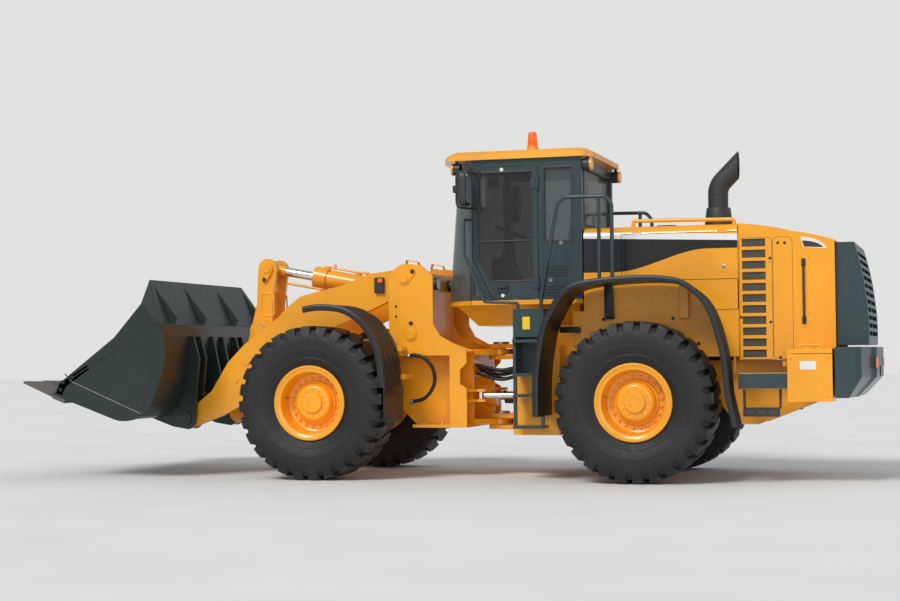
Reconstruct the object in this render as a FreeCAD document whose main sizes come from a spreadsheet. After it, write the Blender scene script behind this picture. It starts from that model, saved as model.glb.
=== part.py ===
"""Wheel loader with an articulated frame, a Z-bar lift arm and a general purpose bucket.

Frame: +X forward, +Y to the machine's left, +Z up, millimetres.  The origin is on the ground
under the middle of the machine's length.  Heights are above the ground.  Lengths along the
machine are from the front axle, the rear axle or the steering hitch, as each group says.
"""
import FreeCAD
import Part
import Sketcher
import math
import os

Vector = FreeCAD.Vector

# Driving dimensions, in groups: alias, value in millimetres or degrees, what it is
SIZES = (
    # running gear
    ("wheelbase", 3330, "front axle to rear axle"),
    ("track", 2126, "between tyre centres"),
    ("tyre_radius", 785, "ground to axle, and out to the lugs' tips"),
    ("tyre_width", 596, "widest part of the side wall"),
    ("tread_width", 500, "across the tread"),
    ("shoulder_drop", 75, "tread edge to widest shoulder"),
    ("bead_width", 476, "between the rim's flanges"),
    ("rim_radius", 381, "outer edge of the rim's flange"),
    ("rim_bed_radius", 320, "bead seat"),
    ("rim_wall", 14, "rim's plate"),
    ("flange_width", 26, "rim flange along the axle"),
    ("disc_inset", 62, "wheel disc's face from the tyre's centre, outwards"),
    ("disc_thick", 24, "wheel disc"),
    ("planet_radius", 205, "planetary hub"),
    ("planet_reach", 96, "planetary hub out from the wheel disc"),
    ("hub_cap_radius", 96, "cover on the planetary hub"),
    ("hub_cap_reach", 26, "cover out from the planetary hub"),
    ("axle_tube_radius", 118, "axle housing"),
    ("axle_bowl_radius", 235, "differential bowl"),
    ("axle_bowl_width", 380, "differential bowl"),
    ("brake_radius", 212, "brake housing"),
    ("brake_width", 190, "brake housing along the axle"),
    ("axle_nose_radius", 95, "differential's nose"),
    ("axle_nose_reach", 320, "differential's nose from the axle"),
    ("pad_width", 100, "pads between the axles and the frame"),
    ("pad_length", 340, "pads between the axles and the frame"),
    ("shaft_radius", 40, "drive shafts"),
    ("shaft_gap", 40, "front drive shaft's end ahead of the hitch"),
    ("hub_inset", 30, "hub's inner face inside the tyre's inner side"),
    ("spindle_radius", 60, "spindle that carries the wheel"),
    ("hub_gap", 2, "turning gap between brake housing and wheel"),
    ("fit", 0.1, "radial clearance of a pin in its bore"),
    # pivots of the lift arm and the bucket, from the front axle and the ground
    ("arm_pivot_x", -809, "arm pivot behind the front axle"),
    ("arm_pivot_z", 2060, "arm pivot height"),
    ("bucket_pin_x", 1693, "bucket hinge pin"),
    ("bucket_pin_z", 602, "bucket hinge pin"),
    ("bell_pin_x", 1000, "bell crank pivot"),
    ("bell_pin_z", 1544, "bell crank pivot"),
    ("bell_top_x", 930, "tilt cylinder's pin on the bell crank"),
    ("bell_top_z", 2222, "tilt cylinder's pin on the bell crank"),
    ("bell_foot_x", 1290, "link's pin on the bell crank"),
    ("bell_foot_z", 640, "link's pin on the bell crank"),
    ("link_pin_x", 1505, "link's pin on the bucket"),
    ("link_pin_z", 943, "link's pin on the bucket"),
    ("tilt_base_x", -620, "tilt cylinder's rear pin"),
    ("tilt_base_z", 1934, "tilt cylinder's rear pin"),
    ("lift_base_x", -877, "lift cylinder's rear pin"),
    ("lift_base_z", 1474, "lift cylinder's rear pin"),
    ("lift_eye_x", 415, "lift cylinder's pin under the arm"),
    ("lift_eye_z", 1192, "lift cylinder's pin under the arm"),
    # lift arm
    ("arm_spacing", 1100, "between the arm plates' centres"),
    ("arm_thick", 70, "arm plate"),
    ("arm_boss_radius", 130, "boss at the arm pivot"),
    ("arm_tip_radius", 112, "boss at the bucket hinge"),
    ("arm_boss_width", 120, "bosses along their pins"),
    ("cross_tube_x", 770, "cross tube between the arms"),
    ("cross_tube_z", 1395, "cross tube between the arms"),
    ("cross_tube_radius", 105, "cross tube between the arms"),
    ("pin_radius", 45, "hinge pins"),
    ("pin_cap_radius", 72, "round keepers on the pin ends"),
    ("pin_cap_thick", 14, "round keepers on the pin ends"),
    ("bell_plate_offset", 160, "bell crank's plates from the middle"),
    ("bell_plate_thick", 50, "bell crank's plates"),
    ("bell_top_radius", 108, "round top of the bell crank"),
    ("bell_pivot_radius", 128, "bell crank around its pivot"),
    ("bell_foot_radius", 92, "round foot of the bell crank"),
    ("bell_width", 250, "bell crank's plates fore and aft"),
    ("bell_lug_thick", 40, "lugs that carry the bell crank"),
    ("bell_lug_gap", 12, "running gap beside the bell crank"),
    ("link_width", 200, "link along its pins"),
    ("link_eye_radius", 84, "link's eyes"),
    ("link_bar_depth", 104, "link between its eyes"),
    # cylinders
    ("tilt_barrel_radius", 100, "tilt cylinder's barrel"),
    ("tilt_head_radius", 116, "tilt cylinder's head"),
    ("tilt_head_length", 150, "tilt cylinder's head"),
    ("tilt_rod_radius", 50, "tilt cylinder's rod"),
    ("tilt_rod_shown", 420, "rod between the head and the bell crank's eye"),
    ("tilt_eye_radius", 84, "eye on the tilt rod"),
    ("tilt_eye_width", 180, "eye on the tilt rod"),
    ("lift_barrel_radius", 78, "lift cylinders' barrels"),
    ("lift_rod_radius", 42, "lift cylinders' rods"),
    ("lift_rod_shown", 230, "lift rod out of the barrel as it stands"),
    ("lift_eye_radius", 66, "eye on the lift rod"),
    ("lift_eye_width", 96, "eye on the lift rod"),
    ("lift_lug_thick", 24, "lugs under the arm"),
    ("lift_lug_radius", 64, "lugs under the arm"),
    ("lift_eye_clear", 195, "height of the arm's lower edge over the lift pin, clear of the drifting eye"),
    ("tilt_rod_start", 405, "inner end of the tilt rod from the cylinder's base pin"),
    # front frame
    ("tilt_lug_y", 138, "tilt cylinder's lugs from the middle"),
    ("tilt_lug_thick", 36, "tilt cylinder's lugs"),
    ("tower_outer", 655, "outer tower plates' centres from the middle"),
    ("tower_inner", 440, "inner tower plates' centres from the middle"),
    ("tower_thick", 30, "tower plates"),
    ("tower_rear_x", -1119, "rear edge of the outer tower plates"),
    ("tower_front_x", -640, "front edge of the tower plates"),
    ("tower_back_x", -985, "cross plate between the tower plates"),
    ("shelf_z", 1296, "top of the front frame's side shelf"),
    ("front_frame_bottom", 543, "underside of the front frame"),
    ("front_frame_rear_x", -1475, "rear end of the front frame's sides"),
    ("side_wall_y", 400, "front frame's side walls from the middle"),
    ("saddle_half_length", 430, "saddle over the front axle"),
    ("saddle_bottom", 960, "saddle over the front axle"),
    ("saddle_top", 1330, "saddle over the front axle"),
    ("plate_thick", 30, "frame plates"),
    # steering hitch
    ("hitch_plate_thick", 60, "front frame's hitch plates"),
    ("hitch_fork_thick", 45, "rear frame's fork plates"),
    ("hitch_gap", 6, "between the hitch plates"),
    ("hitch_upper_z", 1290, "middle of the upper hitch plate"),
    ("hitch_lower_z", 560, "middle of the lower hitch plate"),
    ("hitch_radius", 150, "round ends of the hitch plates"),
    ("hitch_pin_radius", 50, "hitch pins"),
    ("hitch_cap_thick", 24, "caps of the hitch pins"),
    ("steer_eye_x", 105, "steering rod's pin ahead of the hitch"),
    ("steer_eye_y", 430, "steering rod's pin from the middle"),
    ("steer_base_x", -975, "steering barrel's pin behind the hitch"),
    ("steer_base_y", 400, "steering barrel's pin from the middle"),
    ("steer_z", 838, "steering cylinders' height"),
    ("steer_barrel_radius", 56, "steering cylinders' barrels"),
    ("steer_rod_radius", 28, "steering cylinders' rods"),
    ("steer_rod_shown", 320, "steering rod out of its barrel"),
    ("steer_eye_radius", 48, "steering cylinders' eyes"),
    ("steer_eye_width", 70, "steering cylinders' eyes"),
    ("steer_neck_radius", 32, "steering barrels' necks between the lugs"),
    ("steer_tube_start", 66, "steering barrels' tubes from their pins"),
    ("steer_pin_radius", 22, "steering cylinders' pins"),
    ("steer_lug_thick", 28, "steering cylinders' lugs"),
    # bucket, as it lies level, from its hinge pin
    ("bucket_tilt", 20, "degrees that the bucket is rolled back as it stands"),
    ("bucket_width", 2920, "outside the side plates"),
    ("bucket_plate", 30, "shell and side plates"),
    ("floor_drop", 131, "floor's underside below the hinge pin"),
    ("lip_reach", 1180, "front of the bucket floor"),
    ("heel_x", 460, "where the floor meets the heel"),
    ("heel_radius", 330, "heel of the shell"),
    ("back_x", 128, "back of the shell"),
    ("back_rise", 400, "top of the upright back above the hinge pin"),
    ("beam_x", 270, "top of the sloped back"),
    ("beam_z", 975, "top of the sloped back above the hinge pin"),
    ("beam_size", 110, "box along the top of the back"),
    ("guard_x", 655, "top of the spill guard"),
    ("guard_z", 1332, "top of the spill guard above the hinge pin"),
    ("guard_top_width", 2360, "spill guard along its top"),
    ("side_top_x", 530, "top corner of the side plate"),
    ("side_top_z", 1100, "top corner of the side plate"),
    ("side_kink_x", 703, "kink in the side plate's front edge"),
    ("side_kink_z", 672, "kink in the side plate's front edge"),
    ("edge_reach", 1215, "front of the cutting edge"),
    ("edge_thick", 40, "cutting edge"),
    ("tooth_reach", 1568, "tips of the teeth"),
    ("tooth_drop", 144, "tips of the teeth below the hinge pin"),
    ("tooth_tip", 22, "thickness of the tips"),
    ("tooth_width", 110, "width of the adapters"),
    ("tooth_count", 8, "teeth along the edge"),
    ("bracket_offset", 88, "hinge plates' centres from the arm's"),
    ("bracket_thick", 40, "hinge plates"),
    ("link_bracket_offset", 132, "link plates' centres from the middle"),
    # rear frame, from the rear axle
    ("rail_y", 420, "chassis rails from the middle"),
    ("rail_thick", 30, "chassis rails"),
    ("rail_top", 1180, "top of the chassis rails"),
    ("rail_bottom", 560, "bottom of the chassis rails"),
    ("rail_rear", -1890, "rear end of the chassis rails"),
    ("arch_half", 330, "half of the rails' arch over the rear axle"),
    ("arch_z", 960, "rails' arch over the rear axle"),
    ("bulkhead_x", 605, "cross wall behind the steering cylinders"),
    ("pedestal_front", 1270, "front of the plates that carry the cab"),
    ("pedestal_rear", 700, "rear of the plates that carry the cab"),
    ("pedestal_top", 1560, "top of the plates that carry the cab"),
    ("tail_foot_front", -874, "front of the low plate behind the rear axle"),
    ("tail_foot_rear", -1088, "rear of the low plate behind the rear axle"),
    ("tail_foot_z", 546, "low plate behind the rear axle"),
    ("rail_front", 1290, "front end of the chassis rails"),
    ("rear_overhang", 2239, "rearmost point behind the rear axle"),
    # cab, from the rear axle
    ("cab_front", 2188, "foot of the windscreen on the middle line"),
    ("screen_lean", 120, "windscreen's top behind its foot"),
    ("screen_half", 700, "windscreen's side edges from the middle"),
    ("screen_edge_x", 1800, "windscreen's side edges"),
    ("glass_thick", 10, "cab glass"),
    ("cab_half", 760, "cab's sides from the middle"),
    ("cab_rear", 605, "cab's rear face"),
    ("pillar", 62, "cab pillars"),
    ("cab_floor_z", 1764, "underside of the cab"),
    ("cab_floor_thick", 46, "cab floor"),
    ("cab_top_z", 3244, "underside of the roof"),
    ("roof_thick", 92, "cab roof"),
    ("roof_front", 2165, "roof's front on the middle line"),
    ("roof_corner", 1995, "roof's front corners"),
    ("roof_rear", 505, "roof's rear edge"),
    ("roof_half", 800, "roof's sides from the middle"),
    ("door_front", 1747, "door's front edge"),
    ("door_rear", 1062, "door's rear edge"),
    ("door_bottom", 1822, "door's lower edge"),
    ("door_top", 3166, "door's upper edge"),
    ("door_knee_z", 2249, "where the door's front edge slants back"),
    ("door_toe", 1538, "front of the door's lower edge"),
    ("door_thick", 36, "whole door"),
    ("door_gap", 6, "gap around the door"),
    ("hinge_radius", 14, "door's hinges"),
    ("window_border", 52, "door frame around its window"),
    ("window_sill", 2004, "door window's lower edge"),
    ("side_sill", 2400, "lower edge of the cab's side windows"),
    ("beacon_radius", 64, "beacon's foot"),
    ("beacon_height", 276, "beacon above the roof"),
    ("beacon_x", 1300, "beacon from the rear axle"),
    # hood and counterweight, from the rear axle
    ("hood_front", 594, "hood's front end"),
    ("hood_half", 752, "hood's sides from the middle"),
    ("hood_wall", 18, "hood panels"),
    ("hood_top_front", 2520, "hood's top"),
    ("hood_bottom", 1186, "hood sides' lower edge"),
    ("cover_front", 208, "front edge of the side cover"),
    ("cover_rear", -945, "rear edge of the side cover"),
    ("hood_foot", 1685, "hood's lower edge ahead of the rear part"),
    ("cover_bottom", 1982, "side cover's lower edge"),
    ("cover_top", 2440, "side cover's upper edge"),
    ("cover_gap", 6, "gap around the side cover"),
    ("knuckle_length", 90, "side covers' hinges"),
    ("cover_thick", 30, "side cover"),
    ("hood_rear", -1872, "hood's rear end"),
    ("hood_rear_top", 2335, "hood's top at its rear end"),
    ("vent_front", -985, "vent panel's openings"),
    ("vent_rear", -1212, "vent panel's openings"),
    ("vent_bottom", 1208, "lowest vent opening"),
    ("vent_pitch", 108, "vent opening to vent opening"),
    ("vent_height", 76, "vent opening"),
    ("vent_count", 11, "vent openings, one above the other"),
    ("grille_gap", 6, "between the hood and the grille door"),
    ("grille_top_reach", 2050, "grille behind the rear axle at its top"),
    ("grille_foot_reach", 2178, "grille behind the rear axle at its foot"),
    ("grille_bottom", 1322, "grille's lower edge"),
    ("grille_top", 2312, "grille's upper edge"),
    ("grille_half", 700, "grille's sides from the middle"),
    ("weight_top", 1300, "counterweight's top"),
    ("weight_bottom", 800, "counterweight's underside"),
    ("weight_front", -1890, "counterweight's front face"),
    ("weight_half", 1160, "counterweight's sides from the middle"),
    ("box_front", -1449, "battery boxes' front ends"),
    ("box_rear", -1866, "battery boxes' rear ends"),
    ("box_inner", 780, "battery boxes' inner sides from the middle"),
    ("box_outer", 1150, "battery boxes' outer sides from the middle"),
    ("box_bottom", 786, "battery boxes' underside"),
    ("box_top", 1236, "battery boxes' rim"),
    ("lid_height", 50, "battery boxes' lids"),
    # exhaust
    ("exhaust_x", -652, "exhaust pipe's middle"),
    ("exhaust_radius", 102, "exhaust pipe"),
    ("exhaust_wall", 8, "exhaust pipe's wall"),
    ("exhaust_foot_radius", 143, "collar at the exhaust's foot"),
    ("exhaust_foot_top", 2640, "top of the collar"),
    ("exhaust_turn_z", 2960, "where the pipe turns back"),
    ("exhaust_bend", 190, "bend of the pipe"),
    ("exhaust_y", 0, "exhaust pipe from the middle line"),
    ("exhaust_back", 330, "run of the slanted end"),
    ("exhaust_rise", 330, "rise of the slanted end"),
    ("exhaust_mouth", 210, "upright cut of the exhaust's mouth behind the pipe"),
    # fenders, ladders and rails
    ("fender_inner", 790, "fenders' inner edges from the middle"),
    ("fender_outer", 1372, "fenders' outer edges from the middle"),
    ("fender_thick", 22, "fenders"),
    ("lip_depth", 60, "outer lip of the fenders"),
    ("lip_width", 38, "outer lip of the fenders"),
    ("flap_foot", 585, "lower edge of the front mud flaps"),
    ("fender_arm_x", -835, "front fender's upper bracket"),
    ("fender_arm_z", 1300, "front fender's upper bracket"),
    ("fender_low_arm_x", -870, "front fender's lower bracket"),
    ("fender_low_arm_z", 1010, "front fender's lower bracket"),
    ("lamp_radius", 62, "work lamps"),
    ("front_lamp_z", 2010, "lamps on the tower's cross plate"),
    ("flap_thick", 16, "mud flaps"),
    ("ladder_front", 1262, "ladder's front edge from the rear axle"),
    ("ladder_rear", 950, "ladder's rear edge from the rear axle"),
    ("ladder_inner", 780, "ladder's inner side from the middle"),
    ("ladder_outer", 1060, "ladder's outer side from the middle"),
    ("ladder_top", 1712, "ladder box's top"),
    ("side_bar", 30, "ladder's side bars"),
    ("tank_inner", 560, "side tanks' inner faces from the middle"),
    ("tank_outer", 780, "side tanks' outer faces from the middle"),
    ("tank_bottom", 446, "side tanks' undersides"),
    ("tank_top", 1340, "side tanks' tops"),
    ("tank_front", 1330, "side tanks' front ends"),
    ("tank_rear", 845, "side tanks' rear ends"),
    ("rail_tube", 19, "handrails' tube radius"),
    ("rail_bend", 70, "handrails' bends"),
    ("post_y", 1080, "railing from the middle line"),
    ("post_top", 2808, "railing's top"),
    ("post_foot", 1952, "railing's foot on the fender"),
    ("post_rear", 235, "railing's rear post"),
    ("post_front", 364, "railing's inner post"),
    ("bracket_low", 1600, "rear fender's brackets"),
    ("panel_half", 740, "side panels from the middle"),
    ("ladder_box_low", 1430, "ladder box's lower edge"),
    ("tread_one", 1403, "first tread"),
    ("tread_two", 1067, "second tread"),
    ("tread_three", 860, "third tread"),
    ("tread_foot", 548, "lowest tread"),
    ("tread_thick", 28, "treads"),
    # engine, drive and cab fittings
    ("gearbox_front", 1120, "transmission's front from the rear axle"),
    ("gearbox_rear", 690, "transmission's rear"),
    ("gearbox_half", 260, "transmission's sides"),
    ("gearbox_bottom", 640, "transmission's underside"),
    ("gearbox_top", 1330, "transmission's top"),
    ("engine_front", 330, "engine's front from the rear axle"),
    ("engine_rear", -1180, "engine's rear"),
    ("engine_half", 330, "engine's sides"),
    ("engine_top", 2180, "engine's top"),
    ("cooler_front", -1440, "cooler's front from the rear axle"),
    ("cooler_rear", -1740, "cooler's rear"),
    ("cooler_half", 610, "cooler's sides"),
    ("cooler_top", 2200, "cooler's top"),
    ("glass_seat", 0.3, "between a pane or a post and its seat"),
    ("rear_sill", 2560, "lower edge of the cab's rear window"),
    ("seat_x", 1010, "seat from the rear axle"),
    ("seat_height", 380, "seat base"),
    ("column_x", 1640, "steering column's foot"),
    ("hand_wheel_radius", 190, "steering wheel"),
    ("mirror_x", 1805, "mirror heads from the rear axle"),
    ("mirror_y", 1000, "mirror heads from the middle"),
    ("mirror_low", 2755, "mirror heads"),
    ("mirror_high", 3130, "mirror heads"),
    ("beacon_y", 0, "beacon from the middle line"),
    ("beacon_foot", 116, "beacon's foot"),
    ("roof_lamp_inset", 95, "roof lamps from the roof's sides"),
    ("grille_wall", 24, "grille door's frame"),
    ("knuckle_radius", 16, "grille door's hinges"),
    ("grille_depth", 30, "grille door's face and bars"),
    ("grille_border", 70, "frame around the grille's bars"),
    ("grille_bars", 11, "rows of openings in the grille"),
    ("grille_bar", 34, "height of each bar"),
    ("weight_side_rear", -2080, "counterweight's rear corners"),
    ("weight_mid", 640, "flat middle of the counterweight's rear"),
    ("weight_knee", 1010, "where the counterweight's underside slants up"),
    ("tail_lamp_y", 520, "tail lamps from the middle"),
    ("tail_lamp_z", 1150, "tail lamps"),
    ("tow_z", 1060, "tow pin's jaw"),
    ("tow_pin_radius", 22, "tow pin's bore"),
    ("box_wall", 20, "battery boxes' walls"),
    ("lid_gap", 6, "under the battery boxes' lids"),
    ("lid_knuckle", 10, "battery lids' hinge knuckles"),
    ("hinge_inset", 50, "battery lids' hinges from the ends of the box"),
    ("hinge_length", 60, "battery lids' hinges"),
    ("beam_front", -985, "front end of the side beams"),
    ("side_beam_low", 908, "side beams"),
    ("side_beam_high", 1062, "side beams"),
)


class Size:
    """A length or an angle that knows its value and the expression that gives it."""

    def __init__(self, value, text=None):
        self.value = float(value)
        self.text = repr(float(value)) if text is None else text

    @staticmethod
    def of(other):
        return other if isinstance(other, Size) else Size(other)

    def _join(self, other, sign, result):
        other = Size.of(other)
        return Size(result(self.value, other.value), "(%s %s %s)" % (self.text, sign, other.text))

    def __add__(self, other):
        return self._join(other, "+", lambda a, b: a + b)

    def __sub__(self, other):
        return self._join(other, "-", lambda a, b: a - b)

    def __mul__(self, other):
        return self._join(other, "*", lambda a, b: a * b)

    def __truediv__(self, other):
        return self._join(other, "/", lambda a, b: a / b)

    def __radd__(self, other):
        return Size.of(other) + self

    def __rsub__(self, other):
        return Size.of(other) - self

    def __rmul__(self, other):
        return Size.of(other) * self

    def __rtruediv__(self, other):
        return Size.of(other) / self

    def __neg__(self):
        return Size(-self.value, "(-%s)" % self.text)

    def __float__(self):
        return self.value


def sine(angle):
    """Sine of an angle in degrees."""
    return Size(math.sin(math.radians(angle.value)), "sin(%s)" % angle.text)


def cosine(angle):
    """Cosine of an angle in degrees."""
    return Size(math.cos(math.radians(angle.value)), "cos(%s)" % angle.text)


def root(size):
    """Square root."""
    return Size(math.sqrt(size.value), "sqrt(%s)" % size.text)


def heading(rise, run):
    """Angle in degrees of a line that climbs rise over run."""
    return Size(math.degrees(math.atan2(rise.value, run.value)),
                "(atan2(%s; %s) / 1deg)" % (rise.text, run.text))


class Sheet:
    """The spreadsheet of driving dimensions, read as attributes."""

    def __init__(self, doc, rows):
        self.sheet = doc.addObject("Spreadsheet::Sheet", "sizes")
        for number, (alias, value, note) in enumerate(rows, start=1):
            self.sheet.set("A%d" % number, note)
            self.sheet.set("B%d" % number, str(value))
            self.sheet.setAlias("B%d" % number, alias)
        doc.recompute()

    def __getattr__(self, alias):
        return Size(self.sheet.get(alias), "sizes." + alias)


doc = FreeCAD.newDocument("wheel_loader")
S = Sheet(doc, SIZES)

# Places that follow from the driving dimensions
tooth_tip_x = S.bucket_pin_x + S.tooth_reach * cosine(S.bucket_tilt) + S.tooth_drop * sine(S.bucket_tilt)
FRONT = (S.wheelbase + S.rear_overhang - tooth_tip_x) / 2
REAR = FRONT - S.wheelbase
HITCH = FRONT - S.wheelbase / 2
ZERO = Size(0)

AXIS_TURN = {"x": (Vector(0, 1, 0), 90), "y": (Vector(1, 0, 0), -90), "z": (Vector(0, 0, 1), 0)}


def bind(thing, name, size):
    """Tie one property of an object to a size."""
    size = Size.of(size)
    thing.setExpression(name, size.text)


def place(thing, at=(0, 0, 0), axis=None, angle=None):
    """Put an object at a point, turned by an angle in degrees about an axis."""
    if axis is not None:
        thing.Placement = FreeCAD.Placement(Vector(), FreeCAD.Rotation(axis, float(angle)))
        if isinstance(angle, Size):
            bind(thing, "Placement.Rotation.Angle", angle)
    for letter, size in zip("xyz", at):
        bind(thing, "Placement.Base." + letter, size)
    return thing


def plane_of(body, name):
    """The body's own origin plane."""
    return [item for item in body.Origin.OriginFeatures if item.Role == name + "_Plane"][0]


def arc_middle(start, end, radius):
    """Point halfway along the short arc, which bulges to the right of the way for a positive radius."""
    (ax, ay), (bx, by) = start, end
    chord = math.hypot(bx - ax, by - ay)
    bulge = abs(radius) - math.sqrt(max(radius * radius - chord * chord / 4, 0))
    side = math.copysign(bulge, radius)
    return (ax + bx) / 2 + (by - ay) / chord * side, (ay + by) / 2 - (bx - ax) / chord * side


def draw(body, plane, points, holes=(), lift=None):
    """Sketch a closed outline of lines and arcs, and round holes, on a body's own plane.

    A point is (across, up) or (across, up, radius), where the radius makes the edge that ends
    at the point an arc: outward if it is positive, inward if not.  A hole is (across, up, radius).
    """
    sketch = body.newObject("Sketcher::SketchObject", body.Label + "_outline")
    sketch.AttachmentSupport = (plane_of(body, plane), [""])
    sketch.MapMode = "FlatFace"
    if lift is not None:
        bind(sketch, "AttachmentOffset.Base.z", lift)
    spots = [(Size.of(p[0]), Size.of(p[1])) for p in points]
    values = [(a.value, b.value) for a, b in spots]
    count = len(points)
    area = sum(a[0] * b[1] - b[0] * a[1] for a, b in zip(values, values[1:] + values[:1]))
    outward = math.copysign(1, area)
    rules, bound, firsts, lasts = [], [], [], []

    def rule(size, *parts):
        rules.append(Sketcher.Constraint(*parts, size.value))
        bound.append((len(rules) - 1, size))

    for index in range(count):
        start, end = values[index], values[(index + 1) % count]
        target = points[(index + 1) % count]
        a, b = Vector(*start, 0), Vector(*end, 0)
        if len(target) == 3:
            middle = Vector(*arc_middle(start, end, outward * float(target[2])), 0)
            sketch.addGeometry(Part.Arc(a, middle, b), False)
            turn = (middle - a).cross(b - middle).z
            firsts.append(1 if turn > 0 else 2)
            lasts.append(2 if turn > 0 else 1)
        else:
            sketch.addGeometry(Part.LineSegment(a, b), False)
            firsts.append(1)
            lasts.append(2)
    for index in range(count):
        after = (index + 1) % count
        rules.append(Sketcher.Constraint("Coincident", index, lasts[index], after, firsts[after]))
    for index, (a, b) in enumerate(spots):
        rule(a, "DistanceX", -1, 1, index, firsts[index])
        rule(b, "DistanceY", -1, 1, index, firsts[index])
    for index in range(count):
        target = points[(index + 1) % count]
        if len(target) == 3:
            radius = Size.of(target[2])
            rule(radius if radius.value > 0 else -radius, "Radius", index)
    for number, (a, b, radius) in enumerate(holes):
        a, b, radius = Size.of(a), Size.of(b), Size.of(radius)
        sketch.addGeometry(Part.Circle(Vector(a.value, b.value, 0), Vector(0, 0, 1), radius.value), False)
        rule(a, "DistanceX", -1, 1, count + number, 3)
        rule(b, "DistanceY", -1, 1, count + number, 3)
        rule(radius, "Radius", count + number)
    sketch.addConstraint(rules)
    for number, size in bound:
        sketch.setExpression("Constraints[%d]" % number, size.text)
    return sketch


def slab(name, plane, points, thick, at=(0, 0, 0), holes=(), upward=False, axis=None, angle=None):
    """A plate: an outline made thick about its plane, or upward from it."""
    body = doc.addObject("PartDesign::Body", name)
    sketch = draw(body, plane, points, holes)
    pad = body.newObject("PartDesign::Pad", name + "_pad")
    pad.Profile = sketch
    bind(pad, "Length", thick)
    if not upward:
        pad.SideType = "Symmetric"
    body.Tip = pad
    return place(body, at, axis, angle)


def turned(name, plane, points, axis, at=(0, 0, 0)):
    """A round piece: an outline turned about the sketch's horizontal or vertical axis."""
    body = doc.addObject("PartDesign::Body", name)
    sketch = draw(body, plane, points)
    turn = body.newObject("PartDesign::Revolution", name + "_turn")
    turn.Profile = sketch
    turn.ReferenceAxis = (sketch, [axis])
    turn.Angle = 360
    body.Tip = turn
    return place(body, at)


def loft(name, sections, at=(0, 0, 0)):
    """A ruled solid between outlines at heights: (height, points) for each."""
    body = doc.addObject("PartDesign::Body", name)
    sketches = [draw(body, "XY", points, lift=height) for height, points in sections]
    solid = body.newObject("PartDesign::AdditiveLoft", name + "_loft")
    solid.Profile = sketches[0]
    solid.Sections = sketches[1:]
    solid.Ruled = True
    body.Tip = solid
    return place(body, at)


def box(name, x, y, z):
    """A block between two planes along each axis."""
    block = doc.addObject("Part::Box", name)
    for prop, (low, high) in zip(("Length", "Width", "Height"), (x, y, z)):
        bind(block, prop, Size.of(high) - low)
    return place(block, (x[0], y[0], z[0]))


def drum(name, axis, centre, radius, length, hole=None):
    """A cylinder centred on a point, along x, y or z, with an optional bore."""
    def one(label, size, extra):
        piece = doc.addObject("Part::Cylinder", label)
        bind(piece, "Radius", size)
        bind(piece, "Height", Size.of(length) + extra)
        start = [Size.of(value) for value in centre]
        index = "xyz".index(axis)
        start[index] = start[index] - (Size.of(length) + extra) / 2
        vector, angle = AXIS_TURN[axis]
        return place(piece, start, vector, angle)
    outer = one(name, radius, 0)
    if hole is None:
        return outer
    return cut(name + "_bored", outer, [one(name + "_bore", hole, 2)])


def bar(name, start, end, radius, y=0, near=0, far=None):
    """A round bar in an upright plane, from one point towards another, between two distances."""
    (ax, az), (bx, bz) = [(Size.of(p[0]), Size.of(p[1])) for p in (start, end)]
    run, rise = bx - ax, bz - az
    length = root(run * run + rise * rise)
    far = length if far is None else Size.of(far)
    near = Size.of(near)
    piece = doc.addObject("Part::Cylinder", name)
    bind(piece, "Radius", radius)
    bind(piece, "Height", far - near)
    at = (ax + run / length * near, y, az + rise / length * near)
    return place(piece, at, Vector(0, 1, 0), 90 - heading(rise, run))


def fuse(name, pieces):
    """Join pieces that touch into one solid."""
    if len(pieces) == 1:
        return pieces[0]
    joined = doc.addObject("Part::MultiFuse", name)
    joined.Shapes = pieces
    joined.Refine = True
    return joined


def cut(name, base, tools):
    """Take tools away from a solid."""
    result = doc.addObject("Part::Cut", name)
    result.Base = base
    result.Tool = tools[0] if len(tools) == 1 else fuse(name + "_tools", tools)
    result.Refine = True
    return result


def group(name, pieces):
    """Keep like pieces that don't touch in one node."""
    together = doc.addObject("Part::Compound", name)
    together.Links = pieces
    return together


NODES = {}


def node(name, thing):
    """Register the object that is exported as one sub-part."""
    thing.Label = name
    NODES[name] = thing
    return thing


def ring(name, x, z, radius, width, y, bore=None, base=None):
    """A boss or an eye across the machine, at a place from the base station."""
    base = FRONT if base is None else base
    return drum(name, "y", (base + x, y, z), radius, width, bore)


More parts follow.
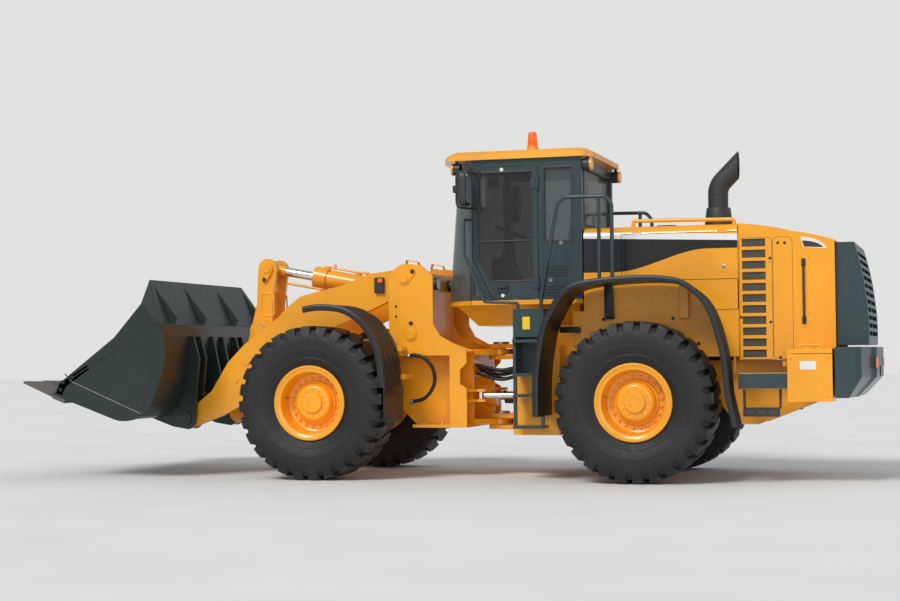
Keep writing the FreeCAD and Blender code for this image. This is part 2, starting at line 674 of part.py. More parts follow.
def wheel(end, station):
    """Tyres and rims of one axle."""
    half, bead, tread = S.tyre_width / 2, S.bead_width / 2, S.tread_width / 2
    shoulder = S.tyre_radius - S.shoulder_drop
    tyre_profile = (
        (-bead, S.rim_bed_radius), (bead, S.rim_bed_radius), (bead, S.rim_radius + 8),
        (half, (S.rim_radius + shoulder) / 2, 260), (half - 24, shoulder, 420), (tread, S.tyre_radius),
        (-tread, S.tyre_radius), (24 - half, shoulder), (-half, (S.rim_radius + shoulder) / 2, 420),
        (-bead, S.rim_radius + 8, 260),
    )
    edge = bead + S.flange_width
    barrel = S.rim_bed_radius - S.rim_wall
    disc_in = S.disc_inset - S.disc_thick
    hub_end = S.disc_inset + S.planet_reach
    for tag, side in (("left", 1), ("right", -1)):
        name = "%s_%s" % (end, tag)
        centre = (station, side * S.track / 2, S.tyre_radius)
        node(name + "_tyre", turned(name + "_tyre", "YZ", tyre_profile, "H_Axis", centre))
        rim_profile = (
            (-edge, barrel), (disc_in, barrel), (disc_in, S.planet_radius),
            (-half + S.hub_inset, S.planet_radius), (-half + S.hub_inset, S.spindle_radius),
            (hub_end - 10, S.spindle_radius), (hub_end - 10, 0), (hub_end + S.hub_cap_reach, 0),
            (hub_end + S.hub_cap_reach, S.hub_cap_radius), (hub_end, S.hub_cap_radius + 12),
            (hub_end, S.planet_radius - 45), (S.disc_inset + 30, S.planet_radius),
            (S.disc_inset, S.planet_radius + 12), (S.disc_inset, barrel), (edge, barrel),
            (edge, S.rim_radius), (bead, S.rim_radius), (bead, S.rim_bed_radius),
            (-bead, S.rim_bed_radius), (-bead, S.rim_radius), (-edge, S.rim_radius),
        )
        outline = [(side * p[0],) + tuple(p[1:]) for p in rim_profile]
        node(name + "_rim", turned(name + "_rim", "YZ", outline, "H_Axis", centre))


def axle(name, station, seat, shaft=False):
    """Axle housing with its differential bowl, brake housings, spindles and pads up to the frame."""
    centre = (station, 0, S.tyre_radius)
    hub_inner = S.track / 2 - S.tyre_width / 2 + S.hub_inset
    brake_end = hub_inner - S.hub_gap
    pieces = [drum(name + "_tube", "y", centre, S.axle_tube_radius, brake_end * 2),
              drum(name + "_bowl", "y", centre, S.axle_bowl_radius, S.axle_bowl_width)]
    for tag, side in (("left", 1), ("right", -1)):
        middle = side * (brake_end - S.brake_width / 2)
        pieces.append(drum(name + "_brake_" + tag, "y", (station, middle, S.tyre_radius),
                           S.brake_radius, S.brake_width))
        spindle_end = S.track / 2 + S.disc_inset
        pieces.append(drum(name + "_spindle_" + tag, "y",
                           (station, side * (brake_end + spindle_end) / 2, S.tyre_radius),
                           S.spindle_radius - S.fit, spindle_end - brake_end))
        pad = (S.side_wall_y - S.pad_width / 2, S.side_wall_y + S.pad_width / 2)
        pieces.append(box("%s_pad_%s" % (name, tag),
                          (station - S.pad_length / 2, station + S.pad_length / 2),
                          pad if side > 0 else (-pad[1], -pad[0]), (S.tyre_radius + 60, seat)))
    pieces.append(drum(name + "_nose", "x", (station, 0, S.tyre_radius), S.axle_nose_radius,
                       2 * S.axle_nose_reach))
    if shaft:
        far, near = HITCH + S.shaft_gap, station - S.axle_nose_reach + 1
        pieces.append(drum(name + "_shaft", "x", ((far + near) / 2, 0, S.tyre_radius), S.shaft_radius,
                           near - far))
        pieces.append(drum(name + "_joint", "x", (far + 60, 0, S.tyre_radius), S.shaft_radius + 32, 120))
    return node(name, fuse(name, pieces))


def tower_plate(name, y, rear):
    """One upright plate of the front frame's tower."""
    points = ((S.tower_front_x, S.shelf_z - 40), (S.front_frame_rear_x, S.shelf_z - 40),
              (S.front_frame_rear_x, S.shelf_z + 10), (rear - 70, S.shelf_z + 165),
              (rear, S.shelf_z + 290), (rear, S.arm_pivot_z + 20),
              (rear + 120, S.arm_pivot_z + 128), (S.arm_pivot_x, S.arm_pivot_z + 150, 900),
              (S.tower_front_x, S.arm_pivot_z + 30, 260), (S.tower_front_x, S.shelf_z + 200),
              (S.tower_front_x + 170, S.shelf_z - 40))
    return slab(name, "XZ", points, S.tower_thick, (FRONT, y, 0))


def front_frame():
    """Tower, saddle, side walls and hitch plates of the front half."""
    pieces = []
    inner_rear = S.tower_back_x - 15
    for tag, side in (("left", 1), ("right", -1)):
        pieces.append(tower_plate("tower_outer_" + tag, side * S.tower_outer, S.tower_rear_x))
        pieces.append(tower_plate("tower_inner_" + tag, side * S.tower_inner, inner_rear))
        span = S.tower_outer - S.tower_inner + S.tower_thick + 2 * S.pin_cap_thick
        middle = side * (S.tower_outer + S.tower_inner) / 2
        pieces.append(ring("arm_pin_" + tag, S.arm_pivot_x, S.arm_pivot_z, S.pin_radius, span, middle))
        pieces.append(ring("lift_pin_" + tag, S.lift_base_x, S.lift_base_z, S.pin_radius, span, middle))
        y = side * S.side_wall_y
        wall = ((-S.saddle_half_length, S.saddle_bottom), (S.saddle_half_length, S.saddle_bottom),
                (S.saddle_half_length, S.saddle_top - 120), (S.saddle_half_length - 120, S.saddle_top),
                (S.front_frame_rear_x, S.shelf_z), (S.front_frame_rear_x, S.front_frame_bottom),
                (-S.saddle_half_length - 420, S.front_frame_bottom))
        pieces.append(slab("side_wall_" + tag, "XZ", wall, S.plate_thick, (FRONT, y, 0)))
        out = side * (S.tower_outer + S.tower_thick / 2)
        low, high = (y, out) if side > 0 else (out, y)
        pieces.append(box("shelf_" + tag, (FRONT + S.front_frame_rear_x, FRONT + S.tower_front_x - 190),
                          (low, high), (S.shelf_z - S.plate_thick, S.shelf_z)))
        pieces.append(box("foot_flange_" + tag,
                          (FRONT + S.front_frame_rear_x, FRONT + S.tower_front_x - 250),
                          (low, high), (S.front_frame_bottom - S.plate_thick, S.front_frame_bottom + 1)))
        end = ((S.front_frame_rear_x, S.front_frame_bottom), (S.front_frame_rear_x, S.steer_z + 80),
               (S.front_frame_rear_x + 70, S.steer_z + 120), (S.front_frame_rear_x + 70, S.shelf_z - 190),
               (S.front_frame_rear_x, S.shelf_z - 120), (S.front_frame_rear_x, S.shelf_z),
               (S.front_frame_rear_x + 170, S.shelf_z), (S.front_frame_rear_x + 170, S.front_frame_bottom))
        pieces.append(slab("end_plate_" + tag, "XZ", end, S.tower_thick,
                           (FRONT, side * S.tower_outer, 0)))
        web = FRONT + S.front_frame_rear_x + 150
        pieces.append(box("end_web_" + tag, (web, web + S.plate_thick), (low, high),
                          (S.front_frame_bottom, S.shelf_z - 10)))
    inside = S.side_wall_y
    for label, x, z in (
            ("back_plate", (S.tower_back_x, S.tower_back_x + S.plate_thick), (S.shelf_z - 60, 2120)),
            ("saddle_roof", (-S.saddle_half_length + 40, S.saddle_half_length - 140),
             (S.saddle_top - 40, S.saddle_top)),
            ("saddle_floor", (-S.saddle_half_length, S.saddle_half_length),
             (S.saddle_bottom + 66, S.saddle_bottom + 126)),
            ("saddle_nose", (S.saddle_half_length - 40, S.saddle_half_length),
             (S.saddle_bottom, S.saddle_top - 120)),
            ("frame_back", (S.front_frame_rear_x, S.front_frame_rear_x + S.plate_thick),
             (S.shelf_z - 260, S.shelf_z)),
            ("belly", (S.front_frame_rear_x, S.tower_front_x - 250),
             (S.front_frame_bottom - S.plate_thick, S.front_frame_bottom + 1))):
        wide = S.tower_inner if label == "back_plate" else inside
        pieces.append(box(label, (FRONT + x[0], FRONT + x[1]), (-wide, wide), z))
    for label, z in (("upper_hitch", S.hitch_upper_z), ("lower_hitch", S.hitch_lower_z)):
        reach = -S.wheelbase / 2
        plate = ((S.front_frame_rear_x + 20, 360), (S.front_frame_rear_x - 20, 330),
                 (reach, S.hitch_radius), (reach, -S.hitch_radius, S.hitch_radius + 1),
                 (S.front_frame_rear_x - 20, -330), (S.front_frame_rear_x + 20, -360))
        pieces.append(slab(label, "XY", plate, S.hitch_plate_thick,
                           (FRONT, 0, z - S.hitch_plate_thick / 2),
                           ((reach, 0, S.hitch_pin_radius + S.fit),), upward=True))
    pieces.append(ring("tilt_pin", S.tilt_base_x, S.tilt_base_z, S.pin_radius,
                       2 * S.tilt_lug_y + S.tilt_lug_thick + 2 * S.pin_cap_thick, 0))
    for tag, side in (("left", 1), ("right", -1)):
        lug = ((S.tower_back_x + 20, S.tilt_base_z - 170), (S.tilt_base_x + 20, S.tilt_base_z - 96),
               (S.tilt_base_x + 20, S.tilt_base_z + 96, 98), (S.tower_back_x + 20, S.tilt_base_z + 170))
        pieces.append(slab("tilt_lug_" + tag, "XZ", lug, S.tilt_lug_thick, (FRONT, side * S.tilt_lug_y, 0)))
    for tag, side in (("left", 1), ("right", -1)):
        for place_name, shift in (("upper", 1), ("lower", -1)):
            gap = S.steer_eye_width / 2 + 4
            low = S.steer_z + shift * (gap + S.steer_lug_thick / 2) - S.steer_lug_thick / 2
            eye_x = S.steer_eye_x - S.wheelbase / 2
            lug = ((S.front_frame_rear_x + 20, side * (S.side_wall_y - 60)),
                   (S.front_frame_rear_x + 20, side * (S.tower_outer - 20)),
                   (eye_x + 20, side * (S.steer_eye_y + 62)), (eye_x - 50, side * (S.steer_eye_y + 30)),
                   (eye_x - 50, side * (S.steer_eye_y - 30)), (eye_x + 20, side * (S.steer_eye_y - 62)))
            pieces.append(slab("steer_lug_%s_%s" % (place_name, tag), "XY", lug, S.steer_lug_thick,
                               (FRONT, 0, low), upward=True))
    return node("front_frame", fuse("front_frame", pieces))


def lift_arm():
    """Arm plates, cross tube, bell crank lugs and lift cylinder lugs."""
    pieces = []
    arm_y = S.arm_spacing / 2
    outline = (
        (S.arm_pivot_x - 60, S.arm_pivot_z + 112), (S.arm_pivot_x - 60, S.arm_pivot_z - 112, 130),
        (-517, 1786), (-153, 1629), (S.lift_eye_x - 30, S.lift_eye_z + S.lift_eye_clear),
        (S.lift_eye_x + 140, S.lift_eye_z + S.lift_eye_clear - 60), (1066, 745), (1278, 638),
        (S.bucket_pin_x - 30, S.bucket_pin_z - 106), (S.bucket_pin_x + 40, S.bucket_pin_z + 100, 112),
        (1578, 767), (1417, 897), (1322, 1047), (1228, 1198), (1039, 1389), (841, 1537),
        (643, 1674), (378, 1899, 1400), (178, 1946), (-82, 2001), (-404, 2120))
    for tag, side in (("left", 1), ("right", -1)):
        pieces.append(slab("arm_plate_" + tag, "XZ", outline, S.arm_thick, (FRONT, side * arm_y, 0)))
        for label, x, z, radius in (
                ("arm_boss", S.arm_pivot_x, S.arm_pivot_z, S.arm_boss_radius),
                ("tip_boss", S.bucket_pin_x, S.bucket_pin_z, S.arm_tip_radius)):
            pieces.append(ring("%s_%s" % (label, tag), x, z, radius, S.arm_boss_width, side * arm_y))
        for end, shift in (("outer", 1), ("inner", -1)):
            y = side * arm_y + shift * (S.lift_eye_width / 2 + 6 + S.lift_lug_thick / 2)
            low = S.lift_lug_radius - 4
            lug = ((S.lift_eye_x - 120, S.lift_eye_z + 260), (S.lift_eye_x - low, S.lift_eye_z - 10),
                   (S.lift_eye_x + low, S.lift_eye_z - 10, S.lift_lug_radius),
                   (S.lift_eye_x + 120, S.lift_eye_z + 90))
            pieces.append(slab("lift_lug_%s_%s" % (end, tag), "XZ", lug, S.lift_lug_thick,
                               (FRONT, y, 0)))
            cap_y = y + shift * (S.lift_lug_thick + S.pin_cap_thick) / 2
            pieces.append(ring("lift_pin_%s_%s" % (end, tag), S.lift_eye_x, S.lift_eye_z,
                               S.pin_radius + 8, S.pin_cap_thick, cap_y))
        lug_out = S.lift_eye_width / 2 + 6 + S.lift_lug_thick
        pieces.append(box("lift_block_" + tag,
                          (FRONT + S.lift_eye_x - 100, FRONT + S.lift_eye_x + 80),
                          (side * arm_y - lug_out, side * arm_y + lug_out),
                          (S.lift_eye_z + S.lift_eye_clear + 20, S.lift_eye_z + S.lift_eye_clear + 100)))
    pieces.append(ring("cross_tube", S.cross_tube_x, S.cross_tube_z, S.cross_tube_radius,
                       S.arm_spacing, 0))
    lug_y = S.bell_plate_offset + S.bell_plate_thick / 2 + S.bell_lug_gap + S.bell_lug_thick / 2
    for tag, side in (("left", 1), ("right", -1)):
        lug = ((S.cross_tube_x - 40, S.cross_tube_z - 90), (S.bell_pin_x + 60, S.bell_pin_z - 105),
               (S.bell_pin_x - 60, S.bell_pin_z + 105, 121), (S.cross_tube_x - 90, S.cross_tube_z + 90))
        pieces.append(slab("bell_lug_" + tag, "XZ", lug, S.bell_lug_thick, (FRONT, side * lug_y, 0)))
    solid = fuse("arm_solid", pieces)
    bores = []
    for tag, side in (("left", 1), ("right", -1)):
        for label, x, z in (("arm_bore", S.arm_pivot_x, S.arm_pivot_z),
                            ("tip_bore", S.bucket_pin_x, S.bucket_pin_z)):
            bores.append(ring("%s_%s" % (label, tag), x, z, S.pin_radius + S.fit,
                              S.arm_boss_width + 20, side * arm_y))
    bores.append(ring("bell_bore", S.bell_pin_x, S.bell_pin_z, S.pin_radius + S.fit, lug_y * 3, 0))
    return node("lift_arm", cut("lift_arm", solid, bores))


def bell_crank():
    """Two plates and a web, with a pin that turns in the arm's lugs."""
    pieces = []
    x, z, half = S.bell_pin_x, S.bell_pin_z, S.bell_width / 2
    outline = (
        (S.bell_top_x - S.bell_top_radius, S.bell_top_z), (x - half, z + 300),
        (x - S.bell_pivot_radius, z), (S.bell_foot_x - S.bell_foot_radius, S.bell_foot_z + 30),
        (S.bell_foot_x - 60, S.bell_foot_z - 70, 92), (S.bell_foot_x + 60, S.bell_foot_z - 70, 92),
        (S.bell_foot_x + S.bell_foot_radius, S.bell_foot_z + 30, 92),
        (x + S.bell_pivot_radius, z), (x + half - 70, z + 300),
        (S.bell_top_x + S.bell_top_radius, S.bell_top_z), (S.bell_top_x, S.bell_top_z + 108, 108),
        (S.bell_top_x - S.bell_top_radius, S.bell_top_z, 108))
    outline = outline[1:]
    for tag, side in (("left", 1), ("right", -1)):
        y = side * S.bell_plate_offset
        pieces.append(slab("bell_plate_" + tag, "XZ", outline, S.bell_plate_thick, (FRONT, y, 0)))
        cap_y = side * (S.bell_plate_offset + (S.bell_plate_thick + S.pin_cap_thick) / 2)
        for label, cap_x, cap_z in (("top_cap", S.bell_top_x, S.bell_top_z),
                                    ("foot_cap", S.bell_foot_x, S.bell_foot_z)):
            pieces.append(ring("%s_%s" % (label, tag), cap_x, cap_z, S.pin_cap_radius,
                               S.pin_cap_thick, cap_y))
    pieces.append(ring("bell_hub", x, z, S.bell_pivot_radius - 8, S.bell_plate_offset * 2, 0))
    pieces.append(box("bell_web", (FRONT + x - 70, FRONT + x + 30),
                      (-S.bell_plate_offset, S.bell_plate_offset), (z + 60, z + 430)))
    bore = ring("bell_hub_bore", x, z, S.pin_radius + S.fit, S.bell_plate_offset * 3, 0)
    node("bell_crank", cut("bell_crank", fuse("bell_solid", pieces), [bore]))
    lug_out = (S.bell_plate_offset + S.bell_plate_thick / 2 + S.bell_lug_gap + S.bell_lug_thick)
    pin = [ring("bell_pin_shaft", x, z, S.pin_radius, lug_out * 2 + 2, 0)]
    for tag, side in (("left", 1), ("right", -1)):
        pin.append(ring("bell_pin_cap_" + tag, x, z, S.pin_cap_radius, S.pin_cap_thick,
                        side * (lug_out + S.pin_cap_thick / 2 + 1)))
    node("bell_pin", fuse("bell_pin", pin))


def link():
    """Short link between the bell crank's foot and the bucket, with its pin at the bucket."""
    ends = (S.bell_foot_x, S.bell_foot_z), (S.link_pin_x, S.link_pin_z)
    rise, run = S.link_pin_z - S.bell_foot_z, S.link_pin_x - S.bell_foot_x
    length = root(run * run + rise * rise)
    web = slab("link_web", "XZ", ((0, -S.link_bar_depth / 2), (length, -S.link_bar_depth / 2),
                                  (length, S.link_bar_depth / 2), (0, S.link_bar_depth / 2)),
               S.link_width - 60, (FRONT + ends[0][0], 0, ends[0][1]), (), False,
               Vector(0, -1, 0), heading(rise, run))
    foot = ring("link_foot", *ends[0], S.link_eye_radius, S.link_width, 0)
    head = ring("link_head", *ends[1], S.link_eye_radius, S.link_width, 0)
    bores = [ring("link_bore_%d" % number, x, z, S.pin_radius + S.fit, S.link_width + 20, 0)
             for number, (x, z) in enumerate(ends)]
    node("link", cut("link", fuse("link_solid", [web, foot, head]), bores))
    out = S.link_bracket_offset + S.bracket_thick / 2
    pin = [ring("link_pin_shaft", *ends[1], S.pin_radius, out * 2 + 2, 0)]
    for tag, side in (("left", 1), ("right", -1)):
        pin.append(ring("link_pin_cap_" + tag, *ends[1], S.pin_cap_radius, S.pin_cap_thick,
                        side * (out + S.pin_cap_thick / 2 + 1)))
    node("link_pin", fuse("link_pin", pin))


def set_bucket(thing):
    """Roll a piece drawn on the level bucket back, and set it on the hinge pin."""
    return place(thing, (FRONT + S.bucket_pin_x, 0, S.bucket_pin_z), Vector(0, -1, 0), S.bucket_tilt)


def bucket():
    """Shell, side plates, top beam, spill guard and hinge plates, drawn level from the hinge pin."""
    floor, thick = -S.floor_drop, S.bucket_plate
    inside = S.bucket_width - 2 * thick
    shell = (
        (S.lip_reach, floor), (S.lip_reach, floor + thick), (S.heel_x, floor + thick),
        (S.back_x + thick, floor + 270, -(S.heel_radius - thick)), (S.back_x + thick, S.back_rise),
        (S.beam_x + thick, S.beam_z), (S.beam_x, S.beam_z), (S.back_x, S.back_rise),
        (S.back_x, floor + 250), (S.heel_x, floor, S.heel_radius))
    pieces = [slab("bucket_shell", "XZ", shell, inside + 2)]
    side_points = (
        (S.lip_reach - 20, floor), (S.lip_reach - 30, floor + 130), (S.side_kink_x, S.side_kink_z),
        (S.side_top_x, S.side_top_z), (S.beam_x - 20, S.beam_z), (S.back_x - 50, S.back_rise + 260),
        (S.back_x - 70, S.back_rise), (S.back_x - 60, floor + 250), (S.heel_x, floor, S.heel_radius + 60))
    out = (S.bucket_width - thick) / 2
    for tag, side in (("left", 1), ("right", -1)):
        pieces.append(slab("side_plate_" + tag, "XZ", side_points, thick, (0, side * out, 0)))
    beam = ((S.beam_x - 60, S.beam_z - S.beam_size), (S.beam_x - 45, S.beam_z + 10),
            (S.beam_x + 60, S.beam_z + 20), (S.beam_x, S.beam_z - S.beam_size))
    pieces.append(slab("top_beam", "XZ", beam, S.bucket_width - 10))
    half, top = S.bucket_width / 2 - 12, S.guard_top_width / 2
    run, rise = S.guard_x - S.beam_x, S.guard_z - S.beam_z
    climb = root(run * run + rise * rise)
    guard = ((-half, 0), (half, 0), (top, climb), (-top, climb))
    slope = heading(rise, run)
    plate = slab("guard_plate", "YZ", guard, 20, (S.beam_x, 0, S.beam_z), (), False,
                 Vector(0, 1, 0), 90 - slope)
    pieces.append(plate)
    for number, y in enumerate((S.guard_top_width / 2 - 30, 420, -420, 30 - S.guard_top_width / 2)):
        rib = ((S.beam_x + 20, S.beam_z), (S.guard_x - 20, S.guard_z - 20),
               (S.guard_x - 90, S.guard_z - 60), (S.beam_x - 40, S.beam_z + 90), (S.beam_x - 40, S.beam_z))
        pieces.append(slab("guard_rib_%d" % number, "XZ", rib, 16, (0, y, 0)))
    for tag, side in (("left", 1), ("right", -1)):
        wing = ((S.beam_x + 30, S.beam_z), (S.side_top_x, S.side_top_z - 5), (S.guard_x, S.guard_z),
                (S.guard_x - 30, S.guard_z - 20))
        pieces.append(slab("guard_wing_" + tag, "XZ", wing, 16, (0, side * (top - 8), 0)))
    for tag, side in (("left", 1), ("right", -1)):
        for end, shift in (("outer", 1), ("inner", -1)):
            y = side * S.arm_spacing / 2 + shift * S.bracket_offset
            hinge = ((-70, -97), (110, floor), (S.heel_x - 60, floor), (S.back_x + 15, floor + 260),
                     (S.back_x + 15, S.back_rise), (S.beam_x - 20, S.beam_z - 60),
                     (S.back_x - 60, S.back_rise + 260), (S.back_x - 130, S.back_rise - 20),
                     (-118, 20), (-70, -97, 120))
            pieces.append(slab("hinge_plate_%s_%s" % (end, tag), "XZ", hinge[1:], S.bracket_thick,
                               (0, y, 0)))
    link_x = (S.link_pin_x - S.bucket_pin_x) * cosine(S.bucket_tilt) \
        + (S.link_pin_z - S.bucket_pin_z) * sine(S.bucket_tilt)
    link_z = (S.link_pin_z - S.bucket_pin_z) * cosine(S.bucket_tilt) \
        - (S.link_pin_x - S.bucket_pin_x) * sine(S.bucket_tilt)
    for tag, side in (("left", 1), ("right", -1)):
        y = side * S.link_bracket_offset
        ear = ((link_x + 30, link_z - 100), (S.back_x + 15, link_z - 160), (S.back_x + 15, S.back_rise),
               (S.beam_x - 20, S.beam_z - 60), (link_x + 40, link_z + 100), (link_x - 70, link_z + 70, 110),
               (link_x - 70, link_z - 70, 110), (link_x + 30, link_z - 100, 110))
        pieces.append(slab("link_plate_" + tag, "XZ", ear[1:], S.bracket_thick, (0, y, 0)))
    solid = fuse("bucket_solid", pieces)
    bores = [drum("hinge_bore_" + tag, "y", (0, side * S.arm_spacing / 2, 0), S.pin_radius + S.fit,
                  S.bracket_offset * 2 + S.bracket_thick * 2) for tag, side in (("left", 1), ("right", -1))]
    bores.append(drum("link_bore", "y", (link_x, 0, link_z), S.pin_radius + S.fit,
                      S.link_bracket_offset * 3))
    node("bucket", set_bucket(cut("bucket", solid, bores)))
    pins = []
    for tag, side in (("left", 1), ("right", -1)):
        y, reach = side * S.arm_spacing / 2, S.bracket_offset + S.bracket_thick / 2 + 1
        parts = [ring("hinge_pin_" + tag, S.bucket_pin_x, S.bucket_pin_z, S.pin_radius, reach * 2, y)]
        for end, shift in (("outer", 1), ("inner", -1)):
            parts.append(ring("hinge_cap_%s_%s" % (end, tag), S.bucket_pin_x, S.bucket_pin_z,
                              S.pin_cap_radius, S.pin_cap_thick,
                              y + shift * (reach + S.pin_cap_thick / 2)))
        pins.append(fuse("hinge_pin_set_" + tag, parts))
    node("bucket_pins", group("bucket_pins", pins))


def bucket_edge():
    """Cutting edge and teeth, drawn level from the hinge pin."""
    floor = -S.floor_drop
    pieces = [slab("cutting_edge", "XZ", (
        (S.lip_reach - 160, floor), (S.lip_reach - 160, floor - S.edge_thick),
        (S.edge_reach - 60, floor - S.edge_thick), (S.edge_reach, floor - 12), (S.edge_reach, floor)),
        S.bucket_width)]
    span = S.bucket_width - S.tooth_width - 2 * S.bucket_plate - 10
    lip, top = S.lip_reach + S.glass_seat, floor + S.bucket_plate + S.glass_seat
    for number in range(int(S.tooth_count.value)):
        y = span * (number / (S.tooth_count - 1) - 0.5)
        tooth = ((S.edge_reach - 110, top), (S.edge_reach - 110, floor + 72),
                 (S.edge_reach + 60, floor + 108), (S.tooth_reach, S.tooth_tip - S.tooth_drop),
                 (S.tooth_reach, -S.tooth_drop), (S.edge_reach + 10, floor - 32),
                 (S.edge_reach - 60, floor - S.edge_thick - 1), (S.edge_reach - 60, floor - 2),
                 (lip, floor - 2), (lip, top))
        pieces.append(slab("tooth_%d" % number, "XZ", tooth, S.tooth_width, (0, y, 0)))
    node("bucket_edge", set_bucket(fuse("bucket_edge", pieces)))


def cylinder_pair():
    """Lift cylinders: both barrels are one node, and both rods another."""
    base, eye = (S.lift_base_x, S.lift_base_z), (S.lift_eye_x, S.lift_eye_z)
    run, rise = eye[0] - base[0], eye[1] - base[1]
    length = root(run * run + rise * rise)
    mouth = length - S.lift_eye_radius - S.lift_rod_shown
    stations = (FRONT + base[0], base[1]), (FRONT + eye[0], eye[1])
    barrels, rods = [], []
    for tag, side in (("left", 1), ("right", -1)):
        y = side * S.arm_spacing / 2
        barrel = bar("lift_tube_" + tag, *stations, S.lift_barrel_radius, y, 60, mouth)
        collar = bar("lift_collar_" + tag, *stations, S.lift_barrel_radius + 8, y, mouth - 90, mouth + 6)
        eye_ring = ring("lift_base_eye_" + tag, *base, 84, S.lift_eye_width + 20, y)
        bores = [bar("lift_bore_" + tag, *stations, S.lift_rod_radius + S.fit, y, 160, mouth + 20),
                 ring("lift_base_bore_" + tag, *base, S.pin_radius + S.fit, S.lift_eye_width + 60, y)]
        body = fuse("lift_body_" + tag, [barrel, collar, eye_ring])
        barrels.append(cut("lift_barrel_" + tag, body, bores))
        rod = bar("lift_bar_" + tag, *stations, S.lift_rod_radius, y, 290, length - 40)
        rod_eye = ring("lift_rod_eye_" + tag, *eye, S.lift_eye_radius, S.lift_eye_width, y)
        rod_bore = ring("lift_rod_bore_" + tag, *eye, S.pin_radius, S.lift_eye_width + 20, y)
        rods.append(cut("lift_rod_" + tag, fuse("lift_rod_body_" + tag, [rod, rod_eye]), [rod_bore]))
    node("lift_barrels", group("lift_barrels", barrels))
    node("lift_rods", group("lift_rods", rods))


def tilt_cylinder():
    """Tilt cylinder between the front frame and the bell crank."""
    base, eye = (S.tilt_base_x, S.tilt_base_z), (S.bell_top_x, S.bell_top_z)
    run, rise = eye[0] - base[0], eye[1] - base[1]
    length = root(run * run + rise * rise)
    mouth = length - S.tilt_eye_radius - S.tilt_rod_shown
    stations = (FRONT + base[0], base[1]), (FRONT + eye[0], eye[1])
    pieces = [bar("tilt_tube", *stations, S.tilt_barrel_radius, 0, 60, mouth - 20),
              bar("tilt_head", *stations, S.tilt_head_radius, 0, mouth - S.tilt_head_length, mouth),
              ring("tilt_base_eye", *base, 88, 184, 0)]
    bores = [bar("tilt_bore", *stations, S.tilt_rod_radius + S.fit, 0, 180, mouth + 20),
             ring("tilt_base_bore", *base, S.pin_radius + S.fit, 260, 0)]
    node("tilt_barrel", cut("tilt_barrel", fuse("tilt_body", pieces), bores))
    rod = [bar("tilt_bar", *stations, S.tilt_rod_radius, 0, S.tilt_rod_start, length - 50),
           ring("tilt_rod_eye", *eye, S.tilt_eye_radius, S.tilt_eye_width, 0)]
    hole = ring("tilt_rod_bore", *eye, S.pin_radius, S.tilt_eye_width + 20, 0)
    node("tilt_rod", cut("tilt_rod", fuse("tilt_rod_body", rod), [hole]))


def steering_cylinder(tag, side):
    """One steering cylinder, from the rear frame to the front frame's lug."""
    base = (HITCH + S.steer_base_x, side * S.steer_base_y)
    eye = (HITCH + S.steer_eye_x, side * S.steer_eye_y)
    run, across = eye[0] - base[0], eye[1] - base[1]
    length = root(run * run + across * across)
    mouth = length - S.steer_eye_radius - S.steer_rod_shown

    def stick(name, radius, near, far):
        piece = doc.addObject("Part::Cylinder", name)
        bind(piece, "Radius", radius)
        bind(piece, "Height", Size.of(far) - near)
        at = (base[0] + run / length * near, base[1] + across / length * near, S.steer_z)
        lean = Vector(-across.value / length.value, run.value / length.value, 0)
        piece.Placement = FreeCAD.Placement(Vector(), FreeCAD.Rotation(lean, 90))
        bind(piece, "Placement.Rotation.Axis.x", -across / length)
        bind(piece, "Placement.Rotation.Axis.y", run / length)
        for letter, size in zip("xyz", at):
            bind(piece, "Placement.Base." + letter, size)
        return piece

    def eye_at(name, point, radius, height):
        return drum(name, "z", (point[0], point[1], S.steer_z), radius, height)

    barrel = fuse("steer_body_" + tag, [
        stick("steer_tube_" + tag, S.steer_barrel_radius, S.steer_tube_start, mouth),
        stick("steer_neck_" + tag, S.steer_neck_radius, S.steer_eye_radius - 18, S.steer_tube_start + 1),
        eye_at("steer_base_eye_" + tag, base, S.steer_eye_radius + 6, S.steer_eye_width)])
    node("steer_barrel_" + tag, cut("steer_barrel_" + tag, barrel, [
        stick("steer_bore_" + tag, S.steer_rod_radius + S.fit, 100, mouth + 20),
        eye_at("steer_base_bore_" + tag, base, S.steer_pin_radius + S.fit, S.steer_eye_width + 20)]))
    rod = fuse("steer_rod_body_" + tag, [
        stick("steer_bar_" + tag, S.steer_rod_radius, 400, length - 20),
        eye_at("steer_rod_eye_" + tag, eye, S.steer_eye_radius, S.steer_eye_width)])
    node("steer_rod_" + tag, cut("steer_rod_" + tag, rod, [
        eye_at("steer_rod_bore_" + tag, eye, S.steer_pin_radius, S.steer_eye_width + 20)]))


def ribbon(name, path, depth, width, at):
    """A strip of even thickness under a path of lines and arcs, as wide as its fender."""
    spots = [(float(p[0]), float(p[1])) for p in path]
    under = []
    for index, point in enumerate(path):
        before, here, after = spots[max(index - 1, 0)], spots[index], spots[min(index + 1, len(spots) - 1)]
        steps = [(b[0] - a[0], b[1] - a[1]) for a, b in ((before, here), (here, after)) if a != b]
        units = [(run / math.hypot(run, rise), rise / math.hypot(run, rise)) for run, rise in steps]
        run, rise = sum(u[0] for u in units), sum(u[1] for u in units)
        size = math.hypot(run, rise)
        reach = 1 / max(size / len(units), 0.5)
        under.append((point[0] - rise / size * reach * depth, point[1] + run / size * reach * depth))
    back = []
    for index in range(len(path) - 1, -1, -1):
        bend = path[index + 1][2] if index + 1 < len(path) and len(path[index + 1]) == 3 else None
        back.append(under[index] if bend is None else under[index] + (-(Size.of(bend) - depth),))
    return slab(name, "XZ", list(path) + back, width, at)


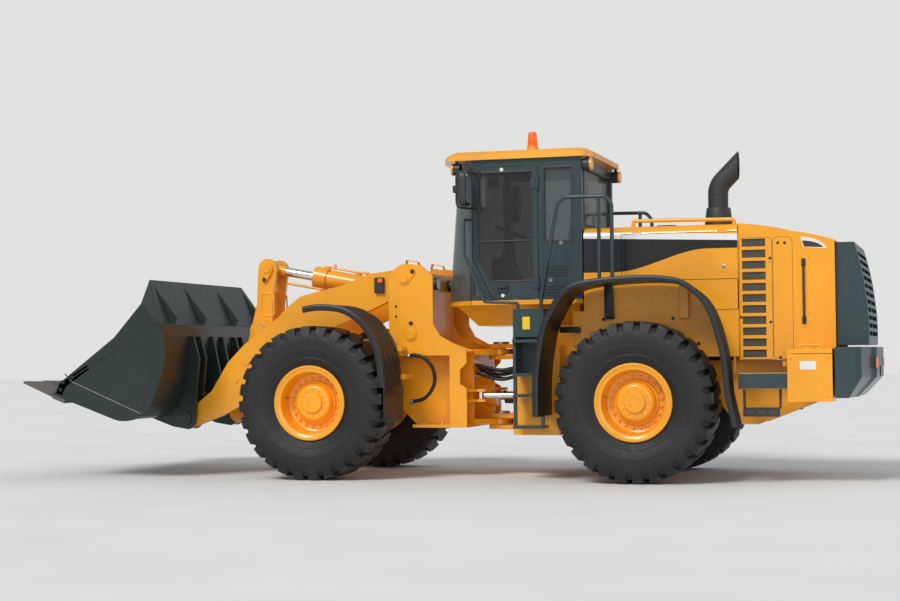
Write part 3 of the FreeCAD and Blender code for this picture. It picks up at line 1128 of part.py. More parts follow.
def tube(name, points, radius, bend):
    """A round tube along straight runs joined by tangent bends."""
    spots = [Vector(*[float(value) for value in point]) for point in points]
    radius, bend = float(radius), float(bend)
    edges, start = [], spots[0]
    for before, corner, after in zip(spots, spots[1:], spots[2:]):
        come, leave = (corner - before).normalize(), (after - corner).normalize()
        half = come.getAngle(leave) / 2
        cut_back = bend * math.tan(half)
        first, last = corner - come * cut_back, corner + leave * cut_back
        inward = (leave - come).normalize()
        middle = corner + inward * (bend / math.cos(half) - bend)
        edges.append(Part.LineSegment(start, first).toShape())
        edges.append(Part.Arc(first, middle, last).toShape())
        start = last
    edges.append(Part.LineSegment(start, spots[-1]).toShape())
    along = (spots[1] - spots[0]).normalize()
    section = Part.Wire([Part.Circle(spots[0], along, radius).toShape()])
    piece = doc.addObject("Part::Feature", name)
    piece.Shape = Part.Wire(edges).makePipeShell([section], True, False)
    return piece


def mirrored(name, thing):
    """The same piece on the machine's other side."""
    other = doc.addObject("Part::Mirroring", name)
    other.Source = thing
    other.Normal = Vector(0, 1, 0)
    return other


def pair(name, make):
    """A piece on the left and its mirror image on the right, in one node."""
    left = make(name + "_left")
    return node(name, group(name, [left, mirrored(name + "_right", left)]))


def front_fender(name):
    """Arched front fender with its outer lip, mud flap and brackets."""
    outline = ((-830, 955), (-812, 1095), (-780, 1314), (-656, 1556, 700), (-498, 1698, 500),
               (-300, 1772, 700), (-138, 1783, 900), (54, 1761, 1400))
    middle, width = (S.fender_inner + S.fender_outer) / 2, S.fender_outer - S.fender_inner
    strip = ribbon(name + "_strip", outline, -S.fender_thick, width, (FRONT, middle, 0))
    lip = ribbon(name + "_lip", outline, -S.lip_depth, S.lip_width,
                 (FRONT, S.fender_outer - S.lip_width / 2, 0))
    flap = box(name + "_flap", (FRONT - 830, FRONT - 830 + S.flap_thick), (S.fender_inner, S.fender_outer),
               (S.flap_foot, 960))
    reaches = ((S.fender_arm_x, S.fender_arm_z, S.tower_outer + S.tower_thick / 2),
               (S.fender_low_arm_x, S.fender_low_arm_z, S.side_wall_y + S.plate_thick / 2))
    arms = [box("%s_arm_%d" % (name, number), (FRONT + x, FRONT + x + 60), (foot, S.fender_inner + 40),
                (z, z + 60)) for number, (x, z, foot) in enumerate(reaches)]
    return fuse(name, [strip, lip, flap] + arms)


def front_lamp(name):
    """Work lamp on the tower's cross plate."""
    x = FRONT + S.tower_back_x
    y = S.tower_inner - 110
    shell = drum(name + "_shell", "x", (x - 36, y, S.front_lamp_z), S.lamp_radius, 72)
    return shell


def hitch_pins():
    """Upper and lower pins of the steering hitch, with their caps."""
    pins = []
    for label, z in (("upper", S.hitch_upper_z), ("lower", S.hitch_lower_z)):
        reach = S.hitch_plate_thick + 2 * (S.hitch_gap + S.hitch_fork_thick)
        shaft = drum("hitch_shaft_" + label, "z", (HITCH, 0, z), S.hitch_pin_radius, reach)
        cap = drum("hitch_cap_" + label, "z", (HITCH, 0, z + (reach + S.hitch_cap_thick) / 2),
                   S.hitch_pin_radius + 34, S.hitch_cap_thick)
        pins.append(fuse("hitch_pin_" + label, [shaft, cap]))
    return node("hitch_pins", group("hitch_pins", pins))


def rear_chassis():
    """Rails, hitch forks, bulkhead, cab pedestal and the axle's mounting of the rear half."""
    pieces = []
    gap = S.steer_barrel_radius + 42
    for tag, side in (("left", 1), ("right", -1)):
        rail = (
            (S.rail_front, S.rail_bottom), (S.rail_front, S.steer_z - gap),
            (S.bulkhead_x, S.steer_z - gap), (S.bulkhead_x, S.steer_z + gap),
            (S.rail_front, S.steer_z + gap), (S.rail_front, S.rail_top),
            (S.pedestal_front, S.pedestal_top), (S.pedestal_rear, S.pedestal_top),
            (S.pedestal_rear - 130, S.rail_top), (S.rail_rear, S.rail_top),
            (S.rail_rear, S.weight_bottom + 60), (S.tail_foot_rear, S.tail_foot_z),
            (S.tail_foot_front, S.tail_foot_z), (-S.arch_half - 260, S.arch_z - 60),
            (-S.arch_half, S.arch_z), (S.arch_half, S.arch_z), (S.arch_half + 190, S.rail_bottom))
        pieces.append(slab("rail_" + tag, "XZ", rail, S.rail_thick, (REAR, side * S.rail_y, 0)))
    wide = S.rail_y + S.rail_thick / 2 - 1
    bulkhead = slab("bulkhead", "YZ", (
        (-wide, S.rail_bottom), (wide, S.rail_bottom), (wide, S.rail_top), (-wide, S.rail_top)),
        S.plate_thick, (REAR + S.bulkhead_x - S.plate_thick / 2, 0, 0), ((0, S.tyre_radius, 112),))
    pieces.append(bulkhead)
    for label, x, z in (
            ("deck_front", (S.pedestal_rear, S.pedestal_front),
             (S.pedestal_top - S.plate_thick, S.pedestal_top)),
            ("cross_upper", (S.rail_front - S.plate_thick, S.rail_front), (S.steer_z + gap, S.rail_top)),
            ("cross_lower", (S.rail_front - S.plate_thick, S.rail_front),
             (S.rail_bottom - 60, S.steer_z - gap)),
            ("cross_mid", (-420, -420 + S.plate_thick), (S.arch_z + 20, S.rail_top)),
            ("cross_fore", (420, 420 + S.plate_thick), (S.arch_z + 20, S.rail_top)),
            ("cross_rear", (S.tail_foot_rear, S.tail_foot_rear + S.plate_thick),
             (S.tail_foot_z + 60, S.rail_top)),
            ("cross_tail", (S.rail_rear, S.rail_rear + S.plate_thick),
             (S.weight_bottom + 60, S.rail_top))):
        pieces.append(box(label, (REAR + x[0], REAR + x[1]), (-wide, wide), z))
    for label, z in (("upper", S.hitch_upper_z), ("lower", S.hitch_lower_z)):
        for end, shift in (("over", 1), ("under", -1)):
            middle = z + shift * (S.hitch_plate_thick / 2 + S.hitch_gap + S.hitch_fork_thick / 2)
            hitch = S.wheelbase / 2
            fork = ((hitch, -S.hitch_radius), (hitch, S.hitch_radius, S.hitch_radius + 1),
                    (S.rail_front, wide - 6), (S.rail_front - 120, wide - 6),
                    (S.rail_front - 120, 6 - wide), (S.rail_front, 6 - wide))
            pieces.append(slab("fork_%s_%s" % (label, end), "XY", fork, S.hitch_fork_thick,
                               (REAR, 0, middle - S.hitch_fork_thick / 2),
                               ((hitch, 0, S.hitch_pin_radius + S.fit),), upward=True))
    for tag, side in (("left", 1), ("right", -1)):
        for end, shift in (("over", 1), ("under", -1)):
            middle = S.steer_z + shift * (S.steer_eye_width / 2 + 4 + S.steer_lug_thick / 2)
            eye = S.wheelbase / 2 + S.steer_base_x
            lug = ((S.bulkhead_x - 20, side * (S.steer_base_y - 80)),
                   (eye + 12, side * (S.steer_base_y - 60)), (eye + 48, side * (S.steer_base_y - 30)),
                   (eye + 48, side * (S.steer_base_y + 12)), (eye + 12, side * (S.steer_base_y + 32)),
                   (S.bulkhead_x - 20, side * (S.steer_base_y + 32)))
            pieces.append(slab("steer_base_%s_%s" % (end, tag), "XY", lug, S.steer_lug_thick,
                               (REAR, 0, middle - S.steer_lug_thick / 2), upward=True))
        pin = drum("steer_base_pin_" + tag, "z", (HITCH + S.steer_base_x, side * S.steer_base_y, S.steer_z),
                   S.steer_pin_radius, S.steer_eye_width + 2 * (S.steer_lug_thick + 4) + 8)
        pieces.append(pin)
    return node("rear_chassis", fuse("rear_chassis", pieces))


def driveline():
    """Transmission block and the drive shaft to the rear axle."""
    block = box("gearbox", (REAR + S.gearbox_rear, REAR + S.gearbox_front),
                (-S.gearbox_half, S.gearbox_half), (S.gearbox_bottom, S.gearbox_top))
    pieces = [block]
    for label, near, far in (("front", S.gearbox_front - 1, S.wheelbase / 2 - S.shaft_gap),
                             ("rear", S.axle_nose_reach, S.gearbox_rear + 1)):
        pieces.append(drum("shaft_" + label, "x", (REAR + (near + far) / 2, 0, S.tyre_radius),
                           S.shaft_radius, Size.of(far) - near))
    return node("driveline", fuse("driveline", pieces))


def engine():
    """Engine as a plain block, with the cooler behind it."""
    block = box("engine_block", (REAR + S.engine_rear, REAR + S.engine_front),
                (-S.engine_half, S.engine_half), (S.rail_top, S.engine_top))
    cooler = box("cooler", (REAR + S.cooler_rear, REAR + S.cooler_front),
                 (-S.cooler_half, S.cooler_half), (S.rail_top, S.cooler_top))
    return node("engine", group("engine", [block, cooler]))


def side_tank(name):
    """Tank beside the chassis rail, under the ladder, with its strap to the rail."""
    body = box(name + "_body", (REAR + S.tank_rear, REAR + S.tank_front), (S.tank_inner, S.tank_outer),
               (S.tank_bottom, S.tank_top))
    arm = box(name + "_arm", (REAR + S.tank_rear + 40, REAR + S.tank_rear + 160),
              (S.rail_y + S.rail_thick / 2, S.tank_inner + 1), (1000, 1120))
    return fuse(name, [body, arm])


def bow_radius(half, depth):
    """Radius of an arc that bows out by a depth between two edges."""
    return (half * half + depth * depth) / (2 * depth)


def cab_base():
    """Cab floor with the skirt that narrows down to the pedestal."""
    foot = bow_radius(S.screen_half, S.cab_front - S.screen_edge_x)
    floor = slab("cab_floor", "XY", (
        (S.cab_rear, S.cab_half), (S.cab_rear, -S.cab_half), (S.screen_edge_x - 40, -S.cab_half),
        (S.screen_edge_x, -S.screen_half), (S.screen_edge_x, S.screen_half, foot),
        (S.screen_edge_x - 40, S.cab_half)),
        S.cab_floor_thick, (REAR, 0, S.cab_floor_z), upward=True)
    skirt = loft("cab_skirt", (
        (S.pedestal_top, ((S.pedestal_rear, 400), (S.pedestal_rear, -400), (1800, -400), (1800, 400))),
        (S.cab_floor_z, ((S.cab_rear + 60, 640), (S.cab_rear + 60, -640), (S.screen_edge_x + 180, -560),
                         (S.screen_edge_x + 180, 560)))), (REAR, 0, 0))
    return node("cab_base", fuse("cab_base", [floor, skirt]))


def side_cut(name, points, side):
    """A cutter through one side wall of the cab."""
    return slab(name, "XZ", points, 4 * S.pillar, (REAR, side * S.cab_half, 0))


def door_outline(gap):
    """Outline of the door, grown by a gap."""
    return ((S.door_rear - gap, S.door_bottom - gap), (S.door_toe + gap, S.door_bottom - gap),
            (S.door_front + gap, S.door_knee_z), (S.door_front + gap, S.door_top + gap),
            (S.door_rear - gap, S.door_top + gap))


def quarter_outline(low, gap):
    """Outline of the small pane between the door's slanted edge and the pillar, shrunk by a gap."""
    edge, foot = S.screen_edge_x - 50 - gap, low + 40 + gap
    return (edge, S.door_knee_z - 150 - 3 * gap), (edge, foot), (S.door_toe + 70 + 2 * gap, foot)


def cab_frame():
    """Pillars and wall panels of the cab, hollow, with its windows and the doorway cut out."""
    low = S.cab_floor_z + S.cab_floor_thick

    def plan(inset):
        return ((S.cab_rear + inset, S.cab_half - inset), (S.cab_rear + inset, inset - S.cab_half),
                (S.screen_edge_x - 40, inset - S.cab_half), (S.screen_edge_x, inset - S.screen_half),
                (S.screen_edge_x, S.screen_half - inset), (S.screen_edge_x - 40, S.cab_half - inset))
    tall = S.cab_top_z - low
    shell = slab("cab_shell", "XY", plan(ZERO), tall, (REAR, 0, low), upward=True)
    inside = slab("cab_inside", "XY", plan(S.pillar), tall + 40, (REAR, 0, low - 20), upward=True)
    opening = box("screen_opening", (REAR + S.screen_edge_x - S.pillar, REAR + S.screen_edge_x + 40),
                  (S.pillar - S.screen_half, S.screen_half - S.pillar), (low - 10, S.cab_top_z + 10))
    cuts = [inside, opening]
    for tag, side in (("left", 1), ("right", -1)):
        cuts.append(side_cut("doorway_" + tag, door_outline(S.door_gap), side))
        cuts.append(side_cut("quarter_" + tag, quarter_outline(low, ZERO), side))
        window = ((S.cab_rear + S.pillar * 1.6, S.side_sill), (S.door_rear - S.pillar, S.side_sill),
                  (S.door_rear - S.pillar, S.door_top - 20), (S.cab_rear + S.pillar * 1.6, S.door_top - 20))
        cuts.append(side_cut("side_window_" + tag, window, side))
    rear = S.cab_half - 1.6 * S.pillar
    cuts.append(box("rear_window", (REAR + S.cab_rear - 20, REAR + S.cab_rear + 2 * S.pillar),
                    (-rear, rear), (S.rear_sill, S.door_top - 20)))
    return node("cab_frame", cut("cab_frame", shell, cuts))


def pane(name, plane, points, at):
    """A flat pane of cab glass."""
    return slab(name, plane, points, S.glass_thick, at)


def cab_glass():
    """Windscreen and the fixed panes, each set in its opening."""
    low = S.cab_floor_z + S.cab_floor_thick
    foot = bow_radius(S.screen_half, S.cab_front - S.screen_edge_x)
    head = bow_radius(S.screen_half, S.cab_front - S.screen_lean - S.screen_edge_x)
    sections = []
    for height, radius in ((low, foot), (S.cab_top_z, head)):
        near, far = S.screen_edge_x + 1, S.screen_half
        sections.append((height, ((near, -far), (near, far, radius), (near, far - S.glass_thick),
                                  (near, S.glass_thick - far, -(radius - S.glass_thick)))))
    panes = [loft("windscreen", sections, (REAR, 0, 0))]
    inset = S.cab_half - S.glass_thick
    edge = S.glass_seat
    for tag, side in (("left", 1), ("right", -1)):
        y = side * (S.cab_half - S.pillar / 2)
        window = ((S.cab_rear + S.pillar * 1.6 + edge, S.side_sill + edge),
                  (S.door_rear - S.pillar - edge, S.side_sill + edge),
                  (S.door_rear - S.pillar - edge, S.door_top - 20 - edge),
                  (S.cab_rear + S.pillar * 1.6 + edge, S.door_top - 20 - edge))
        panes.append(pane("side_pane_" + tag, "XZ", window, (REAR, y, 0)))
        panes.append(pane("quarter_pane_" + tag, "XZ", quarter_outline(low, edge),
                          (REAR, side * (inset - 26), 0)))
    outline = door_outline(S.door_gap - edge)
    panes.append(pane("right_pane", "XZ", outline, (REAR, S.pillar / 2 - S.cab_half, 0)))
    rear = S.cab_half - 1.6 * S.pillar - edge
    panes.append(box("rear_pane", (REAR + S.cab_rear + 20, REAR + S.cab_rear + 20 + S.glass_thick),
                     (-rear, rear), (S.rear_sill + edge, S.door_top - 20 - edge)))
    return node("cab_glass", group("cab_glass", panes))


def cab_roof():
    """Roof panel with bevelled edges."""
    def plan(inset):
        corner = S.roof_corner - inset
        return ((S.roof_rear + inset, S.roof_half - 150), (S.roof_rear + inset, 150 - S.roof_half),
                (S.roof_rear + 70 + inset, inset - S.roof_half), (corner, inset - S.roof_half),
                (S.roof_front - inset - 40, -480), (S.roof_front - inset - 40, 480, 2900),
                (corner, S.roof_half - inset), (S.roof_rear + 70 + inset, S.roof_half - inset))
    bevel = S.cab_top_z + S.roof_thick * 0.6
    skirt = loft("roof_skirt", ((S.cab_top_z, plan(ZERO)), (bevel, plan(Size(8)))), (REAR, 0, 0))
    crown = loft("roof_crown", ((bevel, plan(Size(8))),
                                (S.cab_top_z + S.roof_thick, plan(Size(70)))), (REAR, 0, 0))
    return node("cab_roof", fuse("cab_roof", [skirt, crown]))


def cab_interior():
    """Seat base, console, steering column and wheel inside the cab."""
    low = S.cab_floor_z + S.cab_floor_thick
    pieces = [
        box("seat_base", (REAR + S.seat_x - 200, REAR + S.seat_x + 200), (-190, 190),
            (low, low + S.seat_height)),
        box("armrest_right", (REAR + S.seat_x - 190, REAR + S.seat_x + 260), (-390, -300),
            (low, low + S.seat_height + 210)),
        box("dash_post", (REAR + S.column_x - 60, REAR + S.column_x + 90), (-110, 110), (low, low + 470)),
    ]
    column = tube("column", ((REAR + S.column_x, 0, low + 440), (REAR + S.column_x - 100, 0, low + 700),
                             (REAR + S.column_x - 112, 0, low + 731)), 34, 5)
    rim = doc.addObject("Part::Torus", "steering_wheel")
    bind(rim, "Radius1", S.hand_wheel_radius)
    bind(rim, "Radius2", 15)
    place(rim, (REAR + S.column_x - 112, 0, low + 735), Vector(0, -1, 0), 22)
    spoke = box("spoke", (-S.hand_wheel_radius, S.hand_wheel_radius), (-16, 16), (-8, 8))
    place(spoke, (REAR + S.column_x - 112 - S.hand_wheel_radius * cosine(Size(22)), -16,
                  low + 735 - S.hand_wheel_radius * sine(Size(22)) - 8), Vector(0, -1, 0), 22)
    wheel_set = fuse("steering", [rim, spoke, column])
    return node("cab_interior", group("cab_interior", pieces + [wheel_set]))


def seat():
    """Cushion, back and headrest of the driver's seat."""
    low = S.cab_floor_z + S.cab_floor_thick + S.seat_height
    cushion = box("seat_cushion", (REAR + S.seat_x - 210, REAR + S.seat_x + 270), (-250, 250),
                  (low, low + 110))
    back = slab("seat_back", "XZ", ((S.seat_x - 210, low + 110), (S.seat_x - 90, low + 110),
                                    (S.seat_x - 190, low + 690), (S.seat_x - 290, low + 690)),
                480, (REAR, 0, 0))
    head = box("seat_head", (REAR + S.seat_x - 300, REAR + S.seat_x - 210), (-130, 130),
               (low + 690, low + 880))
    return node("seat", fuse("seat", [cushion, back, head]))


def mirror(name):
    """Mirror head on its arm, ahead of the door."""
    head = box(name + "_head", (REAR + S.mirror_x - 50, REAR + S.mirror_x + 50),
               (S.mirror_y - 105, S.mirror_y + 105), (S.mirror_low, S.mirror_high))
    stays = [tube("%s_stay_%d" % (name, number), (
        (REAR + 1780.3, 730.2, z), (REAR + 1830, 763, z), (REAR + 1830, S.mirror_y - 60, z)), 12, 22)
        for number, z in enumerate((S.mirror_low + 60, S.mirror_high - 60))]
    return fuse(name, [head] + stays)


def beacon():
    """Beacon on its foot."""
    top = S.cab_top_z + S.roof_thick
    profile = ((0, 0), (S.beacon_radius + 10, 0), (S.beacon_radius + 6, S.beacon_foot),
               (S.beacon_radius - 8, S.beacon_foot + 6), (S.beacon_radius - 20, S.beacon_height - 14),
               (S.beacon_radius - 34, S.beacon_height), (0, S.beacon_height))
    return node("beacon", turned("beacon", "XZ", profile, "V_Axis", (REAR + S.beacon_x, S.beacon_y, top)))


def lamps():
    """Work lamps under the corners of the roof, and tail lamps in the counterweight's recesses."""
    sets = []
    for end, x, turn in (("front", S.roof_corner - 60, 1), ("rear", S.roof_rear + 40, -1)):
        for tag, side in (("left", 1), ("right", -1)):
            name = "roof_lamp_%s_%s" % (end, tag)
            y, middle = side * (S.roof_half - S.roof_lamp_inset), REAR + x - turn * 10
            shell = drum(name + "_shell", "x", (middle, y, S.cab_top_z - S.lamp_radius - 16),
                         S.lamp_radius, 80)
            stay = box(name + "_stay", (middle - 14, middle + 14), (y - 14, y + 14),
                       (S.cab_top_z - 20, S.cab_top_z))
            sets.append(fuse(name, [shell, stay]))
    nose = S.rear_overhang * -1
    for tag, y in (("left", S.tail_lamp_y), ("right", -S.tail_lamp_y)):
        sets.append(box("tail_lamp_" + tag, (REAR + nose + 6, REAR + nose + 26), (y - 95, y + 95),
                        (S.tail_lamp_z - 55, S.tail_lamp_z + 55)))
    return node("lamps", group("lamps", sets))


def rear_fender(name):
    """Arched rear fender with its outer lip and the brackets to the side panels."""
    outline = ((-874, 867), (-866, 1074), (-800, 1422), (-710, 1678, 1500), (-560, 1841, 380),
               (-400, 1932, 380), (-94, 1949, 1900), (296, 1929, 2600), (543, 1895, 1900),
               (693, 1782, 260), (846, 1493, 1500), (922, 1008), (926, 649))
    middle, width = (S.fender_inner + S.fender_outer) / 2, S.fender_outer - S.fender_inner
    strip = ribbon(name + "_strip", outline, S.fender_thick, width, (REAR, middle, 0))
    lip = ribbon(name + "_lip", outline, S.lip_depth, S.lip_width,
                 (REAR, S.fender_outer - S.lip_width / 2, 0))
    brackets = []
    for number, (x, z) in enumerate(((330, 1912), (-420, 1915))):
        across = (REAR + x - 45, REAR + x + 45)
        brackets.append(box("%s_hanger_%d" % (name, number), across, (S.fender_inner, S.fender_inner + 30),
                            (S.bracket_low, z)))
        brackets.append(box("%s_bracket_%d" % (name, number), across, (S.panel_half, S.fender_inner + 30),
                            (S.bracket_low, S.bracket_low + 70)))
    brackets.append(box(name + "_bracket_front", (REAR + 630, REAR + 835),
                        (S.panel_half, S.fender_inner + 30), (1470, 1530)))
    brackets.append(box(name + "_rail_foot", (REAR + S.post_rear - 40, REAR + S.post_front + 40),
                        (S.post_y - 40, S.post_y + 40), (S.post_foot - 36, S.post_foot)))
    return fuse(name, [strip, lip] + brackets)


def ladder(name):
    """Step box under the door and the hanging steps below it."""
    inner, outer = S.ladder_inner, S.ladder_outer
    front, rear = REAR + S.ladder_front, REAR + S.ladder_rear
    bar_ = S.side_bar
    head = box(name + "_head", (rear, front), (inner, outer - 40), (S.ladder_box_low, S.ladder_top))
    treads = [box(name + "_tread_%d" % number, (rear, front), (inner + 40, outer), (z - S.tread_thick, z))
              for number, z in enumerate((S.tread_one, S.tread_two, S.tread_three, S.tread_foot))]
    back = box(name + "_back", (rear + bar_, front - bar_), (inner, inner + 12),
               (S.tread_two - S.tread_thick, S.ladder_box_low + 1))
    sides = [box(name + "_side_" + tag, (x, x + bar_), (inner + 1, outer - 20),
                 (S.tread_two - S.tread_thick, S.ladder_box_low + 1))
             for tag, x in (("rear", rear), ("front", front - bar_))]
    bars = [box(name + "_bar_" + tag, (x, x + bar_), (outer - 70, outer - 30),
                (S.tread_foot - S.tread_thick, S.tread_two))
            for tag, x in (("rear", rear), ("front", front - bar_))]
    return fuse(name, [head, back] + treads + sides + bars)


def handrail(name):
    """Railing behind the ladder and the grab bar ahead of the door."""
    y, foot_y, top = S.post_y, S.ladder_outer - 90, S.post_top
    foot, start = S.post_foot + S.glass_seat, S.ladder_top + S.glass_seat
    loop = tube(name + "_loop", (
        (REAR + 983, foot_y, start), (REAR + 983, foot_y, start + 70), (REAR + 885, y, 2189),
        (REAR + 777, y, top - 58), (REAR + 700, y, top), (REAR + S.post_rear + 65, y, top - 6),
        (REAR + S.post_rear, y, top - 78), (REAR + S.post_rear, y, foot)), S.rail_tube, S.rail_bend)
    post = drum(name + "_post", "z", (REAR + S.post_front, y, (foot + top) / 2), S.rail_tube, top - foot)
    grab = tube(name + "_grab", (
        (REAR + S.ladder_front - 40, foot_y, start), (REAR + S.ladder_front - 40, foot_y, start + 60),
        (REAR + 1560, 1000, 1790), (REAR + 1775, 990, 2280), (REAR + 1790, 935, 2600),
        (REAR + 1830, 763, 2640), (REAR + 1780.3, 730.2, 2640)), S.rail_tube - 3, 22)
    return fuse(name, [loop, post, grab])


def side_panel(name):
    """Fixed panel under the hood, behind the rear wheel, on its two webs."""
    top, low = S.hood_foot, S.rail_top + 40
    outline = ((S.hood_front + 120, top), (S.hood_front + 120, low + 110), (S.hood_front + 40, low),
               (S.cover_rear, low), (S.cover_rear, top))
    panel = slab(name + "_plate", "XZ", outline, S.hood_wall, (REAR, S.panel_half - S.hood_wall / 2, 0))
    webs = [box("%s_web_%d" % (name, number), (REAR + x, REAR + x + S.hood_wall),
                (S.rail_y + S.rail_thick / 2, S.panel_half - S.hood_wall),
                (S.rail_top - 140, S.rail_top + 400))
            for number, x in enumerate((S.hood_front - 60, S.cover_rear + 40))]
    return group(name, [panel] + webs)


def hood_rail(name):
    """Rail along the edge of the hood's top."""
    y, top = S.hood_half - 112, S.hood_top_front
    foot = top - 4
    return tube(name, ((REAR + 107, y, foot), (REAR + 107, y, top + 62), (REAR - 900, y, top + 50),
                       (REAR - 900, y, foot)), S.rail_tube, 30)


def hood():
    """Front part of the hood: top, front wall and frame around the side covers."""
    def plan(inset, top):
        side = S.hood_half - inset
        return ((-side, S.hood_foot), (side, S.hood_foot), (side, top - 88),
                (side - 90, top, 110), (90 - side, top), (-side, top - 88, 110))
    length = S.hood_front - S.cover_rear - S.cover_gap
    outer = slab("hood_shell", "YZ", plan(ZERO, S.hood_top_front), length,
                 (REAR + S.cover_rear + S.cover_gap, 0, 0), upward=True)
    inner = slab("hood_inside", "YZ", plan(S.hood_wall, S.hood_top_front - S.hood_wall), length,
                 (REAR + S.cover_rear + S.cover_gap - S.hood_wall, 0, 0), upward=True)
    floor = box("hood_underside", (REAR + S.cover_rear - 20, REAR + S.hood_front - S.hood_wall),
                (S.hood_wall - S.hood_half, S.hood_half - S.hood_wall),
                (S.hood_foot - 40, S.hood_foot + 60))
    cuts = [inner, floor]
    gap = S.cover_gap
    for tag, side in (("left", 1), ("right", -1)):
        cuts.append(slab("cover_opening_" + tag, "XZ", (
            (S.cover_rear - 20, S.cover_bottom - gap), (S.cover_front + gap, S.cover_bottom - gap),
            (S.cover_front + gap, S.cover_top + gap), (S.cover_rear - 20, S.cover_top + gap)),
            6 * S.hood_wall, (REAR, side * S.hood_half, 0)))
    exhaust = drum("exhaust_hole", "z", (REAR + S.exhaust_x, S.exhaust_y, S.hood_top_front),
                   S.exhaust_foot_radius - 20, 200)
    body = cut("hood_body", outer, cuts + [exhaust])
    rail = hood_rail("hood_rail_left")
    strips = [box("hinge_strip_%s_%d" % (tag, number),
                  (REAR + x - S.knuckle_length / 2, REAR + x + S.knuckle_length / 2),
                  sorted((side * (S.hood_half - 16), side * (S.hood_half + 6)), key=float),
                  (S.cover_top + S.cover_gap, S.cover_top + S.cover_gap + 20))
              for tag, side in (("left", 1), ("right", -1))
              for number, x in enumerate((S.cover_front - 150, S.cover_rear + 150))]
    return node("hood", fuse("hood", [body, rail, mirrored("hood_rail_right", rail)] + strips))


def hood_cover(name, side):
    """Side cover of the hood, hinged along its upper edge."""
    body = slab(name, "XZ", (
        (S.cover_rear, S.cover_bottom), (S.cover_front, S.cover_bottom),
        (S.cover_front, S.cover_top), (S.cover_rear, S.cover_top)),
        S.cover_thick, (REAR, side * (S.hood_half - S.cover_thick / 2), 0))
    knuckles = [drum("%s_knuckle_%d" % (name, number), "x", (REAR + x, side * S.hood_half, S.cover_top),
                     S.cover_gap - S.fit, S.knuckle_length)
                for number, x in enumerate((S.cover_front - 150, S.cover_rear + 150))]
    return node(name, fuse(name, [body] + knuckles))


def hood_rear():
    """Rear part of the hood: vented sides, a roof, feet on the rails and the grille's hinge blocks."""
    front, rear, half, wall = S.cover_rear - S.cover_gap, S.hood_rear, S.hood_half, S.hood_wall

    def outline(inset, low):
        return ((front + inset, low), (rear - inset, low), (rear - inset, S.hood_rear_top - inset),
                (rear + 400, S.hood_rear_top + 96 - inset, 2600),
                (front + inset, S.hood_top_front - inset, 3000))
    plate = slab("hood_rear_plate", "XZ", outline(ZERO, S.hood_bottom), wall, (REAR, half - wall / 2, 0))
    vents = []
    for number in range(int(S.vent_count.value)):
        z = S.vent_bottom + S.vent_pitch * number
        vents.append(box("vent_%d" % number, (REAR + S.vent_rear, REAR + S.vent_front),
                         (half - 2 * wall, half + wall), (z, z + S.vent_height)))
    foot = box("hood_rear_foot", (REAR + S.cooler_front + 40, REAR + S.cooler_front + 80),
               (S.rail_y + S.rail_thick / 2, half - wall), (S.rail_top - 60, S.hood_bottom + 60))
    left = group("hood_rear_left", [cut("hood_rear_vented", plate, vents), foot])
    roof = cut("hood_rear_roof", slab("hood_rear_top", "XZ", outline(ZERO, S.vent_bottom),
                                      2 * (half - wall), (REAR, 0, 0)),
               [slab("hood_rear_inside", "XZ", outline(wall, S.hood_bottom), 2 * half, (REAR, 0, 0))])
    edge = REAR + rear - S.grille_gap + S.knuckle_radius + S.glass_seat
    blocks = [box("grille_block_%d" % number, (edge, edge + 60), (wall - half, 10 - S.grille_half),
                  (z - 45, z + 45)) for number, z in enumerate((S.grille_bottom + 150, S.grille_top - 150))]
    return node("hood_rear", group("hood_rear", [left, mirrored("hood_rear_right", left), roof] + blocks))


def exhaust():
    """Exhaust pipe that turns back at its top, on its collar."""
    x, y = REAR + S.exhaust_x, S.exhaust_y
    outside = tube("exhaust_outside", ((x, y, S.hood_top_front), (x, y, S.exhaust_turn_z),
                                       (x - S.exhaust_back, y, S.exhaust_turn_z + S.exhaust_rise)),
                   S.exhaust_radius, S.exhaust_bend)
    inside = tube("exhaust_bore", ((x, y, S.exhaust_foot_top), (x, y, S.exhaust_turn_z),
                                   (x - S.exhaust_back * 1.1, y, S.exhaust_turn_z + S.exhaust_rise * 1.1)),
                  S.exhaust_radius - S.exhaust_wall, S.exhaust_bend)
    collar = turned("exhaust_collar", "XZ", (
        (0, S.hood_top_front), (S.exhaust_foot_radius, S.hood_top_front),
        (S.exhaust_foot_radius - 4, S.exhaust_foot_top - 70),
        (S.exhaust_radius - 1, S.exhaust_foot_top + 40),
        (0, S.exhaust_foot_top + 40)), "V_Axis", (x, y, 0))
    mouth = box("exhaust_mouth", (x - S.exhaust_back - 400, x - S.exhaust_mouth), (y - 300, y + 300),
                (S.exhaust_turn_z - 100, S.exhaust_turn_z + 900))
    body = cut("exhaust", fuse("exhaust_solid", [outside, collar]), [inside, mouth])
    return node("exhaust", body)


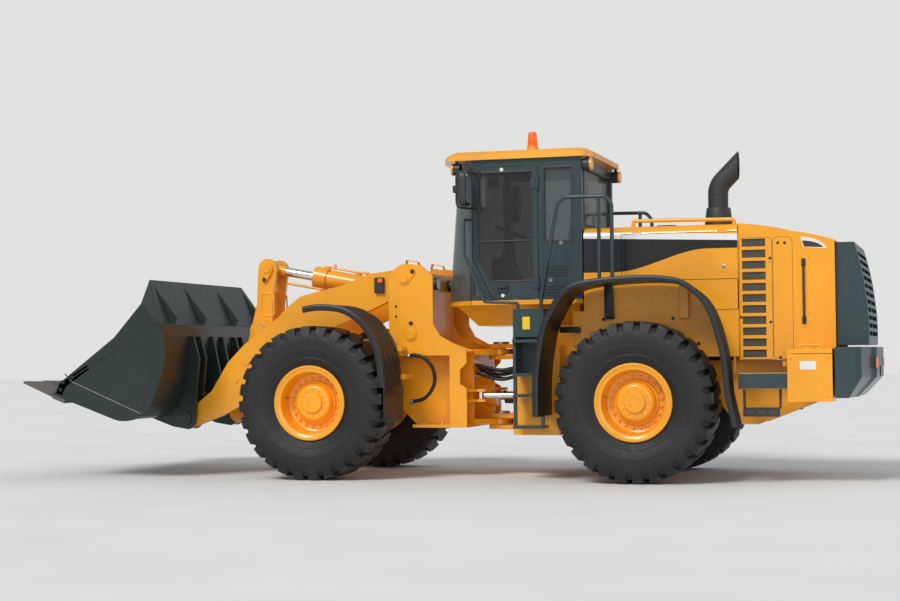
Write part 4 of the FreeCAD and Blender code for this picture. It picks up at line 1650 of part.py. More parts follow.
def counterweight():
    """Counterweight across the rear end, bowed and slanted underneath."""
    half = S.weight_half
    nose, side = S.rear_overhang * -1, S.weight_side_rear
    top = ((S.weight_front, half), (side, half), (side - 50, half - 60), (nose + 40, S.weight_mid),
           (nose, S.weight_mid - 60), (nose, 60 - S.weight_mid), (nose + 40, -S.weight_mid),
           (side - 50, 60 - half), (side, -half), (S.weight_front, -half))
    low = ((S.weight_front, half), (side + 120, half), (side + 70, half - 60), (side + 40, S.weight_mid),
           (side + 20, S.weight_mid - 60), (side + 20, 60 - S.weight_mid), (side + 40, -S.weight_mid),
           (side + 70, 60 - half), (side + 120, -half), (S.weight_front, -half))
    block = loft("weight_upper", ((S.weight_knee, top), (S.weight_top, top)), (REAR, 0, 0))
    foot = loft("weight_lower", ((S.weight_bottom + 20, low), (S.weight_knee, top)), (REAR, 0, 0))
    lamps = []
    for tag, y in (("left", S.tail_lamp_y), ("right", -S.tail_lamp_y)):
        lamps.append(box("tail_recess_" + tag, (REAR + nose - 20, REAR + nose + 26), (y - 95, y + 95),
                         (S.tail_lamp_z - 55, S.tail_lamp_z + 55)))
    pin = drum("tow_hole", "z", (REAR + nose + 110, 0, S.tow_z), S.tow_pin_radius, 400)
    jaw = box("tow_jaw", (REAR + nose - 10, REAR + nose + 190), (-110, 110), (S.tow_z - 55, S.tow_z + 55))
    solid = fuse("weight_solid", [block, foot])
    return node("counterweight", cut("counterweight", solid, lamps + [pin, jaw]))


def battery_box(name):
    """Battery box beside the counterweight, open at the top, with the beam to the fender."""
    wall = S.box_wall
    x = (REAR + S.box_rear, REAR + S.box_front)
    y, z = (S.box_inner, S.box_outer), (S.box_bottom, S.box_top)
    shell = box(name + "_shell", x, y, z)
    inside = box(name + "_inside", (x[0] + wall, x[1] - wall), (y[0] + wall, y[1] - wall),
                 (z[0] + wall, z[1] + 10))
    body = cut(name + "_body", shell, [inside])
    beam = box(name + "_beam", (x[1] - 1, REAR + S.beam_front), (y[0] + 60, y[1] - 20),
               (S.side_beam_low, S.side_beam_high))
    arm = box(name + "_arm", (x[0] + 60, x[0] + 200), (S.rail_y + S.rail_thick / 2, y[0] + 1),
              (z[0] + 90, z[0] + 230))
    hinges = []
    for number, near in enumerate((x[0] + S.hinge_inset, x[1] - S.hinge_inset - S.hinge_length)):
        across = (near, near + S.hinge_length)
        hinges.append(box("%s_hinge_%d" % (name, number), across, (y[0] - wall, y[0] - S.glass_seat),
                          (S.box_top - 60, S.box_top + S.lid_height)))
        hinges.append(box("%s_hinge_foot_%d" % (name, number), across, (y[0] - wall, y[0] + 1),
                          (S.box_top - 60, S.box_top - 2)))
    return fuse(name, [body, beam, arm] + hinges)


def battery_lid(name, side):
    """Lid of a battery box with its handle, hinged along its inner edge."""
    low, high = sorted((side * S.box_inner, side * S.box_outer), key=float)
    top, rear, front = S.box_top + S.lid_height, REAR + S.box_rear, REAR + S.box_front
    plate = box(name + "_plate", (rear, front), (low, high), (S.box_top + S.lid_gap, top))
    inset = S.hinge_inset + 1.6 * S.hinge_length
    knuckles = [drum("%s_knuckle_%d" % (name, number), "x", (x, side * S.box_inner, top), S.lid_knuckle,
                     S.hinge_length * 0.8) for number, x in enumerate((rear + inset, front - inset))]
    near, far, y = (rear + front) / 2 - 110, (rear + front) / 2 + 110, side * (S.box_outer - 60)
    handle = tube(name + "_handle", ((near, y, top - 2), (near, y, top + 36), (far, y, top + 36),
                                     (far, y, top - 2)), 9, 16)
    return node(name, fuse(name, [plate, handle] + knuckles))


def grille_door():
    """Rear grille: a bowed frame with bars across it, hinged at its right side."""
    front = S.hood_rear - S.grille_gap
    middle = (S.grille_top + S.grille_bottom) / 2

    def bow(inset, ends, start):
        top_x, foot_x = inset - S.grille_top_reach, inset - S.grille_foot_reach
        return ((start, S.grille_bottom + ends), (start, S.grille_top - ends), (top_x, S.grille_top - ends),
                ((top_x + foot_x) / 2 - 40, middle, 2600), (foot_x, S.grille_bottom + ends, 2600))
    outer = slab("grille_shell", "XZ", bow(ZERO, ZERO, front), 2 * S.grille_half, (REAR, 0, 0))
    inner = slab("grille_inside", "XZ", bow(S.grille_depth, S.grille_wall, front + 10),
                 2 * (S.grille_half - S.grille_wall), (REAR, 0, 0))
    pitch = (S.grille_top - S.grille_bottom - 2 * S.grille_border) / S.grille_bars
    cuts = [inner]
    for row in range(int(S.grille_bars.value)):
        z = S.grille_bottom + S.grille_border + pitch * row
        cuts.append(box("grille_slot_%d" % row, (REAR - S.grille_foot_reach - 80, REAR + front - 60),
                        (S.grille_border - S.grille_half, S.grille_half - S.grille_border),
                        (z + S.grille_bar / 2, z + pitch - S.grille_bar / 2)))
    body = cut("grille_body", outer, cuts)
    inside = bow(S.grille_depth + 20, S.grille_border / 2, front)
    outside = bow(Size(10), S.grille_border / 2, front)
    spine = slab("grille_spine", "XZ", (
        outside[2], outside[3], outside[4], inside[4],
        (inside[3][0], inside[3][1], -2600), (inside[2][0], inside[2][1], -2600)), 40, (REAR, 0, 0))
    knuckles = [drum("grille_knuckle_%d" % number, "z", (REAR + front, -S.grille_half, z),
                     S.knuckle_radius, 90)
                for number, z in enumerate((S.grille_bottom + 150, S.grille_top - 150))]
    return node("grille_door", fuse("grille_door", [body, spine] + knuckles))


def cab_door():
    """Door frame with its handle box, and its pane."""
    outline = door_outline(ZERO)
    border, y = S.window_border, S.cab_half - S.door_thick / 2

    def window(edge):
        left, right = S.door_rear + border + edge, S.door_front - border - edge
        sill, top = S.window_sill + edge, S.door_top - border - edge
        return ((left, sill), (S.door_front - 190 - edge, sill), (right, S.door_knee_z), (right, top),
                (left, top))
    frame = slab("door_panel", "XZ", outline, S.door_thick, (REAR, y, 0))
    opening = slab("door_opening", "XZ", window(ZERO), 2 * S.door_thick, (REAR, y, 0))
    handle = box("door_handle", (REAR + S.door_toe - 160, REAR + S.door_toe - 40),
                 (S.cab_half - 2, S.cab_half + 26), (S.window_sill - 110, S.window_sill - 30))
    hinges = []
    for number, z in enumerate((S.door_bottom + 160, S.door_top - 180)):
        hinges.append(drum("door_hinge_%d" % number, "z",
                           (REAR + S.door_rear - 3, S.cab_half + S.hinge_radius + S.glass_seat, z),
                           S.hinge_radius, 120))
        hinges.append(box("door_leaf_%d" % number, (REAR + S.door_rear, REAR + S.door_rear + 70),
                          (S.cab_half - 1, S.cab_half + S.hinge_radius), (z - 50, z + 50)))
    node("cab_door", fuse("cab_door", [cut("door_frame", frame, [opening]), handle] + hinges))
    return node("door_glass", pane("door_glass", "XZ", window(S.glass_seat), (REAR, y, 0)))


front_frame()
pair("front_fenders", front_fender)
pair("front_lamps", front_lamp)
hitch_pins()
axle("front_axle", FRONT, S.saddle_bottom, shaft=True)
axle("rear_axle", REAR, S.arch_z)
wheel("front", FRONT)
wheel("rear", REAR)
lift_arm()
bell_crank()
link()
bucket()
bucket_edge()
cylinder_pair()
tilt_cylinder()
for tag, side in (("left", 1), ("right", -1)):
    steering_cylinder(tag, side)
    hood_cover("hood_cover_" + tag, side)
    battery_lid("battery_lid_" + tag, side)
rear_chassis()
driveline()
engine()
pair("side_tanks", side_tank)
pair("side_panels", side_panel)
cab_base()
cab_frame()
cab_glass()
cab_roof()
cab_interior()
seat()
cab_door()
pair("mirrors", mirror)
beacon()
lamps()
pair("rear_fenders", rear_fender)
pair("ladders", ladder)
pair("handrails", handrail)
hood()
hood_rear()
exhaust()
counterweight()
pair("battery_boxes", battery_box)
grille_door()

doc.recompute()
for thing in doc.Objects:
    if set(thing.State) & {"Invalid", "Error"}:
        raise RuntimeError("%s did not build: %s" % (thing.Name, thing.State))
for name, thing in NODES.items():
    if thing.Shape.isNull() or not thing.Shape.isValid() or not thing.Shape.Solids:
        raise RuntimeError("%s has no valid solid" % name)

os.makedirs("parts", exist_ok=True)
for name, thing in NODES.items():
    thing.Shape.exportStep("parts/%s.step" % name)
    bounds = thing.Shape.BoundBox
    print("%-20s %d solids %8.3f m3  x %6.0f %6.0f  y %6.0f %6.0f  z %6.0f %6.0f" % (
        name, len(thing.Shape.Solids), thing.Shape.Volume / 1e9, bounds.XMin, bounds.XMax,
        bounds.YMin, bounds.YMax, bounds.ZMin, bounds.ZMax))
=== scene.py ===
"""Looks of a wheel loader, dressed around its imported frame.

Every length is in metres in the frame's own axes: +X ahead, +Y left, +Z up.
"""

import logging
import math
from dataclasses import dataclass, field
from enum import Enum
from typing import Iterable, Optional, Sequence, Union

import bmesh
import bpy
import numpy as np
from mathutils import Matrix


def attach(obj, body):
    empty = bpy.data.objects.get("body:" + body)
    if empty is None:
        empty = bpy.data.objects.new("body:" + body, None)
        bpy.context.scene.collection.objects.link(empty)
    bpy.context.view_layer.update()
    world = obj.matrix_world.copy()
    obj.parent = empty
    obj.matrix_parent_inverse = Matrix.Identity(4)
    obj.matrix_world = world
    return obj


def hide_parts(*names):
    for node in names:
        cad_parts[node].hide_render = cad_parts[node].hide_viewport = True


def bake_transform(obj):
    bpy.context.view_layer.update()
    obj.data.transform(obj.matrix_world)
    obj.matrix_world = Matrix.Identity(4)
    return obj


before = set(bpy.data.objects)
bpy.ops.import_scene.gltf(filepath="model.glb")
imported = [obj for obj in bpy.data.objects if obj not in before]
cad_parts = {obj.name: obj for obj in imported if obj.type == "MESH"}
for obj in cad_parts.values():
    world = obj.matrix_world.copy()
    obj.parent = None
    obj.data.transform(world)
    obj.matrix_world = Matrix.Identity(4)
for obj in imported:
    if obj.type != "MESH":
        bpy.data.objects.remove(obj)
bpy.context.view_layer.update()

log = logging.getLogger("loader")
FRONT, REAR, HITCH = 1.17665, -2.15335, -0.48835
HUB_Z, HALF_TRACK = 0.785, 1.063
Number = Union[int, float, "Sock"]
Point = Sequence[float]


class Axis(Enum):
    """A direction of the frame, as its column number."""

    X = 0
    Y = 1
    Z = 2


class Grain(Enum):
    """How a finish is rough to the touch."""

    PEEL = "sprayed paint"
    CAST = "cast or rolled metal"
    RUBBER = "moulded rubber"
    TURNED = "fine rings of turning"
    WEAVE = "woven cloth"
    LEATHER = "moulded plastic skin"


class Graph:
    """Node tree of one material or of the sky."""

    def __init__(self, owner: Union[bpy.types.Material, bpy.types.World]) -> None:
        """Empties the owner's node tree."""
        owner.use_nodes = True
        self.tree = owner.node_tree
        self.tree.nodes.clear()

    def node(self, kind: str, settings: Optional[dict] = None, values: Optional[dict] = None,
             out: Union[int, str] = 0) -> Optional["Sock"]:
        """Makes a node.

        Args:
            kind: the node's type, without its ShaderNode prefix.
            settings: its properties, set first; "stops" fills a ramp.
            values: numbers, colours or sockets for its inputs, by name or number.
            out: the output to return.
        Returns:
            The wrapped output socket, or None for a node without one.
        """
        made = self.tree.nodes.new("ShaderNode" + kind)
        for key, value in (settings or {}).items():
            if key == "stops":
                ramp = made.color_ramp
                for index, (place, colour) in enumerate(value):
                    stop = ramp.elements[index] if index < 2 else ramp.elements.new(place)
                    stop.position, stop.color = place, colour
            else:
                setattr(made, key, value)
        for key, value in (values or {}).items():
            if isinstance(value, Sock):
                self.tree.links.new(value.socket, made.inputs[key])
            else:
                made.inputs[key].default_value = value
        return Sock(self, made.outputs[out]) if made.outputs else None

    def mix(self, share: Number, one: object, other: object) -> "Sock":
        """Blends two colours by a share from 0 to 1."""
        return self.node("Mix", {"data_type": "RGBA"}, {0: share, 6: one, 7: other}, 2)

    def place(self) -> "Sock":
        """Place on the object, in metres."""
        return self.node("TexCoord", out="Object")

    def noise(self, scale: float, detail: float = 3.0, where: Optional["Sock"] = None) -> "Sock":
        """Cloudy pattern around a half, with so many lumps to a metre."""
        return self.node("TexNoise", {}, {"Vector": where or self.place(), "Scale": scale, "Detail": detail})


class Sock:
    """A socket that takes part in sums."""

    def __init__(self, graph: Graph, socket: bpy.types.NodeSocket) -> None:
        """Wraps an output socket of a graph."""
        self.graph, self.socket = graph, socket

    def _sum(self, operation: str, *terms: Number) -> "Sock":
        """Adds a Math node."""
        return self.graph.node("Math", {"operation": operation}, dict(enumerate(terms)))

    def __add__(self, other: Number) -> "Sock":
        """Sum."""
        return self._sum("ADD", self, other)

    def __sub__(self, other: Number) -> "Sock":
        """Difference."""
        return self._sum("SUBTRACT", self, other)

    def __rsub__(self, other: Number) -> "Sock":
        """Difference from a number."""
        return self._sum("SUBTRACT", other, self)

    def __mul__(self, other: Number) -> "Sock":
        """Product."""
        return self._sum("MULTIPLY", self, other)

    def __truediv__(self, other: Number) -> "Sock":
        """Quotient."""
        return self._sum("DIVIDE", self, other)

    def __pow__(self, other: Number) -> "Sock":
        """Power."""
        return self._sum("POWER", self, other)

    def __gt__(self, other: Number) -> "Sock":
        """1 where this is the greater."""
        return self._sum("GREATER_THAN", self, other)

    def __lt__(self, other: Number) -> "Sock":
        """1 where this is the smaller."""
        return self._sum("LESS_THAN", self, other)

    def __abs__(self) -> "Sock":
        """Size without its sign."""
        return self._sum("ABSOLUTE", self)

    def sine(self) -> "Sock":
        """Sine of the number."""
        return self._sum("SINE", self)

    def most(self, other: Number) -> "Sock":
        """The greater of two numbers."""
        return self._sum("MAXIMUM", self, other)

    __radd__, __rmul__ = __add__, __mul__

    def rise(self, low: float, high: float) -> "Sock":
        """Smooth step from 0 at low to 1 at high."""
        return self.graph.node("MapRange", {"interpolation_type": "SMOOTHSTEP"},
                               {"Value": self, "From Min": low, "From Max": high})

    def axes(self) -> tuple["Sock", "Sock", "Sock"]:
        """The three numbers of a vector."""
        x = self.graph.node("SeparateXYZ", {}, {0: self})
        outs = x.socket.node.outputs
        return x, Sock(self.graph, outs[1]), Sock(self.graph, outs[2])


def linear(colour: Sequence[float]) -> tuple[float, float, float, float]:
    """Screen colour of 0 to 255 as the light it stands for."""
    share = [c / 255 for c in colour[:3]]
    return tuple(c / 12.92 if c <= 0.04045 else ((c + 0.055) / 1.055) ** 2.4 for c in share) + (1.0,)


@dataclass(frozen=True)
class Finish:
    """A surface: colour with its slow changes, dust low down, gloss and fine relief."""

    name: str
    colour: tuple[int, int, int]
    rough: float = 0.4
    metal: float = 0.0
    coat: float = 0.0
    grain: Grain = Grain.PEEL
    relief: float = 0.05
    dust: float = 0.04
    dust_colour: tuple[int, int, int] = (132, 130, 126)
    see: float = 1.0
    glow: float = 0.0

    def colours(self, g: Graph) -> Sock:
        """Clean colour with slow changes in tone."""
        base = linear(self.colour)
        shade = tuple(c * 0.86 for c in base[:3]) + (1.0,)
        return g.mix(g.noise(1.3).rise(0.35, 0.7), base, shade)

    def height(self, g: Graph) -> Sock:
        """Fine relief of the finish, by its grain."""
        if self.grain is Grain.TURNED:
            return g.noise(900, 1.0)
        if self.grain is Grain.WEAVE:
            x, y, z = (g.place()).axes()
            return ((x + z) * 1400.0).sine() * (y * 1400.0).sine()
        scale = {Grain.PEEL: 260, Grain.CAST: 55, Grain.RUBBER: 120, Grain.LEATHER: 420}[self.grain]
        return g.noise(scale, 4.0)

    def opacity(self, g: Graph) -> Number:
        """Share of what lies behind that is hidden."""
        return self.see

    def material(self) -> bpy.types.Material:
        """The material of that name, made once."""
        found = bpy.data.materials.get(self.name)
        if found:
            return found
        made = bpy.data.materials.new(self.name)
        g = Graph(made)
        _, _, z = g.place().axes()
        low = 1 - z.rise(0.1, 1.5)
        grime = (g.noise(3.0, 8.0).rise(0.42, 0.72) * (low * 0.8 + 0.2)) * self.dust
        fine = g.noise(38.0, 6.0)
        colour = g.mix(grime, self.colours(g), linear(self.dust_colour))
        rough = (fine.rise(0.3, 0.75) * 0.12 + (self.rough - 0.05)) + grime * 0.8
        bump = g.node("Bump", {}, {"Height": self.height(g), "Strength": self.relief, "Distance": 0.002})
        values = {"Base Color": colour, "Roughness": rough, "Metallic": self.metal,
                  "Coat Weight": self.coat, "Coat Roughness": 0.08, "Normal": bump, "Alpha": self.opacity(g)}
        if self.glow:
            values.update({"Emission Color": colour, "Emission Strength": self.glow})
        shader = g.node("BsdfPrincipled", {}, values)
        g.node("OutputMaterial", {}, {"Surface": shader})
        return made


@dataclass(frozen=True)
class HoodPaint(Finish):
    """Machine paint with the white stripe and the black field along the hood's sides."""

    field_colour: tuple[int, int, int] = (5, 6, 7)
    stripe_colour: tuple[int, int, int] = (238, 238, 234)
    field_end: float = -4.272 + FRONT
    slope: float = 0.036
    step_start: float = -3.06 + FRONT
    step_end: float = -3.98 + FRONT

    def colours(self, g: Graph) -> Sock:
        """Paint, then a stripe between two falling lines, then a field under it whose lower edge swings up aft.

        The lower edge is a smooth step in x between its front and rear heights.
        """
        paint = super().colours(g)
        x, y, z = g.place().axes()
        side = (abs(y) > 0.655) * (x > self.field_end)
        fall = (x - (-2.736 + FRONT)) * self.slope
        above = z - fall
        stripe = (above > 2.412) * (above < 2.474) * side
        swing = 1 - x.rise(self.step_end, self.step_start)
        under = 2.069 + swing * 0.212
        field_ = (above < 2.412) * (z > under) * side * (z > 1.9)
        marked = g.mix(field_, paint, linear(self.field_colour))
        return g.mix(stripe, marked, linear(self.stripe_colour))


@dataclass(frozen=True)
class TyreRubber(Finish):
    """Tread rubber, greyed where the lugs meet the ground and on their edges: partly dust, partly painted highlight.
    """

    station: float = FRONT

    def colours(self, g: Graph) -> Sock:
        """Black, with a share of grey that grows with the distance from the axle; the grey is partly dust, partly
        painted highlight.
        """
        base = super().colours(g)
        x, _, z = g.place().axes()
        reach = (((x - self.station) ** 2) + ((z - HUB_Z) ** 2)) ** 0.5
        # grey on the lug tops and edges: partly dust, partly painted highlight
        tread = reach.rise(0.745, 0.785) * g.noise(14.0, 6.0).rise(0.42, 0.75)
        return g.mix(tread * 0.55, base, linear((118, 118, 117)))


@dataclass(frozen=True)
class CabPane(Finish):
    """Dark see-through glass, clearer in the windscreen; the panes behind the door are made more opaque as painted
    shade.
    """

    clear: float = 0.42
    # darker share behind the door: painted shade
    dark: float = 0.86
    border: float = REAR + 1.08

    def opacity(self, g: Graph) -> Number:
        """A smooth step in x from the windscreen's share to the darker painted-shade share behind the door."""
        x, _, _ = g.place().axes()
        return x.rise(self.border + 0.05, self.border - 0.05) * (self.dark - self.clear) + self.clear


@dataclass(frozen=True)
class MeshScreen(Finish):
    """Wire mesh seen as a near-black sheet, painted shade of the space behind it, with a bright net of wires."""

    pitch: float = 0.011

    def colours(self, g: Graph) -> Sock:
        """Wires where either of two waves along x and z is near its top."""
        x, _, z = g.place().axes()
        turn = 2 * math.pi / self.pitch
        net = ((x * turn).sine() > 0.72).most((z * turn).sine() > 0.72)
        # near-black between the wires: painted shade of the space behind the mesh
        return g.mix(net * 0.85, linear((10, 10, 10)), linear(self.colour))


YELLOW = Finish("machine_yellow", (255, 170, 24), 0.34, coat=0.45, relief=0.02, dust=0.03)
HOOD = HoodPaint("hood_paint", (255, 170, 24), 0.30, coat=0.55, relief=0.02, dust=0.02)
SLATE = Finish("slate_green", (43, 63, 66), 0.36, coat=0.25, relief=0.03, dust=0.03)
BUCKET = Finish("bucket_green", (27, 42, 40), 0.40, coat=0.20, relief=0.06, dust=0.03)
EDGE = Finish("edge_steel", (27, 40, 38), 0.50, relief=0.2, grain=Grain.CAST, dust=0.03)
CHROME = Finish("rod_chrome", (214, 217, 220), 0.34, metal=0.9, relief=0.0, grain=Grain.TURNED, dust=0.0)
PIN = Finish("pin_steel", (104, 104, 102), 0.38, metal=0.85, grain=Grain.TURNED, relief=0.04)
TYRE_FRONT = TyreRubber("tyre_front", (24, 24, 25), 0.58, grain=Grain.RUBBER, relief=0.10, dust=0.05)
TYRE_REAR = TyreRubber("tyre_rear", (24, 24, 25), 0.58, grain=Grain.RUBBER, relief=0.10, dust=0.05, station=REAR)
RUBBER = Finish("fender_rubber", (29, 30, 31), 0.42, grain=Grain.RUBBER, relief=0.08, dust=0.03)
HOSE = Finish("hose_rubber", (22, 22, 23), 0.45, grain=Grain.RUBBER, relief=0.08, dust=0.03)
BLACK = Finish("black_paint", (20, 21, 22), 0.42, coat=0.1, relief=0.05, dust=0.03)
EXHAUST = Finish("exhaust_black", (56, 57, 58), 0.55, metal=0.2, grain=Grain.CAST, relief=0.06, dust=0.02)
IRON = Finish("engine_iron", (62, 62, 64), 0.55, metal=0.4, grain=Grain.CAST, relief=0.3, dust=0.10)
CAB_SKIN = Finish("cab_plastic", (40, 42, 44), 0.6, grain=Grain.LEATHER, relief=0.15, dust=0.02)
GLASS = CabPane("smoked_glass", (34, 32, 33), 0.05, coat=0.6, relief=0.0, dust=0.0)
DOOR_GLASS = Finish("door_glass", (46, 42, 42), 0.05, coat=0.6, relief=0.0, dust=0.0, see=0.66)
LENS = Finish("lamp_lens", (226, 230, 232), 0.1, coat=0.8, relief=0.0, dust=0.0, glow=0.08)
RED_LENS = Finish("red_lens", (190, 24, 18), 0.15, coat=0.7, relief=0.0, dust=0.02, glow=0.12)
AMBER = Finish("amber_lens", (255, 106, 12), 0.18, coat=0.7, relief=0.0, dust=0.0, glow=0.22)
WHITE = Finish("white_plate", (236, 236, 232), 0.4, relief=0.02, dust=0.02)
LABEL = Finish("yellow_plate", (252, 205, 20), 0.4, relief=0.02, dust=0.02)
MIRROR = Finish("mirror_glass", (190, 198, 204), 0.04, metal=1.0, relief=0.0, dust=0.0)
CLOTH = Finish("seat_cloth", (42, 44, 50), 0.85, grain=Grain.WEAVE, relief=0.5, dust=0.0)
NET = MeshScreen("vent_mesh", (128, 122, 108), 0.55, metal=0.5, relief=0.1, dust=0.03)
STEEL = Finish("bright_steel", (170, 172, 172), 0.3, metal=0.9, grain=Grain.TURNED, relief=0.05, dust=0.02)


@dataclass
class Shell:
    """Corner points and blocks of faces, each block one array of corner numbers."""

    points: np.ndarray
    faces: list[np.ndarray]

    def __add__(self, other: "Shell") -> "Shell":
        """Both shells in one."""
        shift = len(self.points)
        return Shell(np.vstack([self.points, other.points]), self.faces + [f + shift for f in other.faces])

    def moved(self, way: Point) -> "Shell":
        """The shell, shifted."""
        return Shell(self.points + np.asarray(way, float), self.faces)

    def mirrored(self) -> "Shell":
        """The shell on the other side of the middle line, its faces wound back."""
        return Shell(self.points * np.array([1, -1, 1]), [f[:, ::-1] for f in self.faces])

    def turned(self, axis: Axis, angle: float, centre: Point = (0, 0, 0)) -> "Shell":
        """The shell turned about an axis of the frame through a centre, by radians."""
        a, b = [(1, 2), (2, 0), (0, 1)][axis.value]
        rel = self.points - np.asarray(centre, float)
        out = rel.copy()
        out[:, a] = rel[:, a] * math.cos(angle) - rel[:, b] * math.sin(angle)
        out[:, b] = rel[:, a] * math.sin(angle) + rel[:, b] * math.cos(angle)
        return Shell(out + np.asarray(centre, float), self.faces)

    def both(self) -> "Shell":
        """The shell and its mirror image."""
        return self + self.mirrored()


def joined(shells: Iterable[Shell]) -> Shell:
    """Many shells in one."""
    shells = list(shells)
    total = shells[0]
    for other in shells[1:]:
        total = total + other
    return total


def grid(points: np.ndarray, ring_u: bool = False, ring_v: bool = False) -> Shell:
    """Surface through a grid of points.

    Args:
        points: array of rows by columns by three.
        ring_u: the last row joins the first.
        ring_v: the last column joins the first.
    Returns:
        A shell of four-sided faces between neighbours.
    """
    rows, columns = points.shape[:2]
    number = np.arange(rows * columns).reshape(rows, columns)
    down = np.roll(number, -1, 0) if ring_u else number[1:]
    here = number if ring_u else number[:-1]
    if not ring_v:
        faces = np.stack([here[:, :-1], here[:, 1:], down[:, 1:], down[:, :-1]], -1)
    else:
        faces = np.stack([here, np.roll(here, -1, 1), np.roll(down, -1, 1), down], -1)
    return Shell(points.reshape(-1, 3), [faces.reshape(-1, 4)])


def lathe(profile: Sequence[Point], centre: Point, axis: Axis = Axis.Y, steps: int = 64) -> Shell:
    """Profile of (along, radius) carried round an axis: the two cross directions are radius times cosine and sine."""
    p = np.asarray(profile, float)
    t = np.linspace(0, 2 * np.pi, steps, endpoint=False)
    out = np.zeros((steps, len(p), 3))
    a, b = [(1, 2), (2, 0), (0, 1)][axis.value]
    out[..., axis.value] = p[:, 0]
    out[..., a] = np.cos(t)[:, None] * p[:, 1]
    out[..., b] = np.sin(t)[:, None] * p[:, 1]
    return grid(out + np.asarray(centre, float), ring_u=True)


def along(points: Sequence[Point], steps: int = 12) -> np.ndarray:
    """Smooth line through points: on each span, the cubic whose slopes are half the chord between neighbours."""
    p = np.asarray(points, float)
    ext = np.vstack([2 * p[0] - p[1], p, 2 * p[-1] - p[-2]])
    t = np.linspace(0, 1, steps, endpoint=False)[None, :, None]
    a, b, c, d = (ext[i:len(ext) - 3 + i, None] for i in range(4))
    curve = 0.5 * (2 * b + (c - a) * t + (2 * a - 5 * b + 4 * c - d) * t ** 2 + (3 * b - a - 3 * c + d) * t ** 3)
    return np.vstack([curve.reshape(-1, p.shape[1]), p[-1]])


def sweep(section: np.ndarray, path: np.ndarray, up: Point = (0, 1, 0), ring: bool = False) -> Shell:
    """Section of (side, height) carried along a path, square to it, with flat ends.

    Args:
        section: closed outline, side along the given direction and height square to both.
        path: points of the line.
        up: direction of the section's side.
        ring: the path is closed.
    Returns:
        The closed shell.
    """
    way = np.gradient(path, axis=0)
    way /= np.linalg.norm(way, axis=1)[:, None]
    side = np.asarray(up, float) - way * (way @ np.asarray(up, float))[:, None]
    side /= np.linalg.norm(side, axis=1)[:, None]
    height = np.cross(way, side)
    rows = path[:, None] + side[:, None] * section[None, :, :1] + height[:, None] * section[None, :, 1:]
    shell = grid(rows, ring_u=ring, ring_v=True)
    if not ring:
        count = len(section)
        last = (len(path) - 1) * count
        shell.faces += [np.arange(count)[None, ::-1], np.arange(last, last + count)[None]]
    return shell


def round_section(radius: float, sides: int = 14) -> np.ndarray:
    """Circle as a section."""
    t = np.linspace(0, 2 * np.pi, sides, endpoint=False)
    return np.stack([np.cos(t), np.sin(t)], 1) * radius


def pipe(points: Sequence[Point], radius: float, up: Point = (0, 1, 0), sides: int = 14, steps: int = 10) -> Shell:
    """Round tube along a smooth line through points."""
    return sweep(round_section(radius, sides), along(points, steps), up)


def rounded(width: float, height: float, radius: float, steps: int = 5) -> np.ndarray:
    """Outline of a rectangle with round corners: four quarter circles, one at each corner."""
    t = np.linspace(0, np.pi / 2, steps)
    corners = [(1, 1, 0), (-1, 1, 1), (-1, -1, 2), (1, -1, 3)]
    arcs = [np.stack([sx * (width / 2 - radius) + radius * np.cos(t + q * np.pi / 2),
                      sy * (height / 2 - radius) + radius * np.sin(t + q * np.pi / 2)], 1)
            for sx, sy, q in corners]
    return np.vstack(arcs)


def plate(outline: np.ndarray, thick: float, at: Point, axis: Axis = Axis.Y, edge: float = 0.003) -> Shell:
    """Flat plate with chamfered rims: the outline at four heights, drawn in by the chamfer at the first and last.

    Args:
        outline: closed line of (first, second) on the plane square to the axis.
        thick: thickness along the axis, away from the start.
        at: where the outline's zero is, on the plate's near face.
        axis: direction of the thickness.
        edge: size of the chamfer.
    Returns:
        The closed shell.
    """
    o = np.asarray(outline, float)
    middle = o.mean(0)
    size = np.abs(o - middle).max(0)
    small = middle + (o - middle) * (1 - edge / np.maximum(size, edge * 2))
    sign = math.copysign(1, thick)
    levels = [(small, 0.0), (o, sign * edge), (o, thick - sign * edge), (small, thick)]
    first, second = {Axis.Y: (0, 2), Axis.X: (1, 2), Axis.Z: (0, 1)}[axis]
    rows = np.zeros((4, len(o), 3))
    for row, (line, depth) in enumerate(levels):
        rows[row, :, first], rows[row, :, second], rows[row, :, axis.value] = line[:, 0], line[:, 1], depth
    shell = grid(rows, ring_v=True)
    count = len(o)
    shell.faces += [np.arange(count)[None, ::-1], np.arange(3 * count, 4 * count)[None]]
    return shell.moved(at)


def bolt(at: Point, axis: Axis = Axis.Y, radius: float = 0.016, height: float = 0.012, out: float = 1) -> Shell:
    """Hexagon head with a chamfered crown on a washer."""
    head = lathe([(0, 0), (0, radius), (height * 0.8 * out, radius), (height * out, radius * 0.86), (height * out, 0)],
                 at, axis, 6)
    washer = lathe([(0, 0), (0, radius * 1.35), (height * 0.25 * out, radius * 1.35), (height * 0.25 * out, 0)],
                   at, axis, 16)
    return head + washer


def ball(at: Point, radii: Point, steps: int = 12) -> Shell:
    """Closed egg: sines and cosines of two angles, scaled along each axis."""
    v = np.linspace(0, np.pi, steps)
    shell = lathe(np.stack([-np.cos(v), np.sin(v)], 1), (0, 0, 0), Axis.Z, 2 * steps)
    return Shell(shell.points * np.asarray(radii), shell.faces).moved(at)


def pillow(at: Point, radii: Point) -> Shell:
    """Block with full round corners: a ball whose three numbers are raised to a low power and keep their signs."""
    unit = ball((0, 0, 0), (1, 1, 1), 20).points
    return Shell(np.sign(unit) * np.abs(unit) ** 0.42 * np.asarray(radii) + np.asarray(at), ball(at, radii, 20).faces)


def sheet(corners: Sequence[Point], thick: float) -> Shell:
    """Flat plate through corners of space, both faces half its thickness off along the corners' normal."""
    p = np.asarray(corners, float)
    off = np.cross(p[1] - p[0], p[2] - p[0])
    off *= thick / 2 / np.linalg.norm(off)
    shell = grid(np.stack([p - off, p + off]), ring_v=True)
    count = len(p)
    shell.faces += [np.arange(count)[None, ::-1], np.arange(count, 2 * count)[None]]
    return shell


